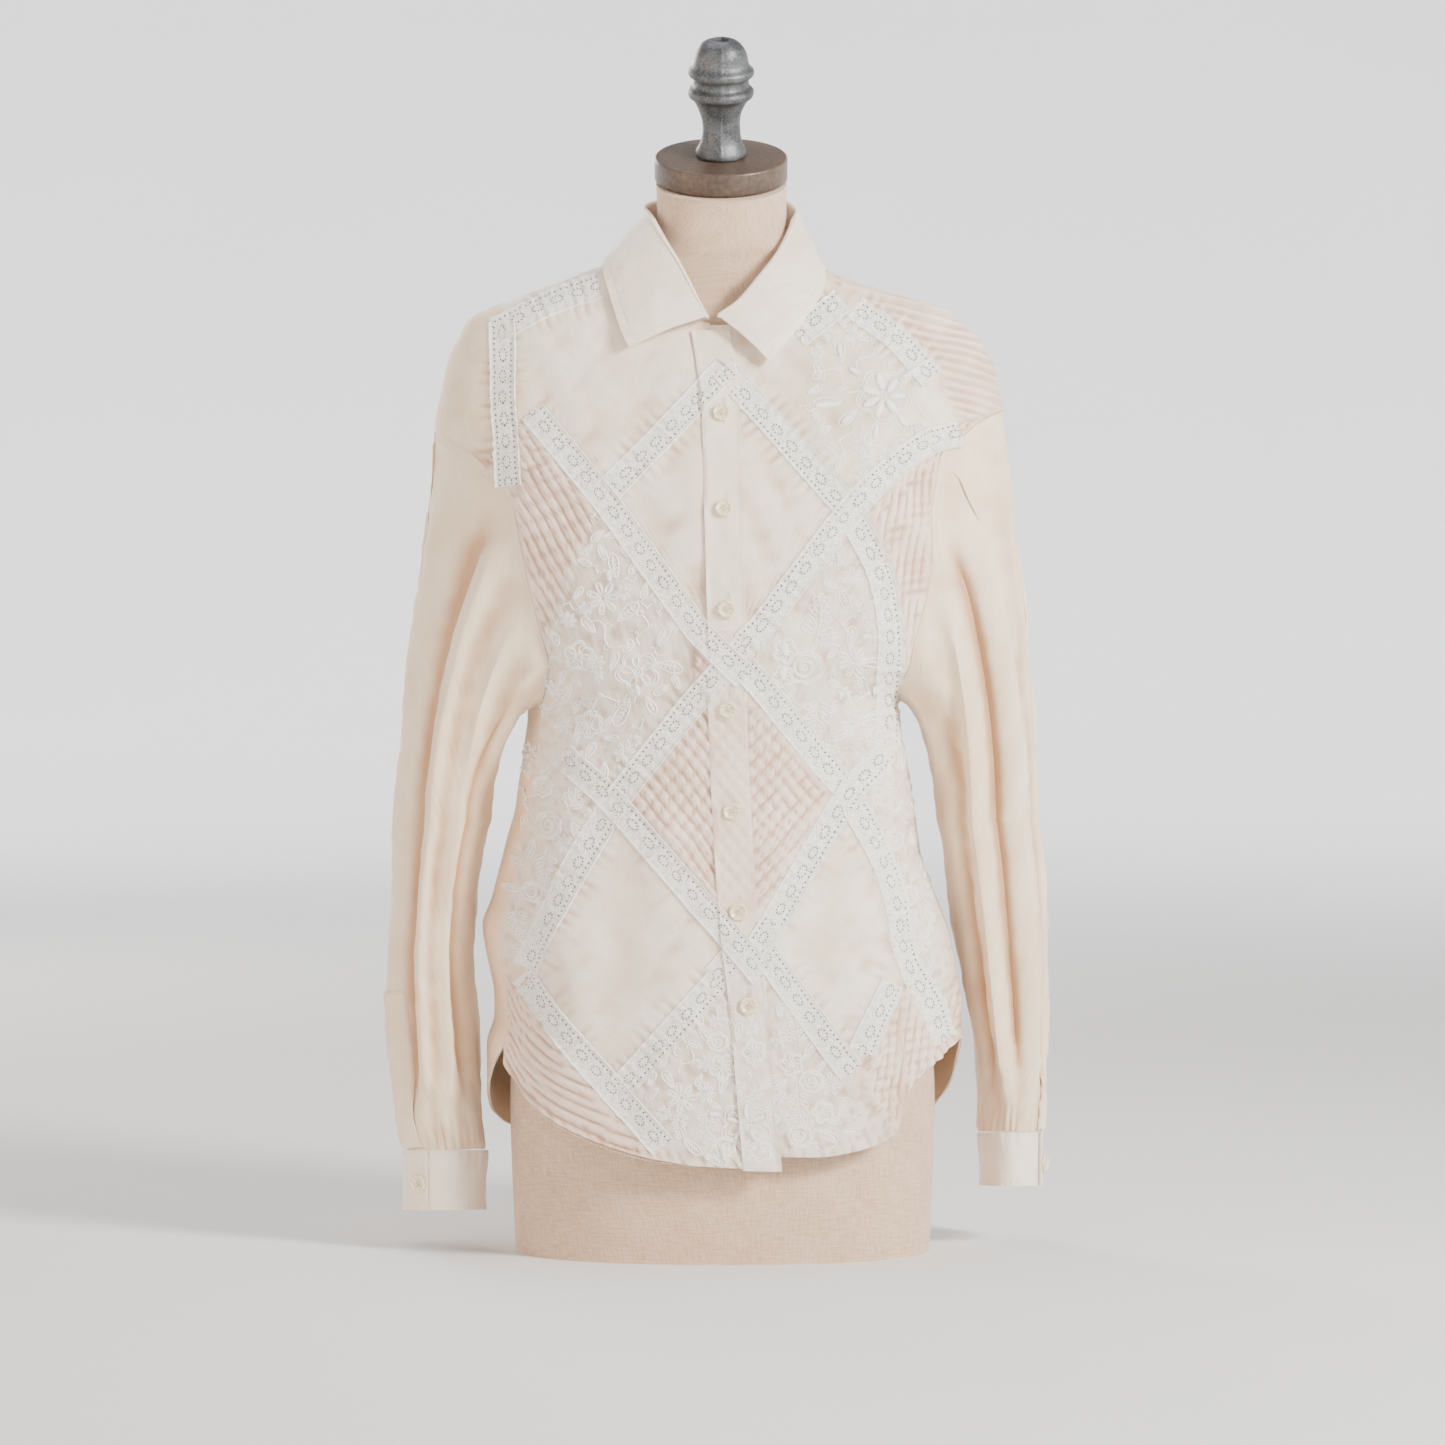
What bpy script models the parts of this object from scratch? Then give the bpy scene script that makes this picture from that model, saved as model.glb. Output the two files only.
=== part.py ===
"""Patchwork shirt of cotton patches joined with openwork insertion, worn on a limbless dress form.

Frame: +Z up, the front faces -Y, the wearer's right lies at -X, and the form's flat foot stands at z = 0.
Sizes are in millimetres and angles in degrees; meshes are turned to metres where they are made.
Around the body an angle of 0 is the centre front, 90 the side and 180 the centre back.
"""
import math
from collections import namedtuple

import bmesh
import bpy
import numpy as np
from mathutils import Matrix, Vector
from mathutils.bvhtree import BVHTree

MM = 0.001
RIGHT, LEFT = -1, 1                  # the wearer's sides

WALL = 1.5                           # cotton with its seam turnings
COLLAR_WALL = 1.8
CUFF_WALL = 2.0
LACE_WALL = 1.0
SEAM = 0.3                           # each panel stops this far short of a seam line
SLEEVE_GAP = {RIGHT: 1.7, LEFT: 0.8}     # the folded armhole seams keep a wider space
LIE, LIE_SPARE = 0.5, 0.2            # space under a piece that lies on a panel, more where that bends
ROUNDNESS = 2.0 / 2.3                # power of the superellipse rings, 1 would be an ellipse

FRONT_COLUMNS = 22
SKIRT_ROWS, ARMHOLE_ROWS, SHOULDER_ROWS = 16, 12, 18     # of a front; the back has half as many
FRONT_ROWS = SKIRT_ROWS + ARMHOLE_ROWS + SHOULDER_ROWS
EDGE_POWER = 3.5                     # how close to its edge a panel's rows start to follow that edge's points
BACK_COLUMNS = 22
CAP_ROWS, SLEEVE_ROWS = 7, 10
PUFF = 1.3                           # rise of the quilting over its stitched lines

FORM_EASE = 5.6                      # the form's shoulders lie this far inside the ring of the shirt
FORM_LEVELS = [0, 120, 240, 310, 372, 430, 500, 562, 620, 670, 710, 738, 752, 762, 770, 778, 786, 794, 806,
               822, 852]
FORM_AROUND = 28
FORM_SHOULDER, FORM_NECK = 710, 795  # the shirt lies on the form from its shoulder level up to its neck
CAP_HEIGHT, CAP_TILT = 19.5, 20.0
CAP_SEAT = 0.4                       # space under the cap
CAP_CENTRE = Vector((-1.2, -5.0, 873.5))     # middle of its top face

PLACKET_WIDTH, PLACKET_FOOT, PLACKET_TOP, PLACKET_ROWS = 30.0, 82.0, 732.0, 36
LACE_WIDTH, LACE_STEP = 16.0, 15.0
CUFF_SLOPE = 0.11                    # the back of a cuff hangs lower than its front
CUFF_STEPS = 24
CUFF_OVERLAP = 28.0                  # degrees that the buttoned end laps over the other
CUFF_RISE_START, CUFF_RISE = 318.0, 34.0     # the lap steps out over this stretch of the band
CUFF_END = {RIGHT: 70.0, LEFT: 24.0}         # where the lap ends, round the sleeve
CUFF_PLAY = 0.4                      # space between the band and the sleeve's last ring
CUFF_LAP_PLAY = 0.6                  # space between the two layers of the lap
CUFF_BUTTON_TURN, CUFF_BUTTON_DROP = 12.0, 0.56     # from the lap's end, and down the band
SLEEVE_PLACKET_ROWS, SLEEVE_PLACKET_START = 8, 10.0     # the band starts this far over the cuff
BUTTON_PLAY = 0.5                    # space under a button

CLEARING_ROUNDS, CLEARING_REACH = 3, 12.0
CLEARING_SHARES = [n / 6 for n in range(7)]
SEAT_REACH = 30.0                    # panels are looked for this far over and under a point

Section = namedtuple("Section", "z right left front back")
BODY = [
    Section(60, 186, 190, 130, 127),
    Section(167, 188, 191, 132, 128),
    Section(187, 184, 191, 132, 127),
    Section(222, 187, 187, 131, 125),
    Section(259, 191, 178, 130, 122),
    Section(280, 186, 171, 129, 119),
    Section(311, 177, 160, 127, 115),
    Section(341, 169, 155, 125, 111),
    Section(373, 163, 149, 123, 108),
    Section(412, 157, 142, 124, 106),
    Section(438, 155, 139, 128, 105),
    Section(472, 175, 166, 133, 106),
    Section(552, 205, 200, 138, 109),
    Section(622, 222, 218, 122, 112),
    Section(660, 229, 224, 107, 112),
    Section(688, 224, 222, 95, 110),
    Section(711, 219, 215, 83, 104),
    Section(731, 210, 201, 74, 95),
    Section(743, 203, 187, 69, 88),
    Section(750, 192, 178, 64, 83),
    Section(762, 162, 146, 59, 76),
    Section(768, 146, 122, 58, 73),
    Section(774, 129, 104, 57, 70),
    Section(785, 98, 78, 56, 67),
    Section(790, 86, 70, 55, 66),
    Section(804, 62, 58, 50, 62),
]

FORM = [
    Section(0, 166, 166, 104, 108),
    Section(120, 170, 170, 108, 114),
    Section(240, 158, 158, 99, 104),
    Section(372, 118, 118, 86, 80),
    Section(470, 131, 131, 104, 88),
    Section(562, 145, 145, 124, 96),
    Section(640, 160, 160, 104, 100),
    Section(700, 172, 172, 82, 94),
    Section(743, 172, 172, 62, 80),
    Section(762, 158, 158, 54, 70),
    Section(778, 108, 108, 51, 64),
    Section(790, 76, 76, 50, 58),
    Section(802, 58, 60, 50, 52),
    Section(818, 52, 51, 50, 49),
    Section(852, 53, 51, 53, 47),
]

Edge = namedtuple("Edge", "z angle")
SIDE_SEAM = {RIGHT: 66.0, LEFT: 90.0}        # the back wraps further round on the wearer's right
UNDERARM = 438.0
SHOULDER_TIP = {RIGHT: 660.0, LEFT: 672.0}
ARMHOLE_FRONT = {
    RIGHT: [Edge(438, 66), Edge(455, 56), Edge(473, 48), Edge(536, 47), Edge(590, 46.5), Edge(613, 50),
            Edge(631, 57), Edge(645, 68), Edge(655, 80), Edge(660, 90)],
    LEFT: [Edge(438, 90), Edge(454, 68), Edge(487, 58), Edge(544, 54), Edge(596, 48), Edge(634, 48),
           Edge(648, 55), Edge(660, 62), Edge(668, 74), Edge(672, 90)],
}
ARMHOLE_BACK = {
    RIGHT: [Edge(438, 66), Edge(452, 96), Edge(490, 122), Edge(560, 128), Edge(620, 122), Edge(648, 106),
            Edge(660, 90)],
    LEFT: [Edge(438, 90), Edge(452, 106), Edge(490, 122), Edge(560, 128), Edge(630, 122), Edge(660, 106),
           Edge(672, 90)],
}

Level = namedtuple("Level", "angle z")
NECKLINE = [Level(0, 737), Level(8, 745), Level(21, 765), Level(41, 780), Level(90, 788), Level(135, 797),
            Level(180, 801)]

Hem = namedtuple("Hem", "x z")
FRONT_HEM = {
    RIGHT: [Hem(-60, 76), Hem(6, 78), Hem(46, 81), Hem(80, 88), Hem(109, 98), Hem(133, 110), Hem(156, 128),
            Hem(170, 150), Hem(188, 168)],
    LEFT: [Hem(0, 88), Hem(61, 87), Hem(93, 91), Hem(115, 96), Hem(130, 105), Hem(138, 132), Hem(150, 146),
           Hem(170, 160), Hem(191, 172)],
}
BACK_HEM_CENTRE, BACK_HEM_POWER = 77.0, 3.2      # the back's shirt-tail is flat in the middle, steep beside

Line = namedtuple("Line", "z x")
BUTTON_LINE = [Line(79, 31), Line(206, 20), Line(279, 12), Line(357, 7), Line(437, 4), Line(515, 3),
               Line(592, 1), Line(666, -1), Line(737, -10)]
BUTTON_LEVELS = [666, 592, 515, 437, 357, 279, 206]

Fold = namedtuple("Fold", "x top foot width rise")
FRONT_FOLDS = [
    Fold(-118, 470, 190, 26, 4.0), Fold(-78, 400, 100, 24, -3.0), Fold(-150, 330, 150, 18, -3.5),
    Fold(70, 420, 110, 26, -3.0), Fold(118, 440, 150, 22, 3.5), Fold(-60, 700, 560, 26, -2.0),
    Fold(150, 330, 190, 16, -3.0), Fold(64, 705, 600, 24, -2.0),
]
BACK_FOLDS = [
    Fold(-120, 470, 110, 26, 4.5), Fold(-72, 560, 90, 24, -5.0), Fold(-22, 640, 80, 26, 4.0),
    Fold(32, 600, 80, 24, -5.0), Fold(84, 520, 95, 26, 4.5), Fold(132, 420, 120, 24, -4.0),
]

Ring = namedtuple("Ring", "z outer inner centre half")
SLEEVE_RINGS = {
    RIGHT: [Ring(345, 260, 186, 0, 62), Ring(311, 262, 195, 0, 60), Ring(285, 264, 199, 1, 58),
            Ring(232, 266, 201, 2, 56), Ring(183, 266, 198, 3, 55), Ring(135, 264, 195, 4, 54),
            Ring(104, 261, 193, 4, 50), Ring(79, 256, 190, 4, 38)],
    LEFT: [Ring(345, 254, 172, 14, 62), Ring(300, 259, 179, 20, 61), Ring(250, 262, 186, 28, 60),
           Ring(200, 263, 195, 32, 57), Ring(160, 262, 202, 32, 55), Ring(125, 260, 206, 32, 52),
           Ring(107, 258, 208, 32, 48), Ring(90, 256, 208, 32, 42)],
}
CUFF_HEIGHT = {RIGHT: 48.0, LEFT: 43.0}

SleeveBand = namedtuple("SleeveBand", "phi_foot phi_top top width")
SLEEVE_BANDS = {RIGHT: SleeveBand(46, 34, 208, 22), LEFT: SleeveBand(24, 20, 200, 20)}

Wave = namedtuple("Wave", "angle top foot width rise")
SLEEVE_WAVES = {
    RIGHT: [Wave(28, 600, 110, 17, 5.0), Wave(62, 620, 100, 15, -5.0), Wave(96, 520, 120, 18, 4.5),
            Wave(135, 430, 110, 18, -4.0), Wave(205, 400, 110, 18, 4.0), Wave(248, 560, 110, 18, -5.0),
            Wave(290, 600, 100, 18, 5.0), Wave(330, 560, 130, 16, -4.0)],
    LEFT: [Wave(24, 560, 110, 16, -4.5), Wave(55, 620, 110, 16, 5.0), Wave(92, 560, 130, 18, -5.0),
           Wave(130, 430, 110, 18, 4.0), Wave(210, 400, 120, 18, -4.0), Wave(250, 560, 110, 18, 5.0),
           Wave(295, 600, 110, 18, -5.0), Wave(332, 560, 130, 16, 4.0)],
}

Station = namedtuple("Station", "seam roll edge_x edge_z face lift")    # seam runs 0 to 360 round the neck
COLLAR = [
    Station(2, (-13, -82, 745), -73, 716, "front", 7),
    Station(6, (-22, -78, 760), -80, 733, "front", 7),
    Station(14, (-34, -68, 783), -86, 751, "front", 6),
    Station(28, (-47, -52, 805), -91, 770, "front", 5),
    Station(60, (-58, -22, 825), -94, 784, "front", 4),
    Station(100, (-62, 12, 835), -90, 780, "back", 4),
    Station(140, (-46, 46, 841), -60, 778, "back", 4),
    Station(180, (0, 62, 844), 0, 776, "back", 4),
    Station(220, (44, 46, 841), 56, 776, "back", 4),
    Station(260, (59, 12, 833), 77, 778, "back", 4),
    Station(300, (56, -22, 819), 79, 778, "front", 4),
    Station(332, (46, -52, 797), 78, 762, "front", 5),
    Station(346, (31, -68, 777), 66, 741, "front", 6),
    Station(354, (14, -78, 757), 52, 722, "front", 8),
    Station(359, (-3, -82, 745), 37, 703, "front", 9),
]
COLLAR_COLUMNS = 32
NECK_GAP = 3.2                       # from the panels' edge to the middle of the stand
NECK_LEAN = 0.4                      # the stand's foot is drawn in by this much
FOLD_HALF = 2.2                      # half the space inside the roll of the collar

Strip = namedtuple("Strip", "side points trim_start trim_end")
LACE = [
    Strip(RIGHT, [(-168, 740), (-132, 757), (-97, 768)], 0, 0),
    Strip(RIGHT, [(-176, 716), (-172, 670), (-168, 622)], 0, 0),
    Strip(RIGHT, [(-152, 672), (-94, 602), (-50, 541), (-20, 499)], 4, 0),
    Strip(RIGHT, [(-94, 602), (-52, 645), (-24, 674)], 13, 0),
    Strip(RIGHT, [(-22, 443), (-52, 405), (-85, 363)], 0, 13),
    Strip(RIGHT, [(-124, 400), (-85, 363), (-34, 305), (-13, 280)], 0, 0),
    Strip(RIGHT, [(-85, 363), (-122, 296), (-157, 231)], 13, 0),
    Strip(RIGHT, [(-154, 218), (-96, 150), (-50, 100)], 0, 0),
    Strip(RIGHT, [(-4, 226), (-38, 188), (-84, 137)], 0, 14),
    Strip(LEFT, [(58, 728), (94, 757)], 0, 0),
    Strip(LEFT, [(104, 752), (136, 727), (164, 694)], 0, 0),
    Strip(LEFT, [(26, 673), (60, 635), (98, 592)], 0, 13),
    Strip(LEFT, [(30, 501), (98, 590), (140, 630), (166, 648)], 0, 0),
    Strip(LEFT, [(98, 590), (123, 539), (131, 480)], 13, 0),
    Strip(LEFT, [(28, 457), (60, 417), (98, 371)], 0, 13),
    Strip(LEFT, [(126, 401), (98, 369), (64, 312), (40, 272)], 0, 0),
    Strip(LEFT, [(98, 369), (129, 305), (145, 242), (166, 200)], 18, 0),
    Strip(LEFT, [(44, 231), (72, 192), (100, 153)], 0, 0),
    Strip(LEFT, [(138, 233), (119, 195), (106, 165)], 12, 3),
]

Quilt = namedtuple("Quilt", "side pattern corners")
QUILTS = [
    Quilt(RIGHT, "diamond", [(-110, 590), (-158, 655), (-158, 480), (-124, 430), (-84, 520)]),
    Quilt(RIGHT, "basket", [(-20, 440), (-12, 290), (-76, 350)]),
    Quilt(LEFT, "basket", [(26, 440), (90, 362), (36, 286), (26, 286)]),
    Quilt(LEFT, "waffle", [(112, 580), (160, 600), (152, 480), (130, 420)]),
    Quilt(LEFT, "waffle", [(132, 208), (184, 226), (180, 178), (134, 140)]),
    Quilt(LEFT, "tucks", [(112, 752), (178, 730), (190, 670), (168, 655), (116, 640), (112, 690)]),
    Quilt(RIGHT, "cords", [(-160, 196), (-176, 176), (-172, 150), (-148, 126), (-84, 98), (-108, 150)]),
]
LACE_CLEAR = 22.0                    # quilting stays this far from the middle of a strip

Turn = namedtuple("Turn", "radius height")
BUTTON_AROUND, CAP_AROUND, FINIAL_AROUND = 12, 36, 18
BUTTON_PROFILE = [Turn(5.8, 0.0), Turn(7.0, 1.0), Turn(6.6, 2.6), Turn(4.9, 1.9)]
CAP_PROFILE = [Turn(50.5, -19.5), Turn(53.0, -17.0), Turn(53.0, -3.0), Turn(50.5, 0.0)]
FINIAL_PROFILE = [
    Turn(19.4, 0.4), Turn(19.6, 6.0), Turn(15.8, 15.0), Turn(15.2, 32.0),
    Turn(19.0, 46.0), Turn(25.6, 49.5), Turn(25.8, 55.5), Turn(22.0, 59.5),
    Turn(22.0, 63.0), Turn(25.8, 66.5), Turn(25.6, 71.5), Turn(21.2, 76.0),
    Turn(20.4, 85.0), Turn(14.0, 94.5), Turn(7.4, 95.6), Turn(6.2, 86.0),
]


def smooth(table, key, column, value):
    """Read one column of a table at a value of its key, on a cubic that never overshoots the rows."""
    xs = [getattr(row, key) for row in table]
    ys = [getattr(row, column) for row in table]
    if value <= xs[0]:
        return float(ys[0])
    if value >= xs[-1]:
        return float(ys[-1])
    k = max(i for i in range(len(xs) - 1) if xs[i] <= value)
    slopes = [(ys[i + 1] - ys[i]) / (xs[i + 1] - xs[i]) for i in range(len(xs) - 1)]

    def tangent(i):
        if i in (0, len(xs) - 1):
            return slopes[min(i, len(slopes) - 1)]
        before, after = slopes[i - 1], slopes[i]
        return 0.0 if before * after <= 0 else 2 * before * after / (before + after)

    span = xs[k + 1] - xs[k]
    s = (value - xs[k]) / span
    return ((2 * s**3 - 3 * s**2 + 1) * ys[k] + (s**3 - 2 * s**2 + s) * span * tangent(k)
            + (3 * s**2 - 2 * s**3) * ys[k + 1] + (s**3 - s**2) * span * tangent(k + 1))


def ease(s):
    s = min(max(s, 0.0), 1.0)
    return s * s * (3 - 2 * s)


def power(value):
    return math.copysign(abs(value) ** ROUNDNESS, value)


def ring_point(table, side, angle, z):
    """A point of the ring that a table of sections gives at height z."""
    a = math.radians(angle)
    half = smooth(table, "z", "right" if side == RIGHT else "left", z)
    depth = smooth(table, "z", "front" if angle < 90 else "back", z)
    return Vector((side * half * power(math.sin(a)), -depth * power(math.cos(a)), z))


def normal_of(surface, u, v, step_u, step_v, flip):
    across = surface(u + step_u, v) - surface(u - step_u, v)
    up = surface(u, v + step_v) - surface(u, v - step_v)
    return across.cross(up).normalized() * flip


def body_normal(side, angle, z):
    return normal_of(lambda a, h: ring_point(BODY, side, a, h), angle, z, 0.6, 1.0, side)


def fold_height(folds, x, z):
    """Soft troughs and ridges that fade out at both ends."""
    total = 0.0
    for fold in folds:
        along = ease((fold.top - z) / 90.0) * ease((z - fold.foot) / 60.0 + 0.6)
        total += fold.rise * along * math.exp(-((x - fold.x) / fold.width) ** 2)
    return total


def body_point(side, angle, z, lift=0.0):
    """A point of the shirt's outside, moved out by lift."""
    base = ring_point(BODY, side, angle, z)
    folds = FRONT_FOLDS if angle < 90 else BACK_FOLDS
    near_seam = ease(abs(angle - 90) / 25.0)
    rise = fold_height(folds, base.x, z) * near_seam
    return base + body_normal(side, angle, z) * (rise + lift)


def armhole(table, side, z):
    return smooth(table[side], "z", "angle", z)


def side_edge(table, side, z):
    """Angle where a panel ends beside the side seam, armhole and shoulder seam, from hem to neck."""
    if z <= UNDERARM:
        return SIDE_SEAM[side]
    if z >= SHOULDER_TIP[side]:
        return 90.0
    return armhole(table, side, z)


def angle_at(side, x, z):
    """Angle on the front half where the ring at height z stands at x."""
    half = smooth(BODY, "z", "right" if side == RIGHT else "left", z)
    share = min(abs(x) / half, 1.0) ** (1 / ROUNDNESS)
    return math.degrees(math.asin(share)) * (1 if x * side >= 0 else -1)


def front_surface(x, z, lift=0.0):
    """The shirt's front straight over a point (x, z) of the front view."""
    side = RIGHT if x < 0 else LEFT
    return body_point(side, angle_at(side, x, z), z, lift)


def inside(corners, x, z):
    """Whether (x, z) is inside a polygon, by counting the edges that a level line crosses."""
    hits = 0
    for (x0, z0), (x1, z1) in zip(corners, corners[1:] + corners[:1]):
        if (z0 > z) != (z1 > z) and x < x0 + (z - z0) / (z1 - z0) * (x1 - x0):
            hits += 1
    return hits % 2 == 1


def distance_to_path(points, x, z):
    best = 1e9
    for (x0, z0), (x1, z1) in zip(points, points[1:]):
        dx, dz = x1 - x0, z1 - z0
        s = min(max(((x - x0) * dx + (z - z0) * dz) / (dx * dx + dz * dz), 0.0), 1.0)
        best = min(best, math.hypot(x - x0 - s * dx, z - z0 - s * dz))
    return best


def quilt_height(side, x, z, i, j):
    """Rise of the outer point in column i and row j: the quilts' puffs, pits, tucks and cords."""
    if any(distance_to_path(strip.points, x, z) < LACE_CLEAR for strip in LACE if strip.side == side):
        return 0.0
    for quilt in QUILTS:
        if quilt.side != side or not inside(quilt.corners, x, z):
            continue
        raised = {
            "diamond": (i + j) % 2 == 0,
            "basket": (i if (i // 4 + j // 4) % 2 else j) % 2 == 0,
            "waffle": i % 2 == 1 or j % 2 == 1,
            "tucks": i % 2 == 0,
            "cords": j % 2 == 0,
        }[quilt.pattern]
        return PUFF if raised else 0.0
    return 0.0


def material(name, colour, roughness, metallic=0.0):
    found = bpy.data.materials.get(name) or bpy.data.materials.new(name)
    found.use_nodes = True
    shader = found.node_tree.nodes["Principled BSDF"]
    shader.inputs["Base Color"].default_value = (*colour, 1.0)
    shader.inputs["Roughness"].default_value = roughness
    shader.inputs["Metallic"].default_value = metallic
    return found


COTTON = ("cotton", (0.87, 0.80, 0.70), 0.75)
INSERTION = ("insertion", (0.86, 0.85, 0.82), 0.8)
PEARL = ("pearl", (0.80, 0.68, 0.42), 0.25)
LINEN = ("linen", (0.63, 0.46, 0.32), 0.9)
BRONZE = ("bronze_paint", (0.07, 0.043, 0.03), 0.45)
IRON = ("cast_iron", (0.10, 0.11, 0.115), 0.5, 0.6)


def make_object(name, points, faces, finish):
    """One closed body with its faces turned out, from points in millimetres."""
    mesh = bpy.data.meshes.new(name)
    mesh.from_pydata([tuple(Vector(p) * MM) for p in points], [], faces)
    work = bmesh.new()
    work.from_mesh(mesh)
    bmesh.ops.recalc_face_normals(work, faces=work.faces)
    work.to_mesh(mesh)
    work.free()
    mesh.materials.append(material(*finish))
    mesh.shade_smooth()
    mesh.set_sharp_from_angle(angle=math.radians(50))
    made = bpy.data.objects.new(name, mesh)
    bpy.context.scene.collection.objects.link(made)
    return made


def sheet_solid(name, outer, inner, step, finish):
    """A wall between two grids of rows; the inner grid has a point for every step outer ones."""
    rows, columns = len(outer), len(outer[0])
    inner_rows, inner_columns = len(inner), len(inner[0])
    points = [p for row in outer for p in row] + [p for row in inner for p in row]
    base = rows * columns
    faces = []
    for r in range(rows - 1):
        for c in range(columns - 1):
            a = r * columns + c
            faces.append((a, a + 1, a + columns + 1, a + columns))
    for r in range(inner_rows - 1):
        for c in range(inner_columns - 1):
            a = base + r * inner_columns + c
            faces.append((a, a + inner_columns, a + inner_columns + 1, a + 1))

    def border(count_rows, count_columns, start, width):
        path = [(0, c) for c in range(count_columns)]
        path += [(r, count_columns - 1) for r in range(1, count_rows)]
        path += [(count_rows - 1, c) for c in range(count_columns - 2, -1, -1)]
        path += [(r, 0) for r in range(count_rows - 2, 0, -1)]
        return [start + r * width + c for r, c in path]

    outside = border(rows, columns, 0, columns)
    within = border(inner_rows, inner_columns, base, inner_columns)
    for k, p in enumerate(within):
        q = within[(k + 1) % len(within)]
        run = [outside[(k * step + n) % len(outside)] for n in range(step + 1)]
        for n in range(step):
            faces.append((run[n + 1], run[n], p if n < (step + 1) // 2 else q))
        faces.append((run[(step + 1) // 2], p, q))
    return make_object(name, points, faces, finish)


def tube_solid(name, outer, inner, finish):
    """A wall between two tubes that are open at both ends, given as lists of closed rings."""
    rows, around = len(outer), len(outer[0])
    points = [p for ring in outer for p in ring] + [p for ring in inner for p in ring]
    base = rows * around
    faces = []
    for r in range(rows - 1):
        for c in range(around):
            d = (c + 1) % around
            a, b = r * around + c, r * around + d
            faces.append((a, b, b + around, a + around))
            faces.append((base + a, base + a + around, base + b + around, base + b))
    for r in (0, rows - 1):
        for c in range(around):
            d = (c + 1) % around
            a, b = r * around + c, r * around + d
            rim = (a, base + a, base + b, b)
            faces.append(rim if r == 0 else rim[::-1])
    return make_object(name, points, faces, finish)


def front_hem(side, x):
    return smooth(FRONT_HEM[side], "x", "z", x * side)


def neckline(angle):
    return smooth(NECKLINE, "angle", "z", angle)


def side_foot(side):
    return FRONT_HEM[side][-1].z


def edge_height(side, j):
    """Height of a front's side edge at row j: even below the underarm and above the shoulder tip, and closer
    towards both ends of the armhole, where the seam runs level."""
    foot, tip, neck = side_foot(side), SHOULDER_TIP[side], neckline(90)
    if j <= SKIRT_ROWS:
        return foot + (UNDERARM - foot) * j / SKIRT_ROWS
    j -= SKIRT_ROWS
    if j <= ARMHOLE_ROWS:
        return UNDERARM + (tip - UNDERARM) * (1 - math.cos(math.pi * j / ARMHOLE_ROWS)) / 2
    return tip + (neck - tip) * (j - ARMHOLE_ROWS) / SHOULDER_ROWS


def row_share(u, even, edge):
    """A row's share of the panel's height: even down the centre, level with its edge point near the side."""
    inward = (1 - u) ** EDGE_POWER
    return inward * even + (1 - inward) * edge


def front_panel(side):
    """Half of the front, from the button line to the side seam, armhole and shoulder seam."""
    outer, inner = [], []
    for j in range(FRONT_ROWS + 1):
        edge_z = edge_height(side, j)
        edge_share = (edge_z - side_foot(side)) / (neckline(90) - side_foot(side))
        reach = side_edge(ARMHOLE_FRONT, side, edge_z)
        outer_row, inner_row = [], []
        for i in range(FRONT_COLUMNS + 1):
            u = i / FRONT_COLUMNS
            near_hem = ring_point(BODY, side, 1 + u * SIDE_SEAM[side], 120)
            foot = front_hem(side, near_hem.x)
            share = row_share(u, j / FRONT_ROWS, edge_share)
            first = angle_at(side, BUTTON_LINE[-1].x, BUTTON_LINE[-1].z)
            top = neckline(first + u * (90 - first))
            z = edge_z if i == FRONT_COLUMNS else foot + share * (top - foot)
            start = angle_at(side, smooth(BUTTON_LINE, "z", "x", z), z)
            angle = start + u * (reach - start)
            out = body_normal(side, angle, z)
            base = body_point(side, angle, z)
            shift = Vector((side * SEAM, 0, 0)) if i == 0 else Vector()
            if i == FRONT_COLUMNS:
                shift = panel_gap(side, angle, z)
            at_border = i in (0, FRONT_COLUMNS) or j in (0, FRONT_ROWS)
            rise = 0.0 if at_border else quilt_height(side, base.x, z, i, j)
            outer_row.append(base + shift + out * rise)
            inner_row.append(base + shift - out * WALL)
        outer.append(outer_row)
        inner.append(inner_row)
    for j in range(1, FRONT_ROWS, 2):
        outer[j][-1] = (outer[j - 1][-1] + outer[j + 1][-1]) / 2
    inner = [row[::2] for row in inner[::2]]
    return sheet_solid("front_right" if side == RIGHT else "front_left", outer, inner, 2, COTTON)


def panel_gap(side, angle, z, turn=-1):
    """Half of a seam's gap, along the surface and away from the seam; turn is -1 in front, 1 behind."""
    along = ring_point(BODY, side, angle + 0.6, z) - ring_point(BODY, side, angle - 0.6, z)
    return along.normalized() * SEAM * turn


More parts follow.
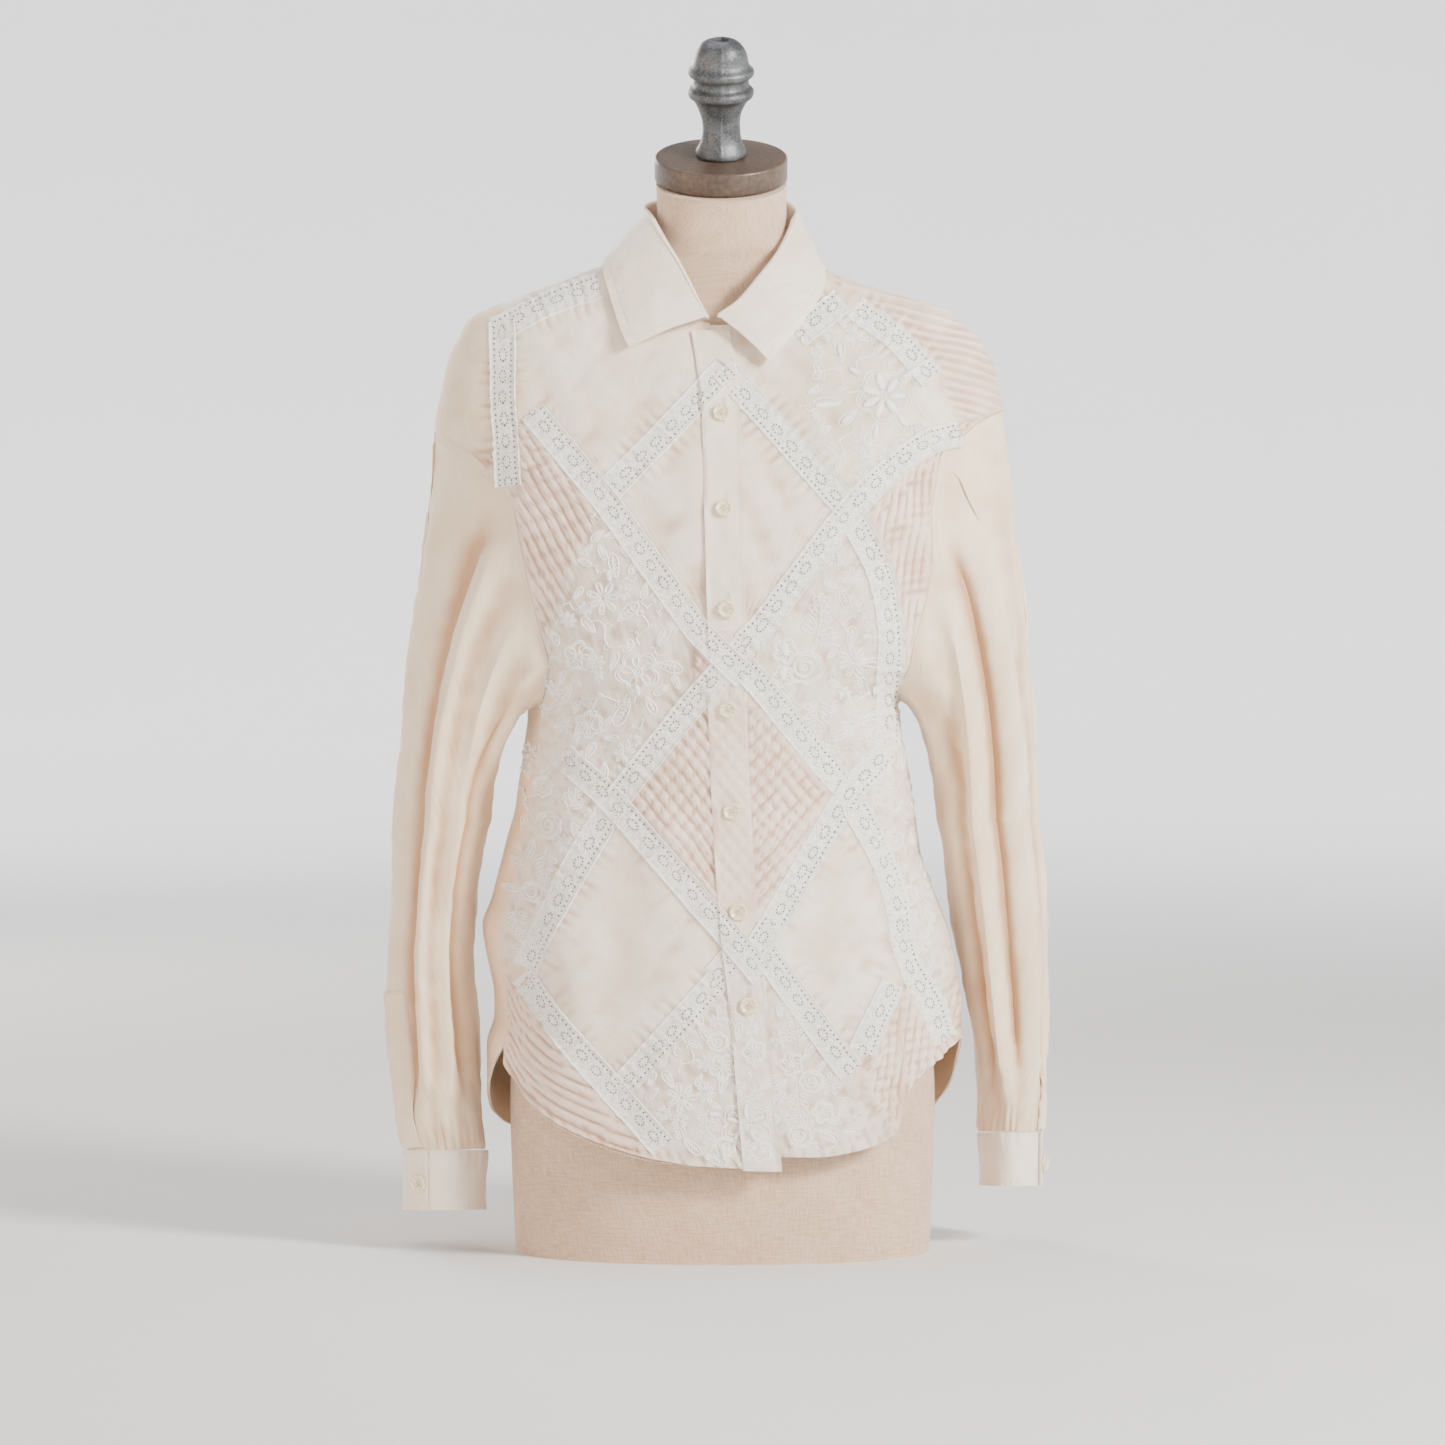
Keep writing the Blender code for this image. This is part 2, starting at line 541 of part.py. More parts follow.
def back_panel():
    """The whole back, from side seam to side seam, with the shirt-tail hem."""
    outer, inner = [], []
    for j in range(0, FRONT_ROWS + 1, 2):
        outer_row, inner_row = [], []
        for i in range(BACK_COLUMNS + 1):
            w = 2 * i / BACK_COLUMNS - 1
            side = RIGHT if w < 0 else LEFT
            u = abs(w)
            both = [edge_height(s, j) for s in (RIGHT, LEFT)]
            shares = [(z - side_foot(s)) / (neckline(90) - side_foot(s)) for s, z in zip((RIGHT, LEFT), both)]
            edge_z = both[0 if side == RIGHT else 1]
            edge_share = shares[0] * (1 - w) / 2 + shares[1] * (1 + w) / 2
            reach = side_edge(ARMHOLE_BACK, side, edge_z)
            foot = BACK_HEM_CENTRE + (side_foot(side) - BACK_HEM_CENTRE) * u**BACK_HEM_POWER
            share = row_share(u, j / FRONT_ROWS, edge_share)
            z = edge_z if u == 1 else foot + share * (neckline(180 - 90 * u) - foot)
            angle = 180 - u * (180 - reach)
            out = body_normal(side, angle, z)
            base = body_point(side, angle, z)
            shift = panel_gap(side, angle, z, 1) if u == 1 else Vector()
            outer_row.append(base + shift)
            inner_row.append(base + shift - out * WALL)
        outer.append(outer_row)
        inner.append(inner_row)
    return sheet_solid("back", outer, inner, 1, COTTON)


def sleeve_ring(side, phi, z):
    """A point of a hanging sleeve's ring: phi 0 is its outer edge, 90 its front and 180 its inner edge."""
    rows = SLEEVE_RINGS[side][::-1]
    outer = smooth(rows, "z", "outer", z)
    inner = smooth(rows, "z", "inner", z)
    centre = smooth(rows, "z", "centre", z)
    half = smooth(rows, "z", "half", z)
    p = math.radians(phi)
    y = centre - half * math.sin(p)
    droop = CUFF_SLOPE * ease((170 - z) / 80.0) * (y - centre)
    return Vector((side * ((outer + inner) / 2 + (outer - inner) / 2 * math.cos(p)), y, z - droop))


def armhole_point(side, phi):
    """A point of the armhole seam and the panel's outward normal there."""
    phi = phi % 360
    tip = SHOULDER_TIP[side]
    z = tip - (tip - UNDERARM) * (1 - math.cos(math.radians(phi))) / 2
    angle = armhole(ARMHOLE_FRONT if phi <= 180 else ARMHOLE_BACK, side, z)
    return body_point(side, angle, z), body_normal(side, angle, z)


def armhole_start(side, phi):
    """A point of the armhole and the direction in which the sleeve leaves it."""
    start, out = armhole_point(side, phi)
    seam = armhole_point(side, phi + 4)[0] - armhole_point(side, phi - 4)[0]
    away = seam.cross(out).normalized() * -side
    lower = ease((-math.cos(math.radians(phi)) - 0.3) / 0.6)
    leave = away * (1 - lower) + (out * 0.9 + away * 0.4) * lower
    return start, leave.normalized()


def sleeve_point(side, phi, s):
    """The sleeve's outside: s runs from 0 at the armhole to 1 at its first hanging ring and 2 at the cuff."""
    phi = phi % 360
    first, last = SLEEVE_RINGS[side][0].z, SLEEVE_RINGS[side][-1].z + 0.5
    if s < 1:
        start, leave = armhole_start(side, phi)
        start = start + leave * SLEEVE_GAP[side]
        end = sleeve_ring(side, phi, first)
        reach = (end - start).length
        m0 = leave * reach * 0.55
        m1 = Vector((0, 0, -1)) * reach * 0.9
        at = ((2 * s**3 - 3 * s**2 + 1) * start + (s**3 - 2 * s**2 + s) * m0
              + (3 * s**2 - 2 * s**3) * end + (s**3 - s**2) * m1)
    else:
        z = first + (last - first) * (s - 1)
        at = sleeve_ring(side, phi, z)
    return at


def wave_height(side, phi, at_z, s):
    total = 0.0
    for wave in SLEEVE_WAVES[side]:
        apart = (phi - wave.angle + 180) % 360 - 180
        along = ease((wave.top - at_z) / 90.0) * ease((at_z - wave.foot) / 50.0)
        total += wave.rise * along * math.exp(-(apart / wave.width) ** 2)
    return total * ease(s / 0.35)


def sleeve(side):
    """A plain sleeve in two lengths, lofted from the armhole into hanging rings, with long soft folds."""
    steps = [s / CAP_ROWS for s in range(CAP_ROWS)] + [1 + s / SLEEVE_ROWS for s in range(SLEEVE_ROWS + 1)]
    outer, inner = [], []
    for s in steps:
        outer_ring, inner_ring = [], []
        for k in range(2 * ARMHOLE_ROWS):
            phi = 180.0 * k / ARMHOLE_ROWS
            low, high = max(s - 0.02, 0.0), min(s + 0.02, 2.0)
            down = sleeve_point(side, phi, high) - sleeve_point(side, phi, low)
            round_ = sleeve_point(side, phi + 2, s) - sleeve_point(side, phi - 2, s)
            out = down.cross(round_).normalized() * -side
            base = sleeve_point(side, phi, s)
            base = base + out * wave_height(side, phi, base.z, s)
            outer_ring.append(base)
            inner_ring.append(base - out * WALL)
        if s == 0:
            for ring in (outer_ring, inner_ring):
                for k in range(1, 2 * ARMHOLE_ROWS, 2):
                    ring[k] = (ring[k - 1] + ring[(k + 1) % len(ring)]) / 2
        outer.append(outer_ring)
        inner.append(inner_ring)
    name = "sleeve_right" if side == RIGHT else "sleeve_left"
    upper = tube_solid(f"{name}_upper", outer[:CAP_ROWS + 1], inner[:CAP_ROWS + 1], COTTON)
    for rings in (outer, inner):
        rings[CAP_ROWS] = [p - Vector((0, 0, SEAM)) for p in rings[CAP_ROWS]]
    lower = tube_solid(f"{name}_lower", outer[CAP_ROWS:], inner[CAP_ROWS:], COTTON)
    return upper, lower


def cuff(side):
    """A stiff band that laps over itself where it buttons."""
    last = SLEEVE_RINGS[side][-1]
    axis = Vector((side * (last.outer + last.inner) / 2, last.centre, 0))
    grid_out, grid_in = [], []
    for level in range(2):
        drop = CUFF_PLAY + CUFF_HEIGHT[side] * level
        row_out, row_in = [], []
        for k in range(CUFF_STEPS + 1):
            along = k / CUFF_STEPS * (360 + CUFF_OVERLAP)
            ring = sleeve_ring(side, CUFF_END[side] - CUFF_OVERLAP + along, last.z)
            away = (ring - axis).xy.to_3d().normalized()
            lap = ease((along - CUFF_RISE_START) / CUFF_RISE) * (CUFF_WALL + CUFF_LAP_PLAY)
            at = ring + away * (lap + CUFF_PLAY) - Vector((0, 0, drop))
            row_out.append(at)
            row_in.append(at - away * CUFF_WALL)
        grid_out.append(row_out)
        grid_in.append(row_in)
    return sheet_solid("cuff_right" if side == RIGHT else "cuff_left", grid_out, grid_in, 1, COTTON)


def path_point(points, share):
    """A point at a share of a path's length, on a smooth curve through its points."""
    lengths = [math.dist(a, b) for a, b in zip(points, points[1:])]
    goal = share * sum(lengths)
    k = 0
    while k < len(lengths) - 1 and goal > lengths[k]:
        goal -= lengths[k]
        k += 1
    s = goal / lengths[k]
    p = [np.array(q, float) for q in points]
    before = p[k - 1] if k > 0 else 2 * p[0] - p[1]
    after = p[k + 2] if k + 2 < len(p) else 2 * p[-1] - p[-2]
    m0, m1 = (p[k + 1] - before) / 2, (after - p[k]) / 2
    return ((2 * s**3 - 3 * s**2 + 1) * p[k] + (s**3 - 2 * s**2 + s) * m0
            + (3 * s**2 - 2 * s**3) * p[k + 1] + (s**3 - s**2) * m1)


def seat(tree, point, out, lift):
    """Drop a point onto the panels under it and lift it off again."""
    hit = tree.ray_cast(point + out * SEAT_REACH, -out, 2 * SEAT_REACH)[0]
    return (hit if hit is not None else point) + out * lift


def keep_clear(tree, grid, outs, gap, closed=False):
    """Move the points of a grid along outs until its facets lie at least gap from what is behind them."""
    rows, columns = len(grid), len(grid[0])
    for _ in range(CLEARING_ROUNDS):
        for r in range(rows - 1):
            for c in range(columns if closed else columns - 1):
                corners = [(r, c), (r + 1, c), (r, (c + 1) % columns), (r + 1, (c + 1) % columns)]
                out = sum((outs[a][b] for a, b in corners), Vector()).normalized()
                lack = 0.0
                for s in CLEARING_SHARES:
                    for t in CLEARING_SHARES:
                        weights = ((1 - s) * (1 - t), s * (1 - t), (1 - s) * t, s * t)
                        at = sum((grid[a][b] * w for (a, b), w in zip(corners, weights)), Vector())
                        hit = tree.ray_cast(at + out * CLEARING_REACH, -out, 2 * CLEARING_REACH)[0]
                        if hit is not None:
                            lack = max(lack, gap - (at - hit).dot(out))
                if lack > 0:
                    for a, b in corners:
                        grid[a][b] = grid[a][b] + outs[a][b] * lack


def settle(tree, bases, outs, wall):
    """The two faces of a strip that lies on the panels."""
    under = [[seat(tree, p, out, LIE) for p, out in zip(row, line)] for row, line in zip(bases, outs)]
    keep_clear(tree, under, outs, LIE + LIE_SPARE)
    over = [[p + out * wall for p, out in zip(row, line)] for row, line in zip(under, outs)]
    return over, under


def front_out(x, z):
    side = RIGHT if x < 0 else LEFT
    return body_normal(side, angle_at(side, x, z), z)


def lace_strip(number, strip, tree):
    """A strip of insertion that lies along a seam of the patches."""
    length = sum(math.dist(a, b) for a, b in zip(strip.points, strip.points[1:]))
    count = max(3, round(length / LACE_STEP))
    bases, outs = [], []
    for k in range(count + 1):
        along = strip.trim_start + (length - strip.trim_start - strip.trim_end) * k / count
        centre = path_point(strip.points, along / length)
        ahead = path_point(strip.points, min(along / length + 0.02, 1.0))
        behind = path_point(strip.points, max(along / length - 0.02, 0.0))
        direction = (ahead - behind) / np.linalg.norm(ahead - behind)
        cross = np.array((-direction[1], direction[0])) * LACE_WIDTH / 2
        ends = [centre - cross, centre + cross]
        bases.append([front_surface(x, z) for x, z in ends])
        outs.append([front_out(x, z) for x, z in ends])
    over, under = settle(tree, bases, outs, LACE_WALL)
    return sheet_solid(f"lace_{number:02d}", over, under, 1, INSERTION)


def placket(tree):
    """The button band that lies over the centre front, from the collar to the hem."""
    bases, outs = [], []
    for k in range(PLACKET_ROWS + 1):
        z = PLACKET_FOOT + (PLACKET_TOP - PLACKET_FOOT) * k / PLACKET_ROWS
        middle = smooth(BUTTON_LINE, "z", "x", z)
        ends = [middle - PLACKET_WIDTH / 2, middle + PLACKET_WIDTH / 2]
        bases.append([front_surface(x, z) for x in ends])
        outs.append([front_out(middle, z)] * 2)
    over, under = settle(tree, bases, outs, WALL)
    return sheet_solid("placket", over, under, 1, COTTON)


def sleeve_placket(side, tree):
    """The tower band over the sleeve's slit, which ends at the cuff."""
    band = SLEEVE_BANDS[side]
    foot = SLEEVE_RINGS[side][-1].z + SLEEVE_PLACKET_START
    bases, outs = [], []
    for k in range(SLEEVE_PLACKET_ROWS + 1):
        share = k / SLEEVE_PLACKET_ROWS
        z = foot + (band.top - foot) * share
        phi = band.phi_foot + (band.phi_top - band.phi_foot) * share
        turn = sleeve_ring(side, phi + 2, z) - sleeve_ring(side, phi - 2, z)
        out = Vector((0, 0, -1)).cross(turn).normalized() * -side
        reach = band.width / 2 / (turn.length / 4)
        bases.append([sleeve_ring(side, phi + c * reach, z) for c in (-1, 1)])
        outs.append([out, out])
    over, under = settle(tree, bases, outs, WALL)
    name = "sleeve_placket_right" if side == RIGHT else "sleeve_placket_left"
    return sheet_solid(name, over, under, 1, COTTON)


def stacked_solid(name, rings, finish):
    """A solid through a list of closed rings, with a flat face over its first and last ring."""
    points = [p for ring in rings for p in ring]
    around = len(rings[0])
    faces = []
    for r in range(len(rings) - 1):
        for k in range(around):
            m = (k + 1) % around
            faces.append((r * around + k, r * around + m, (r + 1) * around + m, (r + 1) * around + k))
    faces.append(tuple(range(around))[::-1])
    faces.append(tuple(range((len(rings) - 1) * around, len(rings) * around)))
    return make_object(name, points, faces, finish)


def turned(name, profile, around, place, finish):
    """A solid turned round its own Z from the rows of a profile."""
    turns = [2 * math.pi * k / around for k in range(around)]
    rings = []
    for row in profile:
        spokes = [Vector((row.radius * math.cos(a), row.radius * math.sin(a), row.height)) for a in turns]
        rings.append([place @ spoke for spoke in spokes])
    return stacked_solid(name, rings, finish)


def facing(at, out):
    """A placement with its Z along out."""
    return Matrix.Translation(at) @ out.to_track_quat("Z", "Y").to_matrix().to_4x4()


def buttons(tree):
    for number, z in enumerate(BUTTON_LEVELS, 1):
        x = smooth(BUTTON_LINE, "z", "x", z)
        side = RIGHT if x < 0 else LEFT
        out = body_normal(side, angle_at(side, x, z), z)
        at = seat(tree, front_surface(x, z), out, BUTTON_PLAY)
        turned(f"button_{number}", BUTTON_PROFILE, BUTTON_AROUND, facing(at, out), PEARL)


def cuff_button(side, tree):
    last = SLEEVE_RINGS[side][-1]
    phi = CUFF_END[side] - CUFF_BUTTON_TURN
    ring = sleeve_ring(side, phi, last.z)
    away = ring - Vector((side * (last.outer + last.inner) / 2, last.centre, ring.z))
    turn = sleeve_ring(side, phi + 2, last.z) - sleeve_ring(side, phi - 2, last.z)
    turn.z = 0
    out = Vector((turn.y, -turn.x, 0)).normalized()
    out = out if out.dot(away) > 0 else -out
    at = seat(tree, ring - Vector((0, 0, CUFF_HEIGHT[side] * CUFF_BUTTON_DROP)), out, BUTTON_PLAY)
    name = "cuff_button_right" if side == RIGHT else "cuff_button_left"
    turned(name, BUTTON_PROFILE, BUTTON_AROUND, facing(at, out), PEARL)


def neck_point(around):
    """A point of the neckline; around runs from the centre front past the wearer's right and back to 360."""
    side, angle = (RIGHT, around) if around <= 180 else (LEFT, 360 - around)
    return body_point(side, angle, neckline(angle))


def neck_seam(around):
    """The foot of the collar's stand, just past the edge of the panels."""
    side, angle = (RIGHT, around) if around <= 180 else (LEFT, 360 - around)
    ahead = neck_point(min(around + 1, 360)) - neck_point(max(around - 1, 0))
    past = ahead.cross(body_normal(side, angle, neckline(angle))).normalized()
    past = past if past.z > 0 else -past
    return neck_point(around) + past * NECK_GAP - neck_point(around).xy.to_3d().normalized() * NECK_LEAN


def edge_point(row):
    side = RIGHT if row.edge_x < 0 else LEFT
    angle = angle_at(side, row.edge_x, row.edge_z)
    return body_point(side, angle if row.face == "front" else 180 - angle, row.edge_z, row.lift)


def between(values, at):
    """A value at a fraction of the way along a list, on a smooth curve through its entries."""
    k = min(int(at), len(values) - 2)
    s = at - k
    p0, p1 = values[k], values[k + 1]
    m0 = (p1 - values[k - 1]) / 2 if k > 0 else p1 - p0
    m1 = (values[k + 2] - p0) / 2 if k + 2 < len(values) else p1 - p0
    return ((2 * s**3 - 3 * s**2 + 1) * p0 + (s**3 - 2 * s**2 + s) * m0
            + (3 * s**2 - 2 * s**3) * p1 + (s**3 - s**2) * m1)


def grid_normals(grid, closed=False):
    """Normals of a grid's points; rows run along it and columns across it."""
    rows, columns = len(grid), len(grid[0])
    normals = []
    for r in range(rows):
        line = []
        for c in range(columns):
            along = grid[min(r + 1, rows - 1)][c] - grid[max(r - 1, 0)][c]
            before = (c - 1) % columns if closed else max(c - 1, 0)
            after = (c + 1) % columns if closed else min(c + 1, columns - 1)
            line.append(along.cross(grid[r][after] - grid[r][before]).normalized())
        normals.append(line)
    return normals


def collar(tree):
    """Stand and fall in one folded piece, open at the centre front."""
    ways = len(COLLAR) - 1
    arounds = [row.seam for row in COLLAR]
    rolls = [Vector(row.roll) for row in COLLAR]
    edges = [edge_point(row) for row in COLLAR]
    middle = []
    for k in range(COLLAR_COLUMNS + 1):
        share = k / COLLAR_COLUMNS
        seam = neck_seam(between(arounds, share * ways))
        roll, edge = between(rolls, share * ways), between(edges, share * ways)
        away = Vector((edge.x - seam.x, edge.y - seam.y, 0))
        end = min(share, 1 - share) * ways
        away = away.normalized() * FOLD_HALF * (0.6 + 0.4 * ease(end))
        drop = Vector((0, 0, FOLD_HALF))
        middle.append([
            seam, seam.lerp(roll - away, 0.55), roll - away - drop, roll, roll + away - drop,
            (roll + away).lerp(edge, 0.4) + away * 0.8, (roll + away).lerp(edge, 0.75) + away * 0.8, edge,
        ])
    outs = grid_normals(middle)
    fall = [row[4:] for row in middle]
    keep_clear(tree, fall, [row[4:] for row in outs], COLLAR_WALL / 2 + LIE)
    middle = [row[:4] + lower for row, lower in zip(middle, fall)]
    outs = grid_normals(middle)
    over = [[p + out * COLLAR_WALL / 2 for p, out in zip(row, line)] for row, line in zip(middle, outs)]
    under = [[p - out * COLLAR_WALL / 2 for p, out in zip(row, line)] for row, line in zip(middle, outs)]
    return sheet_solid("collar", over, under, 1, COTTON)


def form_half(side, z):
    name = "right" if side == RIGHT else "left"
    own = smooth(FORM, "z", name, z)
    return min(own, smooth(BODY, "z", name, z) - FORM_EASE) if z < FORM_NECK else own


def cap_plane(y, drop):
    """Height of the tilted plane that lies drop below the cap's top face."""
    slope = math.tan(math.radians(CAP_TILT))
    return CAP_CENTRE.z + slope * (y - CAP_CENTRE.y) - drop / math.cos(math.radians(CAP_TILT))


def form_torso(tree):
    """The padded linen torso and neck, closed below by a flat foot and above by the cap's plane."""
    rings = []
    for z in FORM_LEVELS:
        ring = []
        for k in range(FORM_AROUND):
            a = 2 * math.pi * k / FORM_AROUND
            half = form_half(LEFT if a < math.pi else RIGHT, z)
            column = "front" if math.cos(a) > 0 else "back"
            depth = smooth(FORM, "z", column, z)
            if z < FORM_NECK:
                depth = min(depth, smooth(BODY, "z", column, z) - FORM_EASE)
            x, y = half * power(math.sin(a)), -depth * power(math.cos(a))
            height = cap_plane(y, CAP_HEIGHT + CAP_SEAT) if z == FORM_LEVELS[-1] else z
            ring.append(Vector((x, y, height)))
        rings.append(ring)
    inward = []
    for ring, line in zip(rings, grid_normals(rings, closed=True)):
        inward.append([out if out.xy.dot(p.xy) < 0 else -out for p, out in zip(ring, line)])
    upper = FORM_LEVELS.index(FORM_SHOULDER)
    clear = rings[upper:-1]
    keep_clear(tree, clear, inward[upper:-1], LIE, closed=True)
    rings[upper:-1] = clear
    return stacked_solid("form_torso", rings, LINEN)


def clear_scene():
    for found in list(bpy.data.objects):
        bpy.data.objects.remove(found, do_unlink=True)


def tree_of(objects):
    """A search tree over the outsides of finished pieces, in millimetres."""
    points, faces = [], []
    for made in objects:
        base = len(points)
        points += [v.co / MM for v in made.data.vertices]
        faces += [[base + i for i in face.vertices] for face in made.data.polygons]
    return BVHTree.FromPolygons(points, faces)


def main():
    clear_scene()
    fronts = [front_panel(RIGHT), front_panel(LEFT)]
    back = back_panel()
    on_fronts = tree_of(fronts)
    for number, strip in enumerate(LACE, 1):
        lace_strip(number, strip, on_fronts)
    band = placket(on_fronts)
    buttons(tree_of([band]))
    for side in (RIGHT, LEFT):
        sleeve_placket(side, tree_of(sleeve(side)))
        cuff_button(side, tree_of([cuff(side)]))
    turned_down = collar(tree_of([*fronts, back, band]))
    form_torso(tree_of([*fronts, back, turned_down]))
    tilt = Matrix.Translation(CAP_CENTRE) @ Matrix.Rotation(math.radians(CAP_TILT), 4, "X")
    turned("form_cap", CAP_PROFILE, CAP_AROUND, tilt, BRONZE)
    turned("form_finial", FINIAL_PROFILE, FINIAL_AROUND, tilt, IRON)


main()
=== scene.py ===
# %% [markdown]
# # A patchwork shirt on a dress form
# The shirt is pieced from cream cotton patches: plain sateen, quilting, pin-tucks and white embroidery, joined
# by strips of openwork insertion. It hangs on a limbless linen dress form with a bronze-brown neck cap and a
# cast-iron finial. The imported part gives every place. Here each cloth piece is made again as a fine, thin shell
# on the same curves, because a close view of cloth needs its puckers, seams and stitches.

import math
from collections import namedtuple

import bpy
import numpy as np
from mathutils import Matrix, Vector
from mathutils.bvhtree import BVHTree


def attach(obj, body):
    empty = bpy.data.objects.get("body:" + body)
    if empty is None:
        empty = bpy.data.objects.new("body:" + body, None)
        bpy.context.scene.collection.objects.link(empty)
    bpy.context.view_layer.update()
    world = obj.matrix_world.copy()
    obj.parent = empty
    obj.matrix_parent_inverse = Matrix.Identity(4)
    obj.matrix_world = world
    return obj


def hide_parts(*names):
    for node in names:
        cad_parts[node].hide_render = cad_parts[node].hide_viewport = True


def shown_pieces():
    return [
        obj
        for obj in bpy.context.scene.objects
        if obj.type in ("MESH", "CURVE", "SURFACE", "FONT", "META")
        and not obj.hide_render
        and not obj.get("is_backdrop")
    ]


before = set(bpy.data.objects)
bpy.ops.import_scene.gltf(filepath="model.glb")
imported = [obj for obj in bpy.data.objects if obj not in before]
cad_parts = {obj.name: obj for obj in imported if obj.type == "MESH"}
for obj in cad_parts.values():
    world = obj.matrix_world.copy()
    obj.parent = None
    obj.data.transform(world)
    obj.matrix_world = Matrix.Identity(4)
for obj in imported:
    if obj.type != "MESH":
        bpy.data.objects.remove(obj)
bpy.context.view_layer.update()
MM = 0.001
RIGHT, LEFT = -1, 1
SIDES = ((RIGHT, "right"), (LEFT, "left"))

# %% [markdown]
# ## The camera
# The photograph was taken with a long lens from about 4.5 m, a little above the middle of the shirt and
# looking down by two degrees. Half of the picture is 578 mm wide where the shirt hangs, which gives the lens.

# %% Camera
VIEW_DISTANCE, VIEW_HALF, VIEW_PITCH = 4.5, 0.578, 2.0
AIM = Vector((0, 0, 0.422))
lens = bpy.data.cameras.new("studio_camera")
lens.sensor_width = 36
lens.lens = lens.sensor_width / 2 * VIEW_DISTANCE / VIEW_HALF
camera = bpy.data.objects.new("studio_camera", lens)
bpy.context.scene.collection.objects.link(camera)
pitch = math.radians(VIEW_PITCH)
camera.location = AIM + Vector((0, -math.cos(pitch), math.sin(pitch))) * VIEW_DISTANCE
camera.rotation_euler = (math.radians(90) - pitch, 0, 0)
bpy.context.scene.camera = camera
print("lens in mm:", round(lens.lens, 1))

# %% [markdown]
# ## Colours and nodes
# Colours are picked as sRGB hex values, and the shader needs linear ones, so one function turns them. Another
# adds a node with its settings and links. Every finish below is built with these two.

# %% Colour and node helpers
def linear(hex_colour):
    values = [int(hex_colour[i:i + 2], 16) / 255 for i in (1, 3, 5)]
    return (*[v / 12.92 if v <= 0.04045 else ((v + 0.055) / 1.055) ** 2.4 for v in values], 1.0)


def add(tree, kind, inputs=None, **settings):
    """Add a node; an input may be a value, a socket, or a node whose first output is meant."""
    node = tree.nodes.new(kind)
    for key, value in settings.items():
        setattr(node, key, value)
    for key, value in (inputs or {}).items():
        if isinstance(value, bpy.types.Node):
            value = value.outputs[0]
        if isinstance(value, bpy.types.NodeSocket):
            tree.links.new(value, node.inputs[key])
        else:
            node.inputs[key].default_value = value
    return node


def new_finish(name, sockets):
    """A material with constants on its Principled shader; returns it with its tree and shader."""
    made = bpy.data.materials.new(name)
    made.use_nodes = True
    shader = made.node_tree.nodes["Principled BSDF"]
    for key, value in sockets.items():
        shader.inputs[key].default_value = value
    return made, made.node_tree, shader


def surface(tree, shader, colour, bump):
    """Give a shader its colour, from a mix node, and its bump."""
    tree.links.new(colour.outputs[2], shader.inputs["Base Color"])
    tree.links.new(bump.outputs[0], shader.inputs["Normal"])


def woven(tree, place, along, across):
    """Threads both ways: two noises, each stretched along one thread direction, added up."""
    bands = []
    for scale in ((along, across, 1.0), (across, along, 1.0)):
        stretched = add(tree, "ShaderNodeVectorMath", {0: place, 1: scale}, operation="MULTIPLY")
        bands.append(add(tree, "ShaderNodeTexNoise", {"Vector": stretched, "Scale": 1.0, "Detail": 2.0}))
    return add(tree, "ShaderNodeMath", {0: bands[0], 1: bands[1]}, operation="ADD")


print("cream as linear:", [round(v, 3) for v in linear("#f3ebe3")])

# %% [markdown]
# ## Studio
# A pale paper floor curves up into a round wall on all sides, so that there is no horizon from any angle. A neutral
# soft box stands front right, and a low warm one on the left warms the shade in the folds, whose tan is also painted
# into the cloth's colour. Weaker ones above and behind keep the shoulders and the back readable.

# %% Backdrop paper
PAPER_RADIUS, PAPER_BEND, PAPER_AROUND = 16.0, 9.0, 96
paper_profile = [(0.02, 0.0), (PAPER_RADIUS - PAPER_BEND, 0.0)]
for step in range(1, 19):
    turn = math.radians(90 * step / 18)
    paper_profile.append((PAPER_RADIUS - PAPER_BEND * (1 - math.sin(turn)), PAPER_BEND * (1 - math.cos(turn))))
paper_turns = [2 * math.pi * n / PAPER_AROUND for n in range(PAPER_AROUND)]
paper_mesh = bpy.data.meshes.new("backdrop")
paper_mesh.from_pydata(
    [(r * math.cos(a), r * math.sin(a), z) for r, z in paper_profile for a in paper_turns], [],
    [(i * PAPER_AROUND + n, i * PAPER_AROUND + (n + 1) % PAPER_AROUND, (i + 1) * PAPER_AROUND + (n + 1) % PAPER_AROUND,
      (i + 1) * PAPER_AROUND + n) for i in range(len(paper_profile) - 1) for n in range(PAPER_AROUND)]
    + [tuple(range(PAPER_AROUND))])
paper_mesh.shade_smooth()
backdrop = bpy.data.objects.new("backdrop", paper_mesh)
bpy.context.scene.collection.objects.link(backdrop)
backdrop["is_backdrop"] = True
# Matt background paper: no gloss at all, with a faint pulp mottle.
paper, tree, shader = new_finish("background_paper", {"Roughness": 0.95, "Specular IOR Level": 0.1})
place = add(tree, "ShaderNodeTexCoord")
mottle = add(tree, "ShaderNodeTexNoise", {"Vector": place.outputs["Object"], "Scale": 1.2, "Detail": 3.0})
shade = add(tree, "ShaderNodeMix", {0: mottle, 6: linear("#e6e7e8"), 7: linear("#ececec")}, data_type="RGBA")
tree.links.new(shade.outputs[2], shader.inputs["Base Color"])
paper_mesh.materials.append(paper)

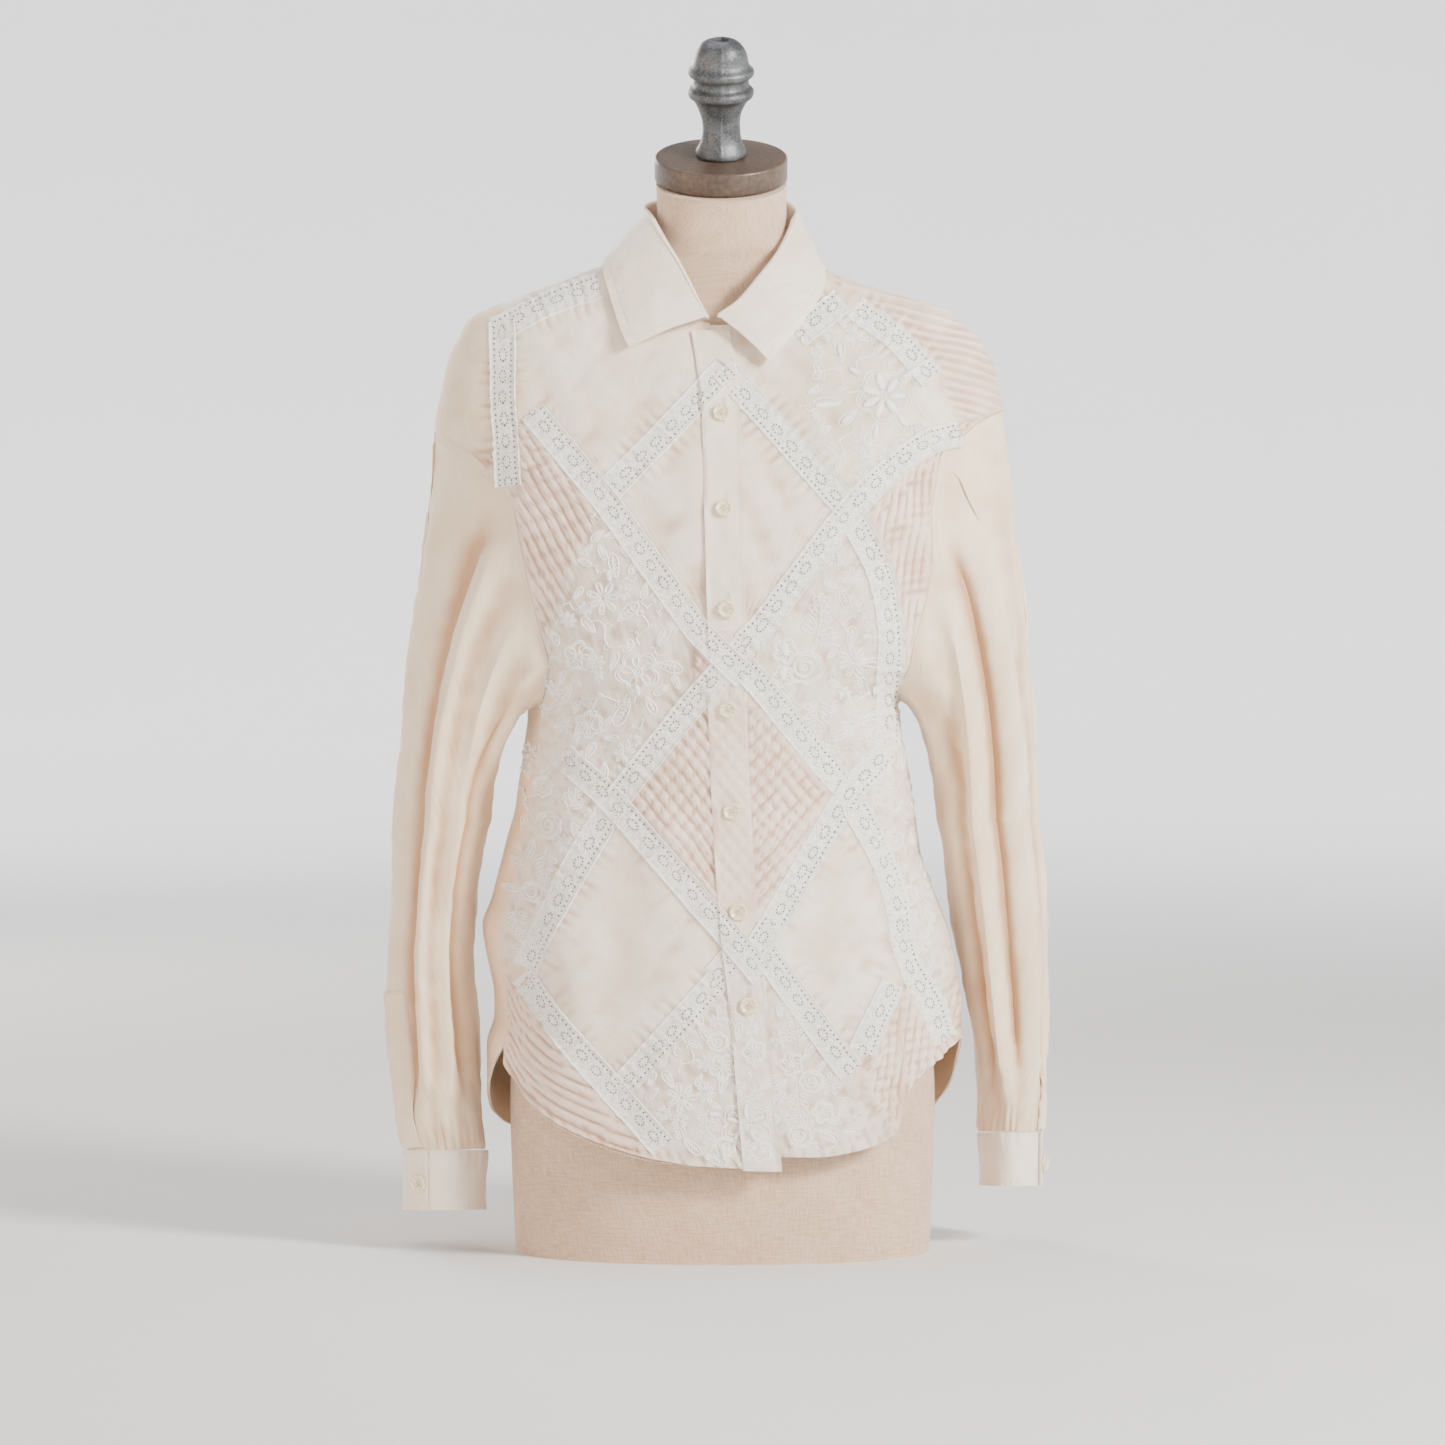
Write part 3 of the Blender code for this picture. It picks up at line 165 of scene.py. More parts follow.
# %% Lights
Light = namedtuple("Light", "name at target size watts colour")
LIGHTS = [
    Light("key_softbox", (2.5, -2.1, 2.0), (0, 0, 0.45), 0.8, 235, "#fffcf8"),
    Light("warm_fill", (-2.4, -1.3, 0.4), (0, 0, 0.4), 1.2, 24, "#ffd0a4"),
    Light("back_softbox", (-1.6, 2.8, 1.9), (0, 0, 0.45), 1.2, 60, "#fff6ec"),
    Light("top_softbox", (-0.3, 0.3, 2.9), (0, 0, 0.4), 1.8, 30, "#fbfbff"),
]
# Eight more stand in a ring and face outward, so that they light the paper wall and not the shirt.
WALL_WASHES = 8
for number in range(WALL_WASHES):
    a = math.radians(360 / WALL_WASHES * (number + 0.5))
    LIGHTS.append(Light(f"wall_wash_{number + 1}", (5 * math.cos(a), 5 * math.sin(a), 6.5),
                        (15 * math.cos(a), 15 * math.sin(a), 1.5), 3.0, 760, "#ffffff"))
for row in LIGHTS:
    lamp = bpy.data.lights.new(row.name, "AREA")
    lamp.size = row.size
    lamp.energy = row.watts
    lamp.color = linear(row.colour)[:3]
    holder = bpy.data.objects.new(row.name, lamp)
    holder.location = row.at
    holder.rotation_euler = (Vector(row.target) - Vector(row.at)).to_track_quat("-Z", "Y").to_euler()
    bpy.context.scene.collection.objects.link(holder)
world = bpy.data.worlds.new("studio_room")
world.use_nodes = True
world.node_tree.nodes["Background"].inputs["Color"].default_value = linear("#f0eeec")
world.node_tree.nodes["Background"].inputs["Strength"].default_value = 0.26
bpy.context.scene.world = world
print("lights:", len(LIGHTS))

# %% [markdown]
# ## Woven cotton
# Sateen has its threads too fine to see at this size, about 0.2 mm. What the eye gets is a soft sheen, a faint
# streak along the threads, and slow changes of tone from washing. So the weave is drawn with two stretched
# noises, one along each thread direction, in the cloth's own millimetres, that are coarser than the real thread.

# %% Cloth finishes
Cloth = namedtuple("Cloth", "name light deep shade roughness sheen bump translucent")
# The shade column is the warm tan painted into the hollows of folds and quilting as painted shade.
CLOTHS = [
    # satin weave with a soft shine
    Cloth("cotton_sateen_cream", "#faeddd", "#f0dbc4", "#cfa985", 0.5, 0.3, 0.18, 0.08),
    # the plain fine ground under the embroidery
    Cloth("cotton_voile_white", "#f3e6d9", "#e2d0be", "#c4a587", 0.75, 0.2, 0.3, 0.08),
    # sheer and crisp
    Cloth("organza_ivory", "#f0e1ce", "#e2ceb5", "#c7a986", 0.42, 0.4, 0.12, 0.1),
    # padded and stitched
    Cloth("quilted_cotton_blush", "#f8e1d1", "#e8c9b3", "#bd9274", 0.62, 0.25, 0.25, 0.08),
    # sleeves and back
    Cloth("cotton_lawn_ivory", "#f8e4c9", "#edcda8", "#c49265", 0.58, 0.25, 0.22, 0.1),
]
SLOW, ALONG, ACROSS = 1 / 70, 1 / 9, 1 / 0.9      # tone changes and threads, per millimetre


def cloth_finish(row):
    made, tree, shader = new_finish(row.name, {
        "Roughness": row.roughness, "Sheen Weight": row.sheen, "Sheen Roughness": 0.45,
        "Specular IOR Level": 0.35, "IOR": 1.53,
        "Subsurface Weight": row.translucent, "Subsurface Radius": (1.0, 0.55, 0.3), "Subsurface Scale": 0.004})
    place = add(tree, "ShaderNodeUVMap", uv_map="cloth")
    weave = woven(tree, place, ALONG, ACROSS)
    slow = add(tree, "ShaderNodeTexNoise", {"Vector": place, "Scale": SLOW, "Detail": 3.0, "Roughness": 0.6})
    mixed = add(tree, "ShaderNodeMath", {0: weave, 1: 0.22, 2: slow}, operation="MULTIPLY_ADD")
    tone = add(tree, "ShaderNodeMapRange", {0: mixed, 1: 0.5, 2: 0.95, 3: 0.0, 4: 1.0})
    colour = add(tree, "ShaderNodeMix", {0: tone, 6: linear(row.light), 7: linear(row.deep)}, data_type="RGBA")
    # Hollows of quilting and folds get painted shade: where the relief lies low, the colour is mixed towards the warm
    # tan shade colour, standing in for the shade that the cloth on both sides casts into them.
    hollow = add(tree, "ShaderNodeAttribute", attribute_name="hollow")
    painted_fold_shade = add(tree, "ShaderNodeMix", {0: hollow.outputs["Fac"], 6: colour.outputs[2], 7: linear(row.shade)},
               data_type="RGBA")
    crease = add(tree, "ShaderNodeTexNoise", {"Vector": place, "Scale": 1 / 14, "Detail": 4.0, "Roughness": 0.55})
    soft = add(tree, "ShaderNodeBump", {"Height": crease, "Strength": 0.5, "Distance": 0.002})
    fine = add(tree, "ShaderNodeBump", {"Height": weave, "Strength": row.bump, "Distance": 0.0004, "Normal": soft})
    surface(tree, shader, painted_fold_shade, fine)
    return made


finishes = {row.name: cloth_finish(row) for row in CLOTHS}
SATEEN, VOILE, ORGANZA, QUILTED, LAWN = [row.name for row in CLOTHS]
print("cloth finishes:", ", ".join(finishes))

# %% [markdown]
# ## Openwork insertion
# The strips are narrow cotton lace. Along one edge runs a ladder of drawn-thread holes, and down the middle a
# chain of oval rings made of tiny holes, with a fine net between. They are drawn from the strip's own
# millimetres: U runs along it and V across, with V 0 in the middle.

# %% Insertion finish
LADDER_STEP, LADDER_AT, RING_STEP, RING_LONG, RING_WIDE = 4.3, 6.6, 17.0, 4.8, 2.8
insertion, tree, shader = new_finish("cotton_lace_insertion", {
    "Roughness": 0.75, "Sheen Weight": 0.3, "Sheen Roughness": 0.5, "Specular IOR Level": 0.3,
    "Subsurface Weight": 0.08, "Subsurface Radius": (1.0, 0.6, 0.4), "Subsurface Scale": 0.003})
place = add(tree, "ShaderNodeSeparateXYZ", {0: add(tree, "ShaderNodeUVMap", uv_map="cloth")})
along, across = place.outputs[0], place.outputs[1]
# The ladder: round holes where both the step along and the distance across are near.
step_along = add(tree, "ShaderNodeMath", {0: along, 1: LADDER_STEP / 2}, operation="PINGPONG")
step_near = add(tree, "ShaderNodeMath", {0: step_along, 1: 1 / 0.85}, operation="MULTIPLY")
off_ladder = add(tree, "ShaderNodeMath", {0: across, 1: LADDER_AT}, operation="SUBTRACT")
off_near = add(tree, "ShaderNodeMath", {0: off_ladder, 1: 1 / 0.8}, operation="MULTIPLY")
hole_x = add(tree, "ShaderNodeMath", {0: step_near, 1: 2.0}, operation="POWER")
hole_y = add(tree, "ShaderNodeMath", {0: off_near, 1: off_near}, operation="MULTIPLY")
hole_far = add(tree, "ShaderNodeMath", {0: hole_x, 1: hole_y}, operation="ADD")
ladder = add(tree, "ShaderNodeMapRange", {0: hole_far, 1: 1.25, 2: 0.6, 3: 0.0, 4: 1.0})
# The rings: a dotted line where the distance from a ring's middle is one.
ring_along = add(tree, "ShaderNodeMath", {0: along, 1: RING_STEP}, operation="FLOORED_MODULO")
ring_centred = add(tree, "ShaderNodeMath", {0: ring_along, 1: RING_STEP / 2}, operation="SUBTRACT")
ring_x = add(tree, "ShaderNodeMath", {0: ring_centred, 1: 1 / RING_LONG}, operation="MULTIPLY")
ring_y = add(tree, "ShaderNodeMath", {0: across, 1: 1 / RING_WIDE}, operation="MULTIPLY")
ring_xx = add(tree, "ShaderNodeMath", {0: ring_x, 1: ring_x}, operation="MULTIPLY")
ring_far = add(tree, "ShaderNodeMath", {0: ring_y, 1: ring_y, 2: ring_xx}, operation="MULTIPLY_ADD")
ring_off = add(tree, "ShaderNodeMath", {0: ring_far, 1: 1.0, 2: 0.36}, operation="COMPARE")
ring_turn = add(tree, "ShaderNodeMath", {0: ring_y, 1: ring_x}, operation="ARCTAN2")
ring_beat = add(tree, "ShaderNodeMath", {0: ring_turn, 1: 10.0}, operation="MULTIPLY")
ring_dots = add(tree, "ShaderNodeMath", {0: ring_beat}, operation="SINE")
dot_on = add(tree, "ShaderNodeMath", {0: ring_dots, 1: -0.1}, operation="GREATER_THAN")
rings = add(tree, "ShaderNodeMath", {0: ring_off, 1: dot_on}, operation="MULTIPLY")
# The net between: small cells, some of them open.
cells = add(tree, "ShaderNodeTexVoronoi", {"Vector": add(tree, "ShaderNodeUVMap", uv_map="cloth"), "Scale": 0.75})
net = add(tree, "ShaderNodeMapRange", {0: cells.outputs["Distance"], 1: 0.3, 2: 0.12, 3: 0.0, 4: 0.7})
inside_net = add(tree, "ShaderNodeMath", {0: across}, operation="ABSOLUTE")
net_on = add(tree, "ShaderNodeMath", {0: inside_net, 1: 8.8}, operation="LESS_THAN")
net_holes = add(tree, "ShaderNodeMath", {0: net, 1: net_on}, operation="MULTIPLY")
open_work = add(tree, "ShaderNodeMath", {0: ladder, 1: rings}, operation="MAXIMUM")
holes = add(tree, "ShaderNodeMath", {0: open_work, 1: net_holes}, operation="MAXIMUM")
threads = add(tree, "ShaderNodeMix", {0: cells.outputs["Distance"], 6: linear("#e9e1d6"), 7: linear("#fbf6ee")},
              data_type="RGBA")
# The holes are painted dark grey: painted shade of the dark space seen through them.
lace_with_shaded_holes = add(tree, "ShaderNodeMix", {0: holes, 6: threads.outputs[2], 7: linear("#6f6861")}, data_type="RGBA")
solid = add(tree, "ShaderNodeMath", {0: cells.outputs["Distance"], 1: 0.5, 2: 0.5}, operation="MULTIPLY_ADD")
relief = add(tree, "ShaderNodeMath", {0: solid, 1: holes}, operation="SUBTRACT")
lace_bump = add(tree, "ShaderNodeBump", {"Height": relief, "Strength": 0.7, "Distance": 0.0007})
surface(tree, shader, lace_with_shaded_holes, lace_bump)
finishes["insertion"] = insertion
print("lace nodes:", len(tree.nodes))

# %% [markdown]
# ## Threads
# The embroidery is rayon floss, which is glossier and whiter than the cotton under it. Sewing thread is matt
# polyester in the shirt's own cream. Both get a fine twist as bump.

# %% Thread finishes
Yarn = namedtuple("Yarn", "name colour deep roughness sheen")
YARNS = [
    Yarn("rayon_embroidery_floss", "#fffcf7", "#f6efe6", 0.38, 0.3),
    Yarn("soutache_braid_white", "#fdfaf5", "#f0e8de", 0.5, 0.3),
    Yarn("polyester_sewing_thread", "#efe3d2", "#dccab2", 0.55, 0.2),
]


def yarn_finish(row):
    made, tree, shader = new_finish(row.name, {
        "Roughness": row.roughness, "Sheen Weight": row.sheen, "Specular IOR Level": 0.45, "IOR": 1.52})
    place = add(tree, "ShaderNodeTexCoord")
    twist = add(tree, "ShaderNodeTexNoise", {"Vector": place.outputs["Object"], "Scale": 900.0, "Detail": 1.0})
    colour = add(tree, "ShaderNodeMix", {0: twist, 6: linear(row.colour), 7: linear(row.deep)}, data_type="RGBA")
    bump = add(tree, "ShaderNodeBump", {"Height": twist, "Strength": 0.4, "Distance": 0.0003})
    surface(tree, shader, colour, bump)
    return made


finishes.update({row.name: yarn_finish(row) for row in YARNS})
FLOSS, BRAID, THREAD = [row.name for row in YARNS]

# %% [markdown]
# ## The shirt's curves
# The part's source holds the shirt as rings of a rounded oval, given in a short table of heights. The same
# tables are repeated here, in millimetres, with the same smooth reading between the rows, so that the fine
# cloth lies on the solids. Around the body, 0 degrees is the centre front, 90 the side, 180 the centre back.

# %% Tables of the body
ROUNDNESS = 2.0 / 2.3
Section = namedtuple("Section", "z right left front back")
BODY = [
    Section(60, 186, 190, 130, 127), Section(167, 188, 191, 132, 128), Section(187, 184, 191, 132, 127),
    Section(222, 187, 187, 131, 125), Section(259, 191, 178, 130, 122), Section(280, 186, 171, 129, 119),
    Section(311, 177, 160, 127, 115), Section(341, 169, 155, 125, 111), Section(373, 163, 149, 123, 108),
    Section(412, 157, 142, 124, 106), Section(438, 155, 139, 128, 105), Section(472, 175, 166, 133, 106),
    Section(552, 205, 200, 138, 109), Section(622, 222, 218, 122, 112), Section(660, 229, 224, 107, 112),
    Section(688, 224, 222, 95, 110), Section(711, 219, 215, 83, 104), Section(731, 210, 201, 74, 95),
    Section(743, 203, 187, 69, 88), Section(750, 192, 178, 64, 83), Section(762, 162, 146, 59, 76),
    Section(768, 146, 122, 58, 73), Section(774, 129, 104, 57, 70), Section(785, 98, 78, 56, 67),
    Section(790, 86, 70, 55, 66), Section(804, 62, 58, 50, 62),
]
Edge = namedtuple("Edge", "z angle")
SIDE_SEAM = {RIGHT: 66.0, LEFT: 90.0}
UNDERARM = 438.0
SHOULDER_TIP = {RIGHT: 660.0, LEFT: 672.0}
ARMHOLE_FRONT = {
    RIGHT: [Edge(438, 66), Edge(455, 56), Edge(473, 48), Edge(536, 47), Edge(590, 46.5), Edge(613, 50),
            Edge(631, 57), Edge(645, 68), Edge(655, 80), Edge(660, 90)],
    LEFT: [Edge(438, 90), Edge(454, 68), Edge(487, 58), Edge(544, 54), Edge(596, 48), Edge(634, 48),
           Edge(648, 55), Edge(660, 62), Edge(668, 74), Edge(672, 90)],
}
ARMHOLE_BACK = {
    RIGHT: [Edge(438, 66), Edge(452, 96), Edge(490, 122), Edge(560, 128), Edge(620, 122), Edge(648, 106),
            Edge(660, 90)],
    LEFT: [Edge(438, 90), Edge(452, 106), Edge(490, 122), Edge(560, 128), Edge(630, 122), Edge(660, 106),
           Edge(672, 90)],
}
Level = namedtuple("Level", "angle z")
NECKLINE = [Level(0, 737), Level(8, 745), Level(21, 765), Level(41, 780), Level(90, 788), Level(135, 797),
            Level(180, 801)]
Hem = namedtuple("Hem", "x z")
FRONT_HEM = {
    RIGHT: [Hem(-60, 76), Hem(6, 78), Hem(46, 81), Hem(80, 88), Hem(109, 98), Hem(133, 110), Hem(156, 128),
            Hem(170, 150), Hem(188, 168)],
    LEFT: [Hem(0, 88), Hem(61, 87), Hem(93, 91), Hem(115, 96), Hem(130, 105), Hem(138, 132), Hem(150, 146),
           Hem(170, 160), Hem(191, 172)],
}
BACK_HEM_CENTRE, BACK_HEM_POWER = 77.0, 3.2
Line = namedtuple("Line", "z x")
BUTTON_LINE = [Line(79, 31), Line(206, 20), Line(279, 12), Line(357, 7), Line(437, 4), Line(515, 3),
               Line(592, 1), Line(666, -1), Line(737, -10)]
Fold = namedtuple("Fold", "x top foot width rise")
FRONT_FOLDS = [
    Fold(-118, 470, 190, 26, 4.0), Fold(-78, 400, 100, 24, -3.0), Fold(-150, 330, 150, 18, -3.5),
    Fold(70, 420, 110, 26, -3.0), Fold(118, 440, 150, 22, 3.5), Fold(-60, 700, 560, 26, -2.0),
    Fold(150, 330, 190, 16, -3.0), Fold(64, 705, 600, 24, -2.0),
]
BACK_FOLDS = [
    Fold(-120, 470, 110, 26, 4.5), Fold(-72, 560, 90, 24, -5.0), Fold(-22, 640, 80, 26, 4.0),
    Fold(32, 600, 80, 24, -5.0), Fold(84, 520, 95, 26, 4.5), Fold(132, 420, 120, 24, -4.0),
]
SKIRT_ROWS, ARMHOLE_ROWS, SHOULDER_ROWS = 16, 12, 18
FRONT_ROWS = SKIRT_ROWS + ARMHOLE_ROWS + SHOULDER_ROWS
print("sections:", len(BODY), "from", BODY[0].z, "to", BODY[-1].z, "mm high")

# %% Reading the curves, for whole arrays of points at once
def hermite(s, start, stop, leave, arrive):
    """A cubic between two values, at shares s of the way, with the slopes it leaves and arrives with."""
    return ((2 * s**3 - 3 * s**2 + 1) * start + (s**3 - 2 * s**2 + s) * leave
            + (3 * s**2 - 2 * s**3) * stop + (s**3 - s**2) * arrive)


def smooth(table, key, column, value):
    """Read a column of a table on a cubic that never overshoots its rows."""
    xs = np.array([getattr(row, key) for row in table], float)
    ys = np.array([getattr(row, column) for row in table], float)
    value = np.clip(value, xs[0], xs[-1])
    k = np.clip(np.searchsorted(xs, value, side="right") - 1, 0, len(xs) - 2)
    spans, slopes = np.diff(xs), np.diff(ys) / np.diff(xs)
    product, total = slopes[:-1] * slopes[1:], slopes[:-1] + slopes[1:]
    inner = np.where(product > 0, 2 * product / np.where(product > 0, total, 1.0), 0.0)
    tangents = np.concatenate((slopes[:1], inner, slopes[-1:]))
    s = (value - xs[k]) / spans[k]
    return hermite(s, ys[k], ys[k + 1], spans[k] * tangents[k], spans[k] * tangents[k + 1])


def ease(s):
    s = np.clip(s, 0.0, 1.0)
    return s * s * (3 - 2 * s)


def unit(vectors):
    return vectors / np.maximum(np.linalg.norm(vectors, axis=-1, keepdims=True), 1e-9)


def half_width(side, z):
    return np.where(np.asarray(side) < 0, smooth(BODY, "z", "right", z), smooth(BODY, "z", "left", z))


def ring_point(side, angle, z):
    a = np.radians(angle)
    depth = np.where(angle < 90, smooth(BODY, "z", "front", z), smooth(BODY, "z", "back", z))
    x = side * half_width(side, z) * np.sign(np.sin(a)) * np.abs(np.sin(a)) ** ROUNDNESS
    y = -depth * np.sign(np.cos(a)) * np.abs(np.cos(a)) ** ROUNDNESS
    return np.stack(np.broadcast_arrays(x, y, np.asarray(z, float)), axis=-1)


def body_normal(side, angle, z):
    round_ = ring_point(side, angle + 0.6, z) - ring_point(side, angle - 0.6, z)
    up = ring_point(side, angle, z + 1.0) - ring_point(side, angle, z - 1.0)
    return unit(np.cross(round_, up)) * np.asarray(side)[..., None]


def fold_height(folds, x, z):
    total = np.zeros(np.broadcast(x, z).shape)
    for fold in folds:
        fade = ease((fold.top - z) / 90.0) * ease((z - fold.foot) / 60.0 + 0.6)
        total = total + fold.rise * fade * np.exp(-((x - fold.x) / fold.width) ** 2)
    return total


def body_point(side, angle, z, lift=0.0):
    base = ring_point(side, angle, z)
    rise = np.where(angle < 90, fold_height(FRONT_FOLDS, base[..., 0], z), fold_height(BACK_FOLDS, base[..., 0], z))
    rise = rise * ease(np.abs(angle - 90) / 25.0)
    return base + body_normal(side, angle, z) * (rise + lift)[..., None]


def angle_at(side, x, z):
    share = np.minimum(np.abs(x) / half_width(side, z), 1.0) ** (1 / ROUNDNESS)
    return np.degrees(np.arcsin(share)) * np.where(x * side >= 0, 1, -1)


def front_point(x, z, lift=0.0):
    """The shirt's front straight over (x, z) of the front view, moved out by lift."""
    x, z, lift = np.broadcast_arrays(np.asarray(x, float), np.asarray(z, float), np.asarray(lift, float))
    side = np.where(x < 0, RIGHT, LEFT)
    return body_point(side, angle_at(side, x, z), z, lift)


def front_out(x, z):
    side = np.where(np.asarray(x) < 0, RIGHT, LEFT)
    return body_normal(side, angle_at(side, x, z), z)


print("middle of the chest:", front_point(0.0, 560.0).round(1))

# %% [markdown]
# ## Where the insertion runs
# Nineteen strips divide the two fronts into a diamond lattice. Their paths are points in the front view, and
# a smooth curve runs through them. The patches between are polygons in the same view. Each has a finish and a
# kind of relief, and the insertion covers the seams between them.

# %% Tables of the patchwork
LACE_HALF = 8.0
Strip = namedtuple("Strip", "side points trim_start trim_end")
LACE = [
    Strip(RIGHT, [(-179, 733), (-132, 757), (-97, 768)], 0, 0),
    Strip(RIGHT, [(-174, 740), (-172, 670), (-167, 610)], 0, 0),
    Strip(RIGHT, [(-152, 672), (-94, 602), (-50, 541), (-20, 499)], 4, 0),
    Strip(RIGHT, [(-94, 602), (-52, 645), (-24, 674)], 6, 0),
    Strip(RIGHT, [(-22, 443), (-52, 405), (-85, 363)], 0, 5),
    Strip(RIGHT, [(-124, 400), (-85, 363), (-34, 305), (-13, 280)], 0, 0),
    Strip(RIGHT, [(-85, 363), (-122, 296), (-157, 231)], 5, 0),
    Strip(RIGHT, [(-160, 226), (-96, 150), (-46, 95)], 0, 0),
    Strip(RIGHT, [(-4, 226), (-38, 188), (-84, 137)], 0, 5),
    Strip(LEFT, [(58, 728), (94, 757)], 0, 0),
    Strip(LEFT, [(104, 752), (136, 727), (164, 694)], 0, 0),
    Strip(LEFT, [(26, 673), (60, 635), (98, 592)], 0, 5),
    Strip(LEFT, [(30, 501), (98, 590), (140, 630), (166, 648)], 0, 0),
    Strip(LEFT, [(98, 590), (123, 539), (131, 480), (129, 405)], 8, 0),
    Strip(LEFT, [(28, 457), (60, 417), (98, 371)], 0, 5),
    Strip(LEFT, [(126, 401), (98, 369), (64, 312), (40, 272)], 0, 0),
    Strip(LEFT, [(98, 369), (129, 305), (145, 242), (166, 200), (176, 172)], 10, 0),
    Strip(LEFT, [(44, 231), (72, 192), (100, 153)], 0, 0),
    Strip(LEFT, [(138, 233), (119, 195), (106, 165)], 12, 3),
]
Patch = namedtuple("Patch", "side finish relief corners")
PATCHES = [
    Patch(RIGHT, SATEEN, "plain", [(-176, 760), (-97, 800), (0, 800), (0, 499), (-20, 499), (-94, 602), (-152, 672)]),
    Patch(RIGHT, QUILTED, "crossed", [(-176, 672), (-152, 672), (-96, 596), (-142, 462), (-152, 448), (-200, 520)]),
    Patch(RIGHT, VOILE, "crinkled", [(-96, 596), (-20, 499), (-20, 443), (-85, 363), (-124, 400), (-165, 440)]),
    Patch(RIGHT, QUILTED, "basket", [(0, 499), (-20, 499), (-22, 443), (-85, 363), (-13, 280), (0, 280)]),
    Patch(RIGHT, VOILE, "crinkled", [(-124, 400), (-85, 363), (-157, 231), (-200, 231), (-165, 440)]),
    Patch(RIGHT, SATEEN, "plain", [(-85, 363), (0, 270), (-4, 226), (-84, 137), (-154, 218), (-157, 231)]),
    Patch(RIGHT, QUILTED, "cords", [(-157, 231), (-154, 218), (-50, 100), (-44, 60), (-200, 60), (-200, 231)]),
    Patch(RIGHT, VOILE, "crinkled", [(40, 250), (-4, 226), (-84, 137), (-50, 100), (-44, 60), (60, 60)]),
    Patch(LEFT, SATEEN, "plain", [(-20, 800), (58, 728), (26, 673), (98, 592), (30, 501), (-20, 501)]),
    Patch(LEFT, ORGANZA, "plain", [(26, 673), (58, 728), (94, 757), (104, 752), (164, 694), (190, 660), (98, 590)]),
    Patch(LEFT, QUILTED, "tucks", [(94, 800), (94, 757), (104, 752), (164, 694), (190, 660), (235, 650), (235, 770)]),
    Patch(LEFT, QUILTED, "waffle", [(98, 590), (190, 662), (200, 560), (150, 440), (131, 480)]),
    Patch(LEFT, VOILE, "crinkled", [(30, 501), (98, 590), (131, 480), (150, 440), (126, 401), (98, 371), (28, 457)]),
    Patch(LEFT, QUILTED, "basket", [(-6, 501), (28, 501), (28, 457), (98, 371), (40, 272), (-6, 272)]),
    Patch(LEFT, VOILE, "crinkled", [(126, 401), (98, 369), (145, 242), (166, 200), (200, 230), (150, 440)]),
    Patch(LEFT, SATEEN, "plain", [(98, 369), (20, 272), (20, 231), (44, 231), (103, 153), (145, 242)]),
    Patch(LEFT, QUILTED, "waffle", [(145, 242), (103, 153), (134, 100), (200, 160), (200, 230), (166, 200)]),
    Patch(LEFT, VOILE, "crinkled", [(0, 231), (44, 231), (103, 153), (134, 100), (134, 60), (0, 60)]),
]
print("strips:", len(LACE), "patches:", len(PATCHES))

# %% Distances, masks and paths in the front view
def runs(points):
    """How far along a path each of its points is."""
    steps = np.linalg.norm(np.diff(np.asarray(points, float), axis=0), axis=1)
    return np.concatenate(([0.0], np.cumsum(steps)))


def read_at(goal, along, path):
    """A path's points read at distances along it."""
    return np.stack([np.interp(goal, along, column) for column in path.T], axis=-1)


def path_at(points, share):
    """Points and directions at shares of a path's length, on a smooth curve through its points."""
    p, ends = np.array(points, float), runs(points)
    goal = np.clip(share, 0, 1) * ends[-1]
    k = np.clip(np.searchsorted(ends, goal, side="right") - 1, 0, len(p) - 2)
    s = ((goal - ends[k]) / np.diff(ends)[k])[:, None]
    padded = np.concatenate(([2 * p[0] - p[1]], p, [2 * p[-1] - p[-2]]))
    before, start, stop, after = padded[k], padded[k + 1], padded[k + 2], padded[k + 3]
    m0, m1 = (stop - before) / 2, (after - start) / 2
    at = hermite(s, start, stop, m0, m1)
    way = ((6 * s**2 - 6 * s) * start + (3 * s**2 - 4 * s + 1) * m0
           + (6 * s - 6 * s**2) * stop + (3 * s**2 - 2 * s) * m1)
    return at, unit(way)


def inside(corners, x, z):
    hit = np.zeros(x.shape, bool)
    for (x0, z0), (x1, z1) in zip(corners, corners[1:] + corners[:1]):
        if z0 == z1:
            continue
        crosses = ((z0 > z) != (z1 > z)) & (x < x0 + (z - z0) / (z1 - z0) * (x1 - x0))
        hit ^= crosses
    return hit


def near_strips(x, z):
    """Distance from the middle of the nearest strip, and how far along it that is."""
    best, along = np.full(x.shape, 1e3), np.zeros(x.shape)
    for strip in LACE:
        run = 0.0
        for (x0, z0), (x1, z1) in zip(strip.points, strip.points[1:]):
            dx, dz = x1 - x0, z1 - z0
            length = math.hypot(dx, dz)
            s = np.clip(((x - x0) * dx + (z - z0) * dz) / length**2, 0, 1)
            far = np.hypot(x - x0 - s * dx, z - z0 - s * dz)
            closer = far < best
            best, along = np.where(closer, far, best), np.where(closer, run + s * length, along)
            run += length
    return best, along


def front_hem(side, x):
    return np.where(np.asarray(side) < 0, smooth(FRONT_HEM[RIGHT], "x", "z", -x), smooth(FRONT_HEM[LEFT], "x", "z", x))


# %% [markdown]
# ## Relief of the patches
# Quilting is two layers with stitched lines that pull down and wadding that puffs up between. Pin-tucks are
# thin sewn folds, and cords are cables run under the cloth. A seam gathers the cloth beside it a little, which
# shows as small ripples that die out over 20 mm, and every cloth has slow waves. All of it is added in mm.

# %% Relief in millimetres over the smooth front
QUILT_DEPTH, PUCKER, HEM_WIDTH = 2.4, 0.85, 7.0


def waves(x, z, wavelength, seed):
    """Slow uneven waves from five crossed sines."""
    total = np.zeros(np.broadcast(x, z).shape)
    for n in range(5):
        turn, phase = seed * 1.7 + n * 2.4, seed * 3.1 + n * 1.9
        step = 2 * math.pi / (wavelength * (0.75 + 0.17 * n))
        total = total + np.sin((x * math.cos(turn) + z * math.sin(turn)) * step + phase)
    return total / 3


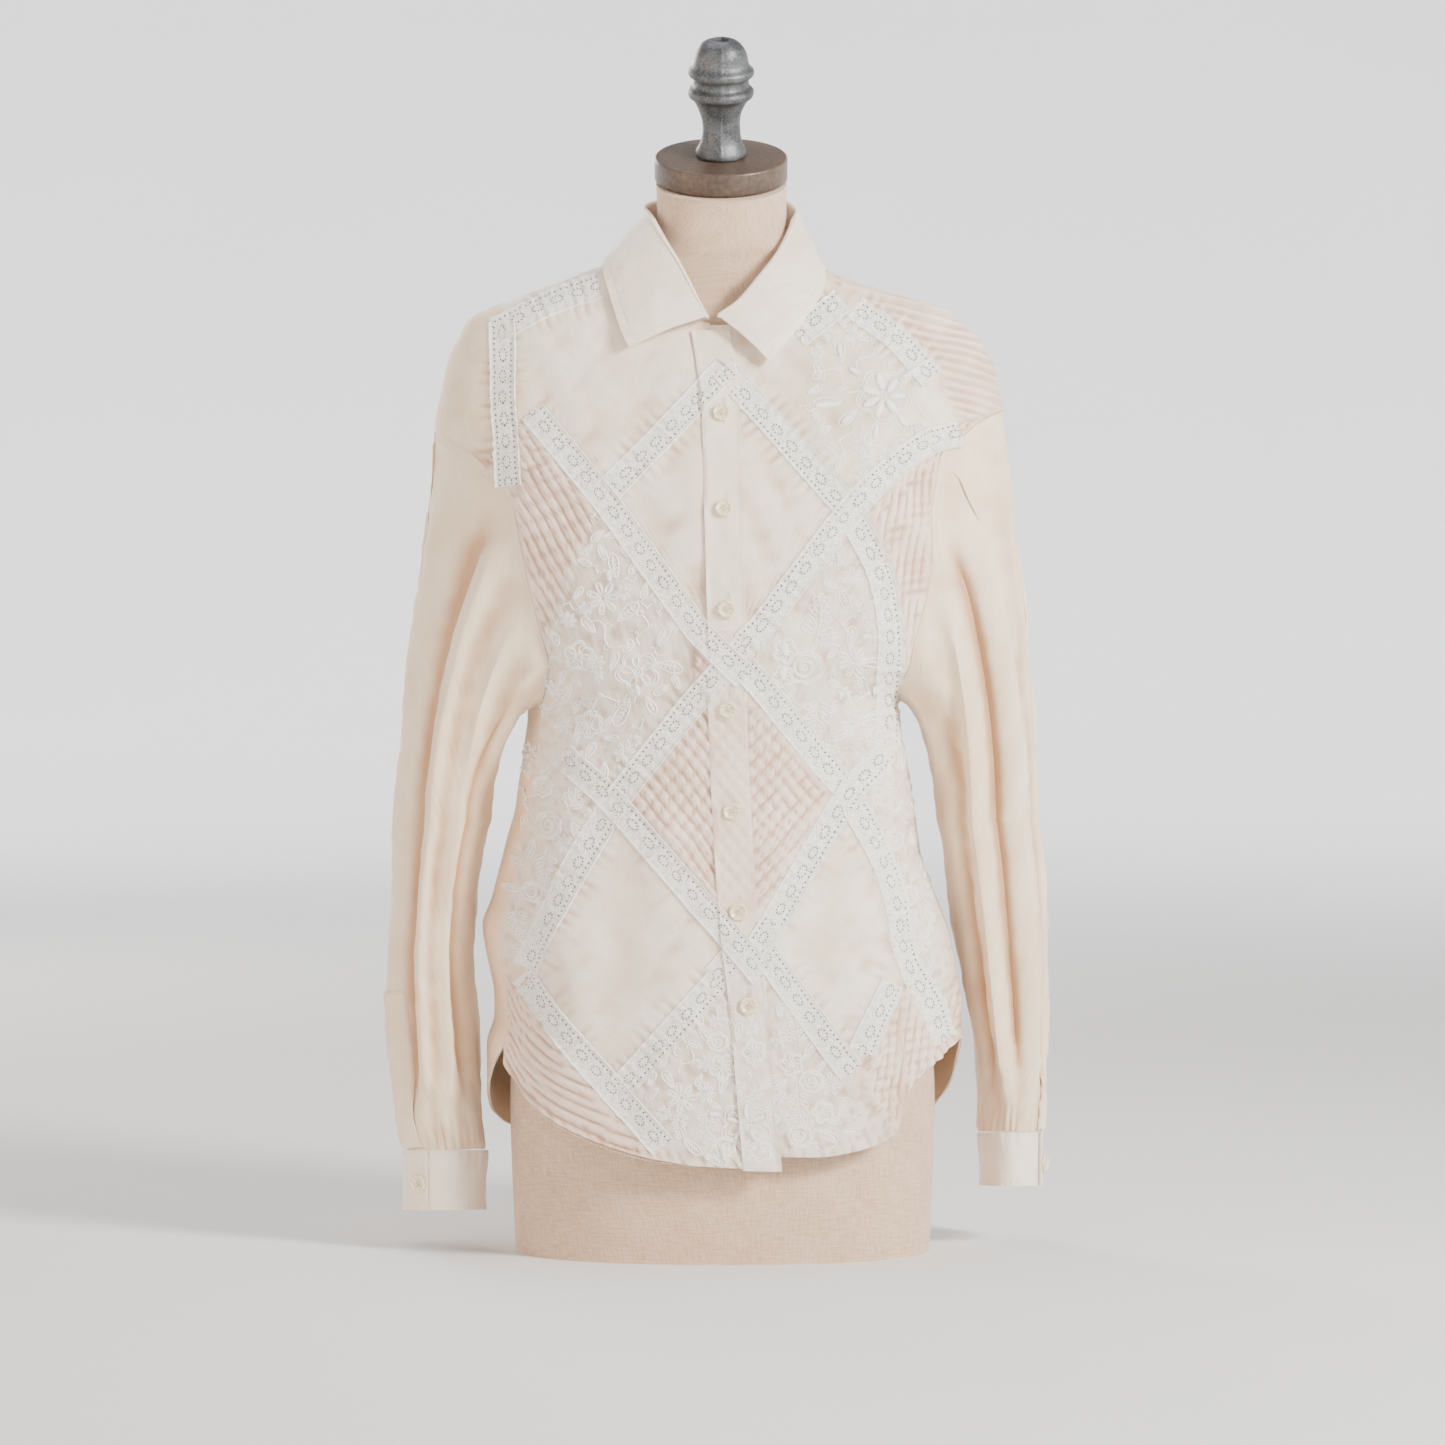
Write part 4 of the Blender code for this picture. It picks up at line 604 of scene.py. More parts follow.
def grating(x, z, degrees, step):
    """0 on stitched lines a step apart that rise at an angle, and 1 midway between them."""
    a = math.radians(degrees)
    return np.abs(np.sin(math.pi * (z * math.cos(a) - x * math.sin(a)) / step))


def quilt_relief(kind, side, x, z):
    bend = waves(x, z, 60, 5) * 1.5
    if kind == "crossed":
        return QUILT_DEPTH * grating(x + bend, z, -60, 7.5) ** 0.6 * (0.1 + 0.9 * grating(x, z + bend, 20, 13) ** 0.5)
    if kind == "basket":
        lean = 48 if side == LEFT else 52
        fine = grating(x, z + bend, -lean, 8.5) ** 0.7
        return QUILT_DEPTH * grating(x + bend, z, lean, 9.5) ** 0.5 * (0.1 + 0.9 * fine)
    if kind == "waffle":
        return QUILT_DEPTH * (grating(x + bend, z, 82, 6.5) * grating(x, z + bend, 8, 8.5)) ** 0.6
    if kind == "tucks":
        return QUILT_DEPTH * (1 - grating(x, z + bend, -14, 7.0)) ** 1.5
    if kind == "cords":
        over_hem = z - front_hem(np.full(x.shape, side), x) + bend
        return QUILT_DEPTH * np.abs(np.sin(math.pi * over_hem / 9.0)) ** 0.6
    if kind == "crinkled":
        return 0.32 * waves(x, z, 8, 2) + 0.4 * waves(x, z, 15, 8)
    return 0.12 * waves(x, z, 24, 3)


def slow_waves(x, z):
    """The cloth's own unevenness, which the band over it shares."""
    return 1.3 * waves(x, z, 95, 1) + 0.75 * waves(x, z, 42, 4) + 0.3 * waves(x, z, 21, 7)


DEEPEST = -0.6          # the fine relief never reaches the wall's inner face


def front_relief(x, z):
    far, along = near_strips(x, z)
    total = np.zeros(x.shape)
    off_lace = ease((far - LACE_HALF) / 5.0)
    for patch in PATCHES:
        on = inside(patch.corners, x, z) & (x * patch.side >= (-40 if patch.relief == "plain" else 0))
        total = total + np.where(on, quilt_relief(patch.relief, patch.side, x, z) * off_lace, 0.0)
    ripple = np.sin(along * 2 * math.pi / 8.7 + 1.3) * (0.6 + 0.4 * np.sin(along * 2 * math.pi / 31))
    beside = np.exp(-(np.maximum(far - LACE_HALF, 0) / 11.0) ** 2)
    total = total + PUCKER * ripple * beside * (0.35 + 0.65 * ease(far / LACE_HALF))
    over_hem = z - front_hem(np.where(x < 0, RIGHT, LEFT), x)
    hem_ripple = 0.5 * np.sin(x * 2 * math.pi / 8.0 + z * 0.35) + 0.3 * np.sin(x * 2 * math.pi / 13.0)
    total = total + hem_ripple * np.exp(-(over_hem / 14.0) ** 2)
    total = total + np.where(over_hem < HEM_WIDTH, 0.5, 0.0) * ease((HEM_WIDTH - over_hem) / 1.5)
    return slow_waves(x, z) + np.maximum(total, DEEPEST)


probe = front_relief(np.linspace(-120, -20, 50), np.full(50, 360.0))
print("relief in mm from", probe.min().round(2), "to", probe.max().round(2))

# %% [markdown]
# ## From grids to cloth
# Each panel is a fine grid of points on the outside and a coarser one 1.2 mm inside it, closed by a rim, which
# is what shows at a hem. A tube, such as a sleeve, shares its first and last column.

# %% Shell maker
WALL, INNER_STEP = 1.2, 4


def grid_normals(grid, closed=False):
    along = np.gradient(grid, axis=0)
    if closed:
        across = (np.roll(grid, -1, axis=1) - np.roll(grid, 1, axis=1)) / 2
    else:
        across = np.gradient(grid, axis=1)
    return unit(np.cross(along, across))


def shade_in_hollows(rise, reach, depth, closed=False):
    """How much painted shade a grid point gets: 1 where a grid lies depth millimetres lower than its surroundings, and
    0 on its ridges.
    """
    soft, width = rise, 2 * reach + 1
    for axis in (0, 1):
        room = [(0, 0), (0, 0)]
        room[axis] = (reach + 1, reach)
        total = np.cumsum(np.pad(soft, room, mode="wrap" if closed and axis == 1 else "edge"), axis=axis)
        last = np.take(total, range(width, total.shape[axis]), axis=axis)
        soft = (last - np.take(total, range(total.shape[axis] - width), axis=axis)) / width
    return np.clip((soft - rise) / depth, 0, 1)


def make_mesh(name, points, faces, finish_names, face_finish=None, uv=None, sharp=50, hollow=None):
    mesh = bpy.data.meshes.new(name)
    mesh.from_pydata((np.asarray(points) * MM).tolist(), [], faces)
    for finish in finish_names:
        mesh.materials.append(finishes[finish])
    if face_finish is not None:
        mesh.polygons.foreach_set("material_index", face_finish)
    if uv is not None:
        layer = mesh.uv_layers.new(name="cloth")
        layer.data.foreach_set("uv", np.asarray(uv, float).ravel())
    # Per-point amount of painted shade, which the cloth finishes mix into their colour.
    if hollow is not None:
        mesh.attributes.new("hollow", "FLOAT", "POINT").data.foreach_set("value", np.asarray(hollow, float))
    mesh.shade_smooth()
    mesh.set_sharp_from_angle(angle=math.radians(sharp))
    made = bpy.data.objects.new(name, mesh)
    bpy.context.scene.collection.objects.link(made)
    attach(made, "root")
    return made


def shell(name, outer, inner, uv, finish_names, pick=None, closed=False, hollow=None, step=INNER_STEP):
    """Cloth between two grids of rows and columns; pick gives each outer quad's finish."""
    rows, columns = outer.shape[:2]
    wide = columns if closed else columns - 1
    facing = (grid_normals(outer, closed) * (outer - inner)).sum() > 0

    def at(r, c):
        return r * columns + c % columns

    r, c = np.meshgrid(np.arange(rows - 1), np.arange(wide), indexing="ij")
    corners = [(r, c), (r + 1, c), (r + 1, c + 1), (r, c + 1)] if facing else [(r, c), (r, c + 1), (r + 1, c + 1),
                                                                              (r + 1, c)]
    faces = np.stack([at(a, b) for a, b in corners], axis=-1).reshape(-1, 4).tolist()
    uvs = np.stack([uv[a, b] for a, b in corners], axis=2).reshape(-1, 2)
    face_finish = np.zeros(len(faces), int) if pick is None else pick.reshape(-1)
    inner_points, inner_faces, inner_uv, seen = [], [], [], {}

    def inner_at(a, b):
        key = (a, b % columns)
        if key not in seen:
            seen[key] = rows * columns + len(inner_points)
            inner_points.append(inner[key])
        return seen[key]

    row_cuts = sorted({*range(0, rows, step), rows - 1})
    column_cuts = sorted({*range(0, wide + 1, step), wide})
    for a0, a1 in zip(row_cuts, row_cuts[1:]):
        for b0, b1 in zip(column_cuts, column_cuts[1:]):
            low = range(b0, b1) if a0 == 0 else [b0]
            right = range(a0, a1) if b1 == wide and not closed else [a0]
            top = range(b1, b0, -1) if a1 == rows - 1 else [b1]
            left = range(a1, a0, -1) if b0 == 0 and not closed else [a1]
            path = ([(a0, b) for b in low] + [(a, b1) for a in right] + [(a1, b) for b in top]
                    + [(a, b0) for a in left])
            inner_faces.append((path, not facing))
    rims = [[(0, b) for b in range(wide, -1, -1)], [(rows - 1, b) for b in range(wide + 1)]]
    if not closed:
        rims += [[(a, 0) for a in range(rows)], [(a, wide) for a in range(rows - 1, -1, -1)]]
    for path, turn in inner_faces:
        path = path[::-1] if turn else path
        faces.append([inner_at(a, b) for a, b in path])
        inner_uv += [uv[a, b] for a, b in path]
    for run in rims:
        for p, q in zip(run, run[1:]):
            quad = [at(*p), at(*q), inner_at(*q), inner_at(*p)]
            spots = [uv[p], uv[q], uv[q], uv[p]]
            faces.append(quad if not facing else quad[::-1])
            inner_uv += spots if not facing else spots[::-1]
    lining = np.full(len(faces) - len(face_finish), len(finish_names) - 1)
    points = np.concatenate((outer.reshape(-1, 3), np.array(inner_points)))
    if hollow is not None:
        hollow = np.concatenate((hollow.ravel(), np.zeros(len(inner_points))))
    return make_mesh(name, points, faces, finish_names, np.concatenate((face_finish, lining)),
                     np.concatenate((uvs, np.array(inner_uv))), hollow=hollow)


def arc_uv(grid):
    """Millimetres along the cloth, across each row and up each column, from the grid itself."""
    across = np.linalg.norm(np.diff(grid, axis=1), axis=-1)
    across = np.concatenate((np.zeros((grid.shape[0], 1)), np.cumsum(across, axis=1)), axis=1)
    up = np.linalg.norm(np.diff(grid, axis=0), axis=-1)
    up = np.concatenate((np.zeros((1, grid.shape[1])), np.cumsum(up, axis=0)), axis=0)
    return np.stack((across, up), axis=-1)


def cut_size(uv):
    """Width and length in metres of the flat cut, from the arc lengths."""
    return (float(np.ptp(uv[..., 0])) * MM, float(np.ptp(uv[..., 1])) * MM)


# %% [markdown]
# ## The two fronts
# A front runs from the button line to the side seam, the armhole and the shoulder seam. Rows climb from the
# hem to the shoulder, and near the side they follow the armhole. The patch under each small quad decides its
# finish, and the relief moves it out.

# %% Front panels
def neckline(angle):
    return smooth(NECKLINE, "angle", "z", angle)


def side_foot(side):
    return FRONT_HEM[side][-1].z


def edge_height(side, j):
    foot, tip, neck = side_foot(side), SHOULDER_TIP[side], neckline(90)
    skirt = foot + (UNDERARM - foot) * j / SKIRT_ROWS
    arm = UNDERARM + (tip - UNDERARM) * (1 - np.cos(math.pi * (j - SKIRT_ROWS) / ARMHOLE_ROWS)) / 2
    shoulder = tip + (neck - tip) * (j - SKIRT_ROWS - ARMHOLE_ROWS) / SHOULDER_ROWS
    return np.where(j <= SKIRT_ROWS, skirt, np.where(j <= SKIRT_ROWS + ARMHOLE_ROWS, arm, shoulder))


def side_edge(table, side, z):
    within = smooth(table[side], "z", "angle", z)
    return np.where(z <= UNDERARM, SIDE_SEAM[side], np.where(z >= SHOULDER_TIP[side], 90.0, within))


def row_share(u, even, edge):
    inward = (1 - u) ** 3.5
    return inward * even + (1 - inward) * edge


def front_grid(side, rows, columns):
    j = np.linspace(0, FRONT_ROWS, rows + 1)[:, None]
    u = np.linspace(0, 1, columns + 1)[None, :]
    edge_z = edge_height(side, j)
    edge_share = (edge_z - side_foot(side)) / (neckline(90) - side_foot(side))
    reach = side_edge(ARMHOLE_FRONT, side, edge_z)
    near_hem = ring_point(side, 1 + u * SIDE_SEAM[side], np.full(u.shape, 120.0))[..., 0]
    foot = smooth(FRONT_HEM[side], "x", "z", near_hem * side)
    first = float(angle_at(side, np.array(-10.0), np.array(737.0)))
    top = neckline(first + u * (90 - first))
    share = row_share(u, j / FRONT_ROWS, edge_share)
    z = np.where(u == 1, edge_z, foot + share * (top - foot))
    start = angle_at(side, smooth(BUTTON_LINE, "z", "x", z), z)
    return start + u * (reach - start), z, u


def patch_under(names, side, ground, x, z):
    """For each point of the front view, the place in names of its patch's finish."""
    pick = np.full(x.shape, names.index(ground))
    for patch in PATCHES:
        if patch.side == side:
            pick[inside(patch.corners, x, z)] = names.index(patch.finish)
    return pick


def make_front(side, name, rows=350, columns=106):
    angle, z, u = front_grid(side, rows, columns)
    base = body_point(side, angle, z)
    out = body_normal(side, angle, z)
    fade = ease((1 - u) / 0.03)
    rise = front_relief(base[..., 0], z) * fade
    slow = slow_waves(base[..., 0], z) * fade
    outer = base + out * rise[..., None]
    folded = rise + fold_height(FRONT_FOLDS, base[..., 0], z)
    # Painted shade in the hollows of the fine relief and of the big folds.
    hollow = np.maximum(0.8 * shade_in_hollows(rise, 3, 0.75), 0.4 * shade_in_hollows(folded, 14, 3.2))
    uv = arc_uv(base)
    names = sorted({patch.finish for patch in PATCHES if patch.side == side}) + [LAWN]
    middle = (base[:-1, :-1] + base[1:, 1:]) / 2
    pick = patch_under(names, side, LAWN, middle[..., 0], middle[..., 2])
    made = shell(f"{name}_cloth", outer, base + out * (slow - WALL)[..., None], uv, names, pick,
                 hollow=hollow)
    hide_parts(name)
    return made, cut_size(uv)


fronts = {side: make_front(side, f"front_{name}") for side, name in SIDES}
for made, size in fronts.values():
    print(made.name, "cut in metres:", [round(v, 3) for v in size], "faces:", len(made.data.polygons))

# %% [markdown]
# ## The back
# Nothing of the back shows in the photograph, so it is the plain ivory lawn of the sleeves, in one piece, with
# soft uneven folds from the shoulders to a shirt-tail hem.

# %% Back panel
def make_back(rows=200, columns=130):
    j = np.linspace(0, FRONT_ROWS, rows + 1)[:, None]
    w = np.linspace(-1, 1, columns + 1)[None, :]
    u, right = np.abs(w), w < 0
    side = np.where(right, RIGHT, LEFT)
    edges = [edge_height(s, j) for s in (RIGHT, LEFT)]
    shares = [(e - side_foot(s)) / (neckline(90) - side_foot(s)) for s, e in zip((RIGHT, LEFT), edges)]
    edge_z = np.where(right, edges[0], edges[1])
    edge_share = shares[0] * (1 - w) / 2 + shares[1] * (1 + w) / 2
    reach = np.where(right, side_edge(ARMHOLE_BACK, RIGHT, edges[0]), side_edge(ARMHOLE_BACK, LEFT, edges[1]))
    low = np.where(right, side_foot(RIGHT), side_foot(LEFT))
    foot = BACK_HEM_CENTRE + (low - BACK_HEM_CENTRE) * u**BACK_HEM_POWER
    z = np.where(u == 1, edge_z, foot + row_share(u, j / FRONT_ROWS, edge_share) * (neckline(180 - 90 * u) - foot))
    angle = 180 - u * (180 - reach)
    side = np.broadcast_to(side, z.shape)
    base = body_point(side, angle, z)
    out = body_normal(side, angle, z)
    over_hem = z - foot
    slow = (1.3 * waves(base[..., 0], z, 80, 6) + 0.6 * waves(base[..., 0], z, 33, 9)) * ease((1 - u) / 0.04)
    rise = 0.5 * np.sin(base[..., 0] * 2 * math.pi / 9.0) * np.exp(-(over_hem / 14.0) ** 2)
    rise = (rise + 0.5 * ease((HEM_WIDTH - over_hem) / 1.5)) * ease((1 - u) / 0.04)
    uv = arc_uv(base)
    # Painted shade in the hollows of the back's folds, kept faint.
    made = shell("back_cloth", base + out * (slow + rise)[..., None], base + out * (slow - WALL)[..., None], uv, [LAWN],
                 hollow=0.45 * shade_in_hollows(slow + rise + fold_height(BACK_FOLDS, base[..., 0], z), 9, 3.5), step=2)
    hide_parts("back")
    return made, cut_size(uv)


back, back_size = make_back()
print("back cut in metres:", [round(v, 3) for v in back_size])

# %% [markdown]
# ## Sleeves
# A sleeve leaves the armhole seam and falls into rings that hang down to the cuff. Long soft folds start under
# the shoulder, and close pleats gather the last 45 mm into the cuff.

# %% Tables of the sleeves
Ring = namedtuple("Ring", "z outer inner centre half")
SLEEVE_RINGS = {
    RIGHT: [Ring(345, 260, 186, 0, 62), Ring(311, 262, 195, 0, 60), Ring(285, 264, 199, 1, 58),
            Ring(232, 266, 201, 2, 56), Ring(183, 266, 198, 3, 55), Ring(135, 264, 195, 4, 54),
            Ring(104, 261, 193, 4, 50), Ring(79, 256, 190, 4, 38)],
    LEFT: [Ring(345, 254, 172, 14, 62), Ring(300, 259, 179, 20, 61), Ring(250, 262, 186, 28, 60),
           Ring(200, 263, 195, 32, 57), Ring(160, 262, 202, 32, 55), Ring(125, 260, 206, 32, 52),
           Ring(107, 258, 208, 32, 48), Ring(90, 256, 208, 32, 42)],
}
Wave = namedtuple("Wave", "angle top foot width rise")
SLEEVE_WAVES = {
    RIGHT: [Wave(24, 600, 110, 14, 4.0), Wave(58, 650, 100, 12, -10.0), Wave(80, 640, 110, 8, 6.0),
            Wave(112, 580, 110, 8, 9.0), Wave(136, 470, 110, 11, -9.0), Wave(205, 400, 110, 18, 4.0),
            Wave(248, 560, 110, 14, -8.0), Wave(290, 600, 100, 15, 7.0), Wave(330, 560, 130, 13, -5.0)],
    LEFT: [Wave(24, 560, 110, 13, -5.0), Wave(55, 620, 110, 12, 6.0), Wave(82, 620, 130, 9, -10.0),
           Wave(106, 600, 110, 8, 9.0), Wave(134, 470, 110, 13, -7.0), Wave(210, 400, 120, 18, -4.0),
           Wave(250, 560, 110, 14, 7.0), Wave(295, 600, 110, 14, -8.0), Wave(332, 560, 130, 14, 5.0)],
}
CUFF_SLOPE, ARMHOLE_GAP = 0.11, 0.4

# %% Sleeve surfaces
def sleeve_ring(side, phi, z):
    rows = SLEEVE_RINGS[side][::-1]
    outer, inner = smooth(rows, "z", "outer", z), smooth(rows, "z", "inner", z)
    centre, half = smooth(rows, "z", "centre", z), smooth(rows, "z", "half", z)
    p = np.radians(phi)
    y = centre - half * np.sin(p)
    droop = CUFF_SLOPE * ease((170 - z) / 80.0) * (y - centre)
    x = side * ((outer + inner) / 2 + (outer - inner) / 2 * np.cos(p))
    return np.stack(np.broadcast_arrays(x, y, z - droop), axis=-1)


def armhole_point(side, phi):
    phi = phi % 360
    tip = SHOULDER_TIP[side]
    z = tip - (tip - UNDERARM) * (1 - np.cos(np.radians(phi))) / 2
    front, behind = smooth(ARMHOLE_FRONT[side], "z", "angle", z), smooth(ARMHOLE_BACK[side], "z", "angle", z)
    angle = np.where(phi <= 180, front, behind)
    return body_point(side, angle, z), body_normal(side, angle, z)


def armhole_start(side, phi):
    start, out = armhole_point(side, phi)
    seam = armhole_point(side, phi + 4)[0] - armhole_point(side, phi - 4)[0]
    away = unit(np.cross(seam, out)) * -side
    lower = ease((-np.cos(np.radians(phi)) - 0.3) / 0.6)[..., None]
    return start, unit(away * (1 - lower) + (out * 0.9 + away * 0.4) * lower)


def sleeve_point(side, phi, s):
    first, last = SLEEVE_RINGS[side][0].z, SLEEVE_RINGS[side][-1].z + 0.5
    start, leave = armhole_start(side, phi)
    start = start + leave * ARMHOLE_GAP
    end = sleeve_ring(side, phi, np.full(np.shape(phi), float(first)))
    reach = np.linalg.norm(end - start, axis=-1, keepdims=True)
    m0, m1 = leave * reach * 0.55, np.array((0.0, 0.0, -0.9)) * reach
    t = np.minimum(s, 1.0)[..., None]
    upper = hermite(t, start, end, m0, m1)
    lower = sleeve_ring(side, phi, first + (last - first) * (s - 1))
    return np.where((s < 1)[..., None], upper, lower)


def sleeve_waves(side, phi, z, s):
    total = np.zeros(phi.shape)
    for wave in SLEEVE_WAVES[side]:
        apart = (phi - wave.angle + 180) % 360 - 180
        fade = ease((wave.top - z) / 90.0) * ease((z - wave.foot) / 50.0)
        total = total + wave.rise * fade * np.exp(-np.abs(apart / wave.width) ** 1.5)
    return total * ease(s / 0.35)


# %% Make the sleeves
def sleeve_relief(side, phi, z, s):
    """Fine folds over the main ones: gathers that only the outside has, and slow waves that both faces have."""
    round_mm = phi * 0.9
    foot = SLEEVE_RINGS[side][-1].z
    gathers = np.abs(np.sin(np.radians(phi * 15))) ** 0.7 * (0.6 + 0.4 * np.sin(np.radians(phi * 4 + 40)))
    gathered = 2.0 * gathers * ease((foot + 45 - z) / 40.0) * ease((z - foot) / 5.0)
    slow = 1.4 * waves(round_mm, z / 3, 34, 7 + side) + 0.6 * waves(round_mm, z, 26, 3)
    return gathered * ease(s / 0.1), slow * ease(s / 0.1)


def make_sleeve(side, name, rows=230, columns=128):
    s = np.concatenate((np.linspace(0, 1, rows // 2, endpoint=False), np.linspace(1, 2, rows // 2 + 1)))[:, None]
    phi = np.linspace(0, 360, columns, endpoint=False)[None, :]
    s, phi = np.broadcast_arrays(s, phi)
    base = sleeve_point(side, phi, s)
    out = grid_normals(base, closed=True)
    middle = base.mean(axis=1, keepdims=True)
    out = out * np.sign((out * (base - middle)).sum())
    rise = sleeve_waves(side, phi, base[..., 2], s)
    smooth_wall = base + out * rise[..., None]
    gathered, slow = sleeve_relief(side, phi, base[..., 2], s)
    outer = smooth_wall + out * (gathered + slow)[..., None]
    wrapped = np.concatenate((smooth_wall, smooth_wall[:, :1]), axis=1)
    uv = arc_uv(wrapped)
    # Painted shade in the hollows of the sleeve's folds and of the gathers above the cuff.
    made = shell(f"{name}_cloth", outer, smooth_wall + out * (slow - WALL)[..., None], uv, [LAWN], closed=True,
                 hollow=np.maximum(0.85 * shade_in_hollows(rise + slow, 7, 3.8, True), 0.7 * shade_in_hollows(gathered, 3, 0.9, True)),
                 step=2)
    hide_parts(f"{name}_upper", f"{name}_lower")
    return made, cut_size(uv), outer


sleeves = {side: make_sleeve(side, f"sleeve_{name}") for side, name in SIDES}
for made, size, _ in sleeves.values():
    print(made.name, "cut in metres:", [round(v, 3) for v in size])

# %% [markdown]
# ## The button band
# The right front ends in a 30 mm band that laps over the left one. The quilting and the insertion run on across
# it, so that it shows mostly as a folded edge with a thin shadow. It is a narrow shell that lies on the fronts.

# %% Button band
BAND_HALF, BAND_LIFT, BAND_FOOT, BAND_TOP = 15.0, 1.9, 78.0, 732.0


def band_middle(z):
    return smooth(BUTTON_LINE, "z", "x", z)


def band_relief(x, z):
    soft = slow_waves(x, z) + 0.2 * waves(x, z, 19, 4)
    quilted = ease((z - 285) / 12) * ease((462 - z) / 12)
    soft = soft + 0.55 * quilted * quilt_relief("basket", RIGHT, x, z)
    return soft + (z < 226) * quilt_relief("crinkled", RIGHT, x, z)


def surface_lift(x, z):
    """Height of the outermost cloth over the body's curve, on the band and beside it."""
    on_band = np.abs(x - band_middle(z)) < BAND_HALF
    return np.where(on_band, BAND_LIFT + band_relief(x, z), front_relief(x, z))


def make_band(rows=420, columns=20):
    share = np.linspace(0, 1, rows + 1)[:, None]
    across = np.linspace(-BAND_HALF, BAND_HALF, columns + 1)[None, :]
    middle = band_middle(BAND_FOOT + share * (BAND_TOP - BAND_FOOT))
    foot = smooth(FRONT_HEM[RIGHT], "x", "z", -(middle + across))
    z = foot + share * (BAND_TOP - foot)
    x = band_middle(z) + across
    rim = np.minimum(BAND_HALF - np.abs(across), 3.0) / 3.0
    rise = BAND_LIFT + band_relief(x, z) * ease(rim) + 0.25 * ease(1.2 - rim)
    base = front_point(x, z)
    out = front_out(x, z)
    uv = arc_uv(base)
    names = sorted({patch.finish for patch in PATCHES if patch.side == RIGHT})
    spot_x, spot_z = np.minimum((x[:-1, :-1] + x[1:, 1:]) / 2, -1.0), (z[:-1, :-1] + z[1:, 1:]) / 2
    pick = patch_under(names, RIGHT, SATEEN, spot_x, spot_z)
    made = shell("button_band", base + out * rise[..., None], base + out * (rise[..., None] - 1.1), uv, names, pick)
    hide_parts("placket")
    return made, cut_size(uv)


band, band_size = make_band()
print("band cut in metres:", [round(v, 3) for v in band_size])

# %% [markdown]
# ## Insertion strips
# Every strip is a narrow grid along its path. It lies just over the relief, climbs over the band where it
# crosses it, and a twisted cord stands up along both edges. Short pieces on the band close the lattice there.

# %% Strips
Crossing = namedtuple("Crossing", "side points trim_start trim_end ladder over")
LADDER_SIDES = [0, 2, 0, -1, -1, 1, 0, 1, 0, 0, 1, -1, 0, 0, 0, 1, 1, 1, 0]
CROSSINGS = [
    Crossing(RIGHT, [(-22, 501), (2, 477), (17.5, 462)], 0, 0, 0, 0.5),
    Crossing(RIGHT, [(-22, 443), (3, 471), (17.5, 487)], 0, 0, 0, 0.0),
    Crossing(RIGHT, [(-16, 284), (8, 257), (31, 229)], 0, 0, 1, 0.5),
    Crossing(RIGHT, [(9, 245), (-6, 229)], 0, 0, 0, 0.0),
    Crossing(RIGHT, [(-26, 672), (0, 699), (3, 702)], 0, 0, -1, 0.0),
    Crossing(RIGHT, [(0, 702), (8, 692)], 0, 0, -1, 0.5),
    Crossing(LEFT, [(12, 688), (28, 671)], 0, 0, -1, 0.0),
    Crossing(LEFT, [(16, 488), (31, 502)], 0, 0, 0, 0.0),
    Crossing(LEFT, [(16, 470), (29, 456)], 0, 0, 0, 0.0),
    Crossing(LEFT, [(27, 252), (41, 273)], 0, 0, 1, 0.0),
    Crossing(LEFT, [(29, 252), (45, 230)], 0, 0, 1, 0.0),
    Crossing(LEFT, [(163, 646), (186, 652)], 0, 0, 0, 0.0),
]
STRIP_HALF, STRIP_LIFT, STRIP_WALL, CORD_AT, CORD_RISE, CORD_TWIST = 10.6, 0.45, 0.6, 9.7, 1.0, 2.6


def make_strip(name, points, trim_start, trim_end, ladder, over=0.0, node=None):
    length = runs(points)[-1]
    rows = max(int((length - trim_start - trim_end) / 1.2), 4)
    along = np.linspace(trim_start, length - trim_end, rows + 1)
    at, way = path_at(points, along / length)
    across = np.linspace(-STRIP_HALF, STRIP_HALF, 31)
    cross = np.stack((-way[:, 1], way[:, 0]), axis=-1)
    x = at[:, None, 0] + across[None, :] * cross[:, None, 0]
    z = at[:, None, 1] + across[None, :] * cross[:, None, 1]
    cord = np.exp(-((np.abs(across) - CORD_AT) / 0.55) ** 2)[None, :]
    twist = 1 + 0.3 * np.sin(along[:, None] * 2 * math.pi / CORD_TWIST + across[None, :] * 2)
    rise = surface_lift(x, z) + STRIP_LIFT + over + CORD_RISE * cord * twist
    rise = rise + 0.22 * waves(x, z, 8, 6) * (1 - cord)
    base, out = front_point(x, z), front_out(x, z)
    ladder_side = np.where(ladder == 2, np.abs(across), across * (ladder or 1))
    ring_shift = 0.0 if ladder else 40.0
    uv = np.stack(np.broadcast_arrays(along[:, None] + ring_shift, ladder_side[None, :]), axis=-1)
    outer = base + out * rise[..., None]
    made = shell(name, outer, base + out * (rise[..., None] - STRIP_WALL), uv, ["insertion"])
    if node:
        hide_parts(node)
    return made


lace = {RIGHT: [], LEFT: []}
for number, (strip, ladder) in enumerate(zip(LACE, LADDER_SIDES), 1):
    lace[strip.side].append(make_strip(f"insertion_{number:02d}", strip.points, strip.trim_start, strip.trim_end,
                                       ladder, node=f"lace_{number:02d}"))
for number, row in enumerate(CROSSINGS, 1):
    lace[row.side].append(make_strip(f"insertion_crossing_{number:02d}", row.points, row.trim_start, row.trim_end,
                                     row.ladder, row.over))
print("strips on each front:", {side: len(made) for side, made in lace.items()})

# %% [markdown]
# ## Threads as fine tubes
# Embroidery and stitching are threads laid on the cloth. Each is a tube with four sides round a path of points,
# flattened a little, with tapered ends, and all the threads of one kind are joined into one mesh.

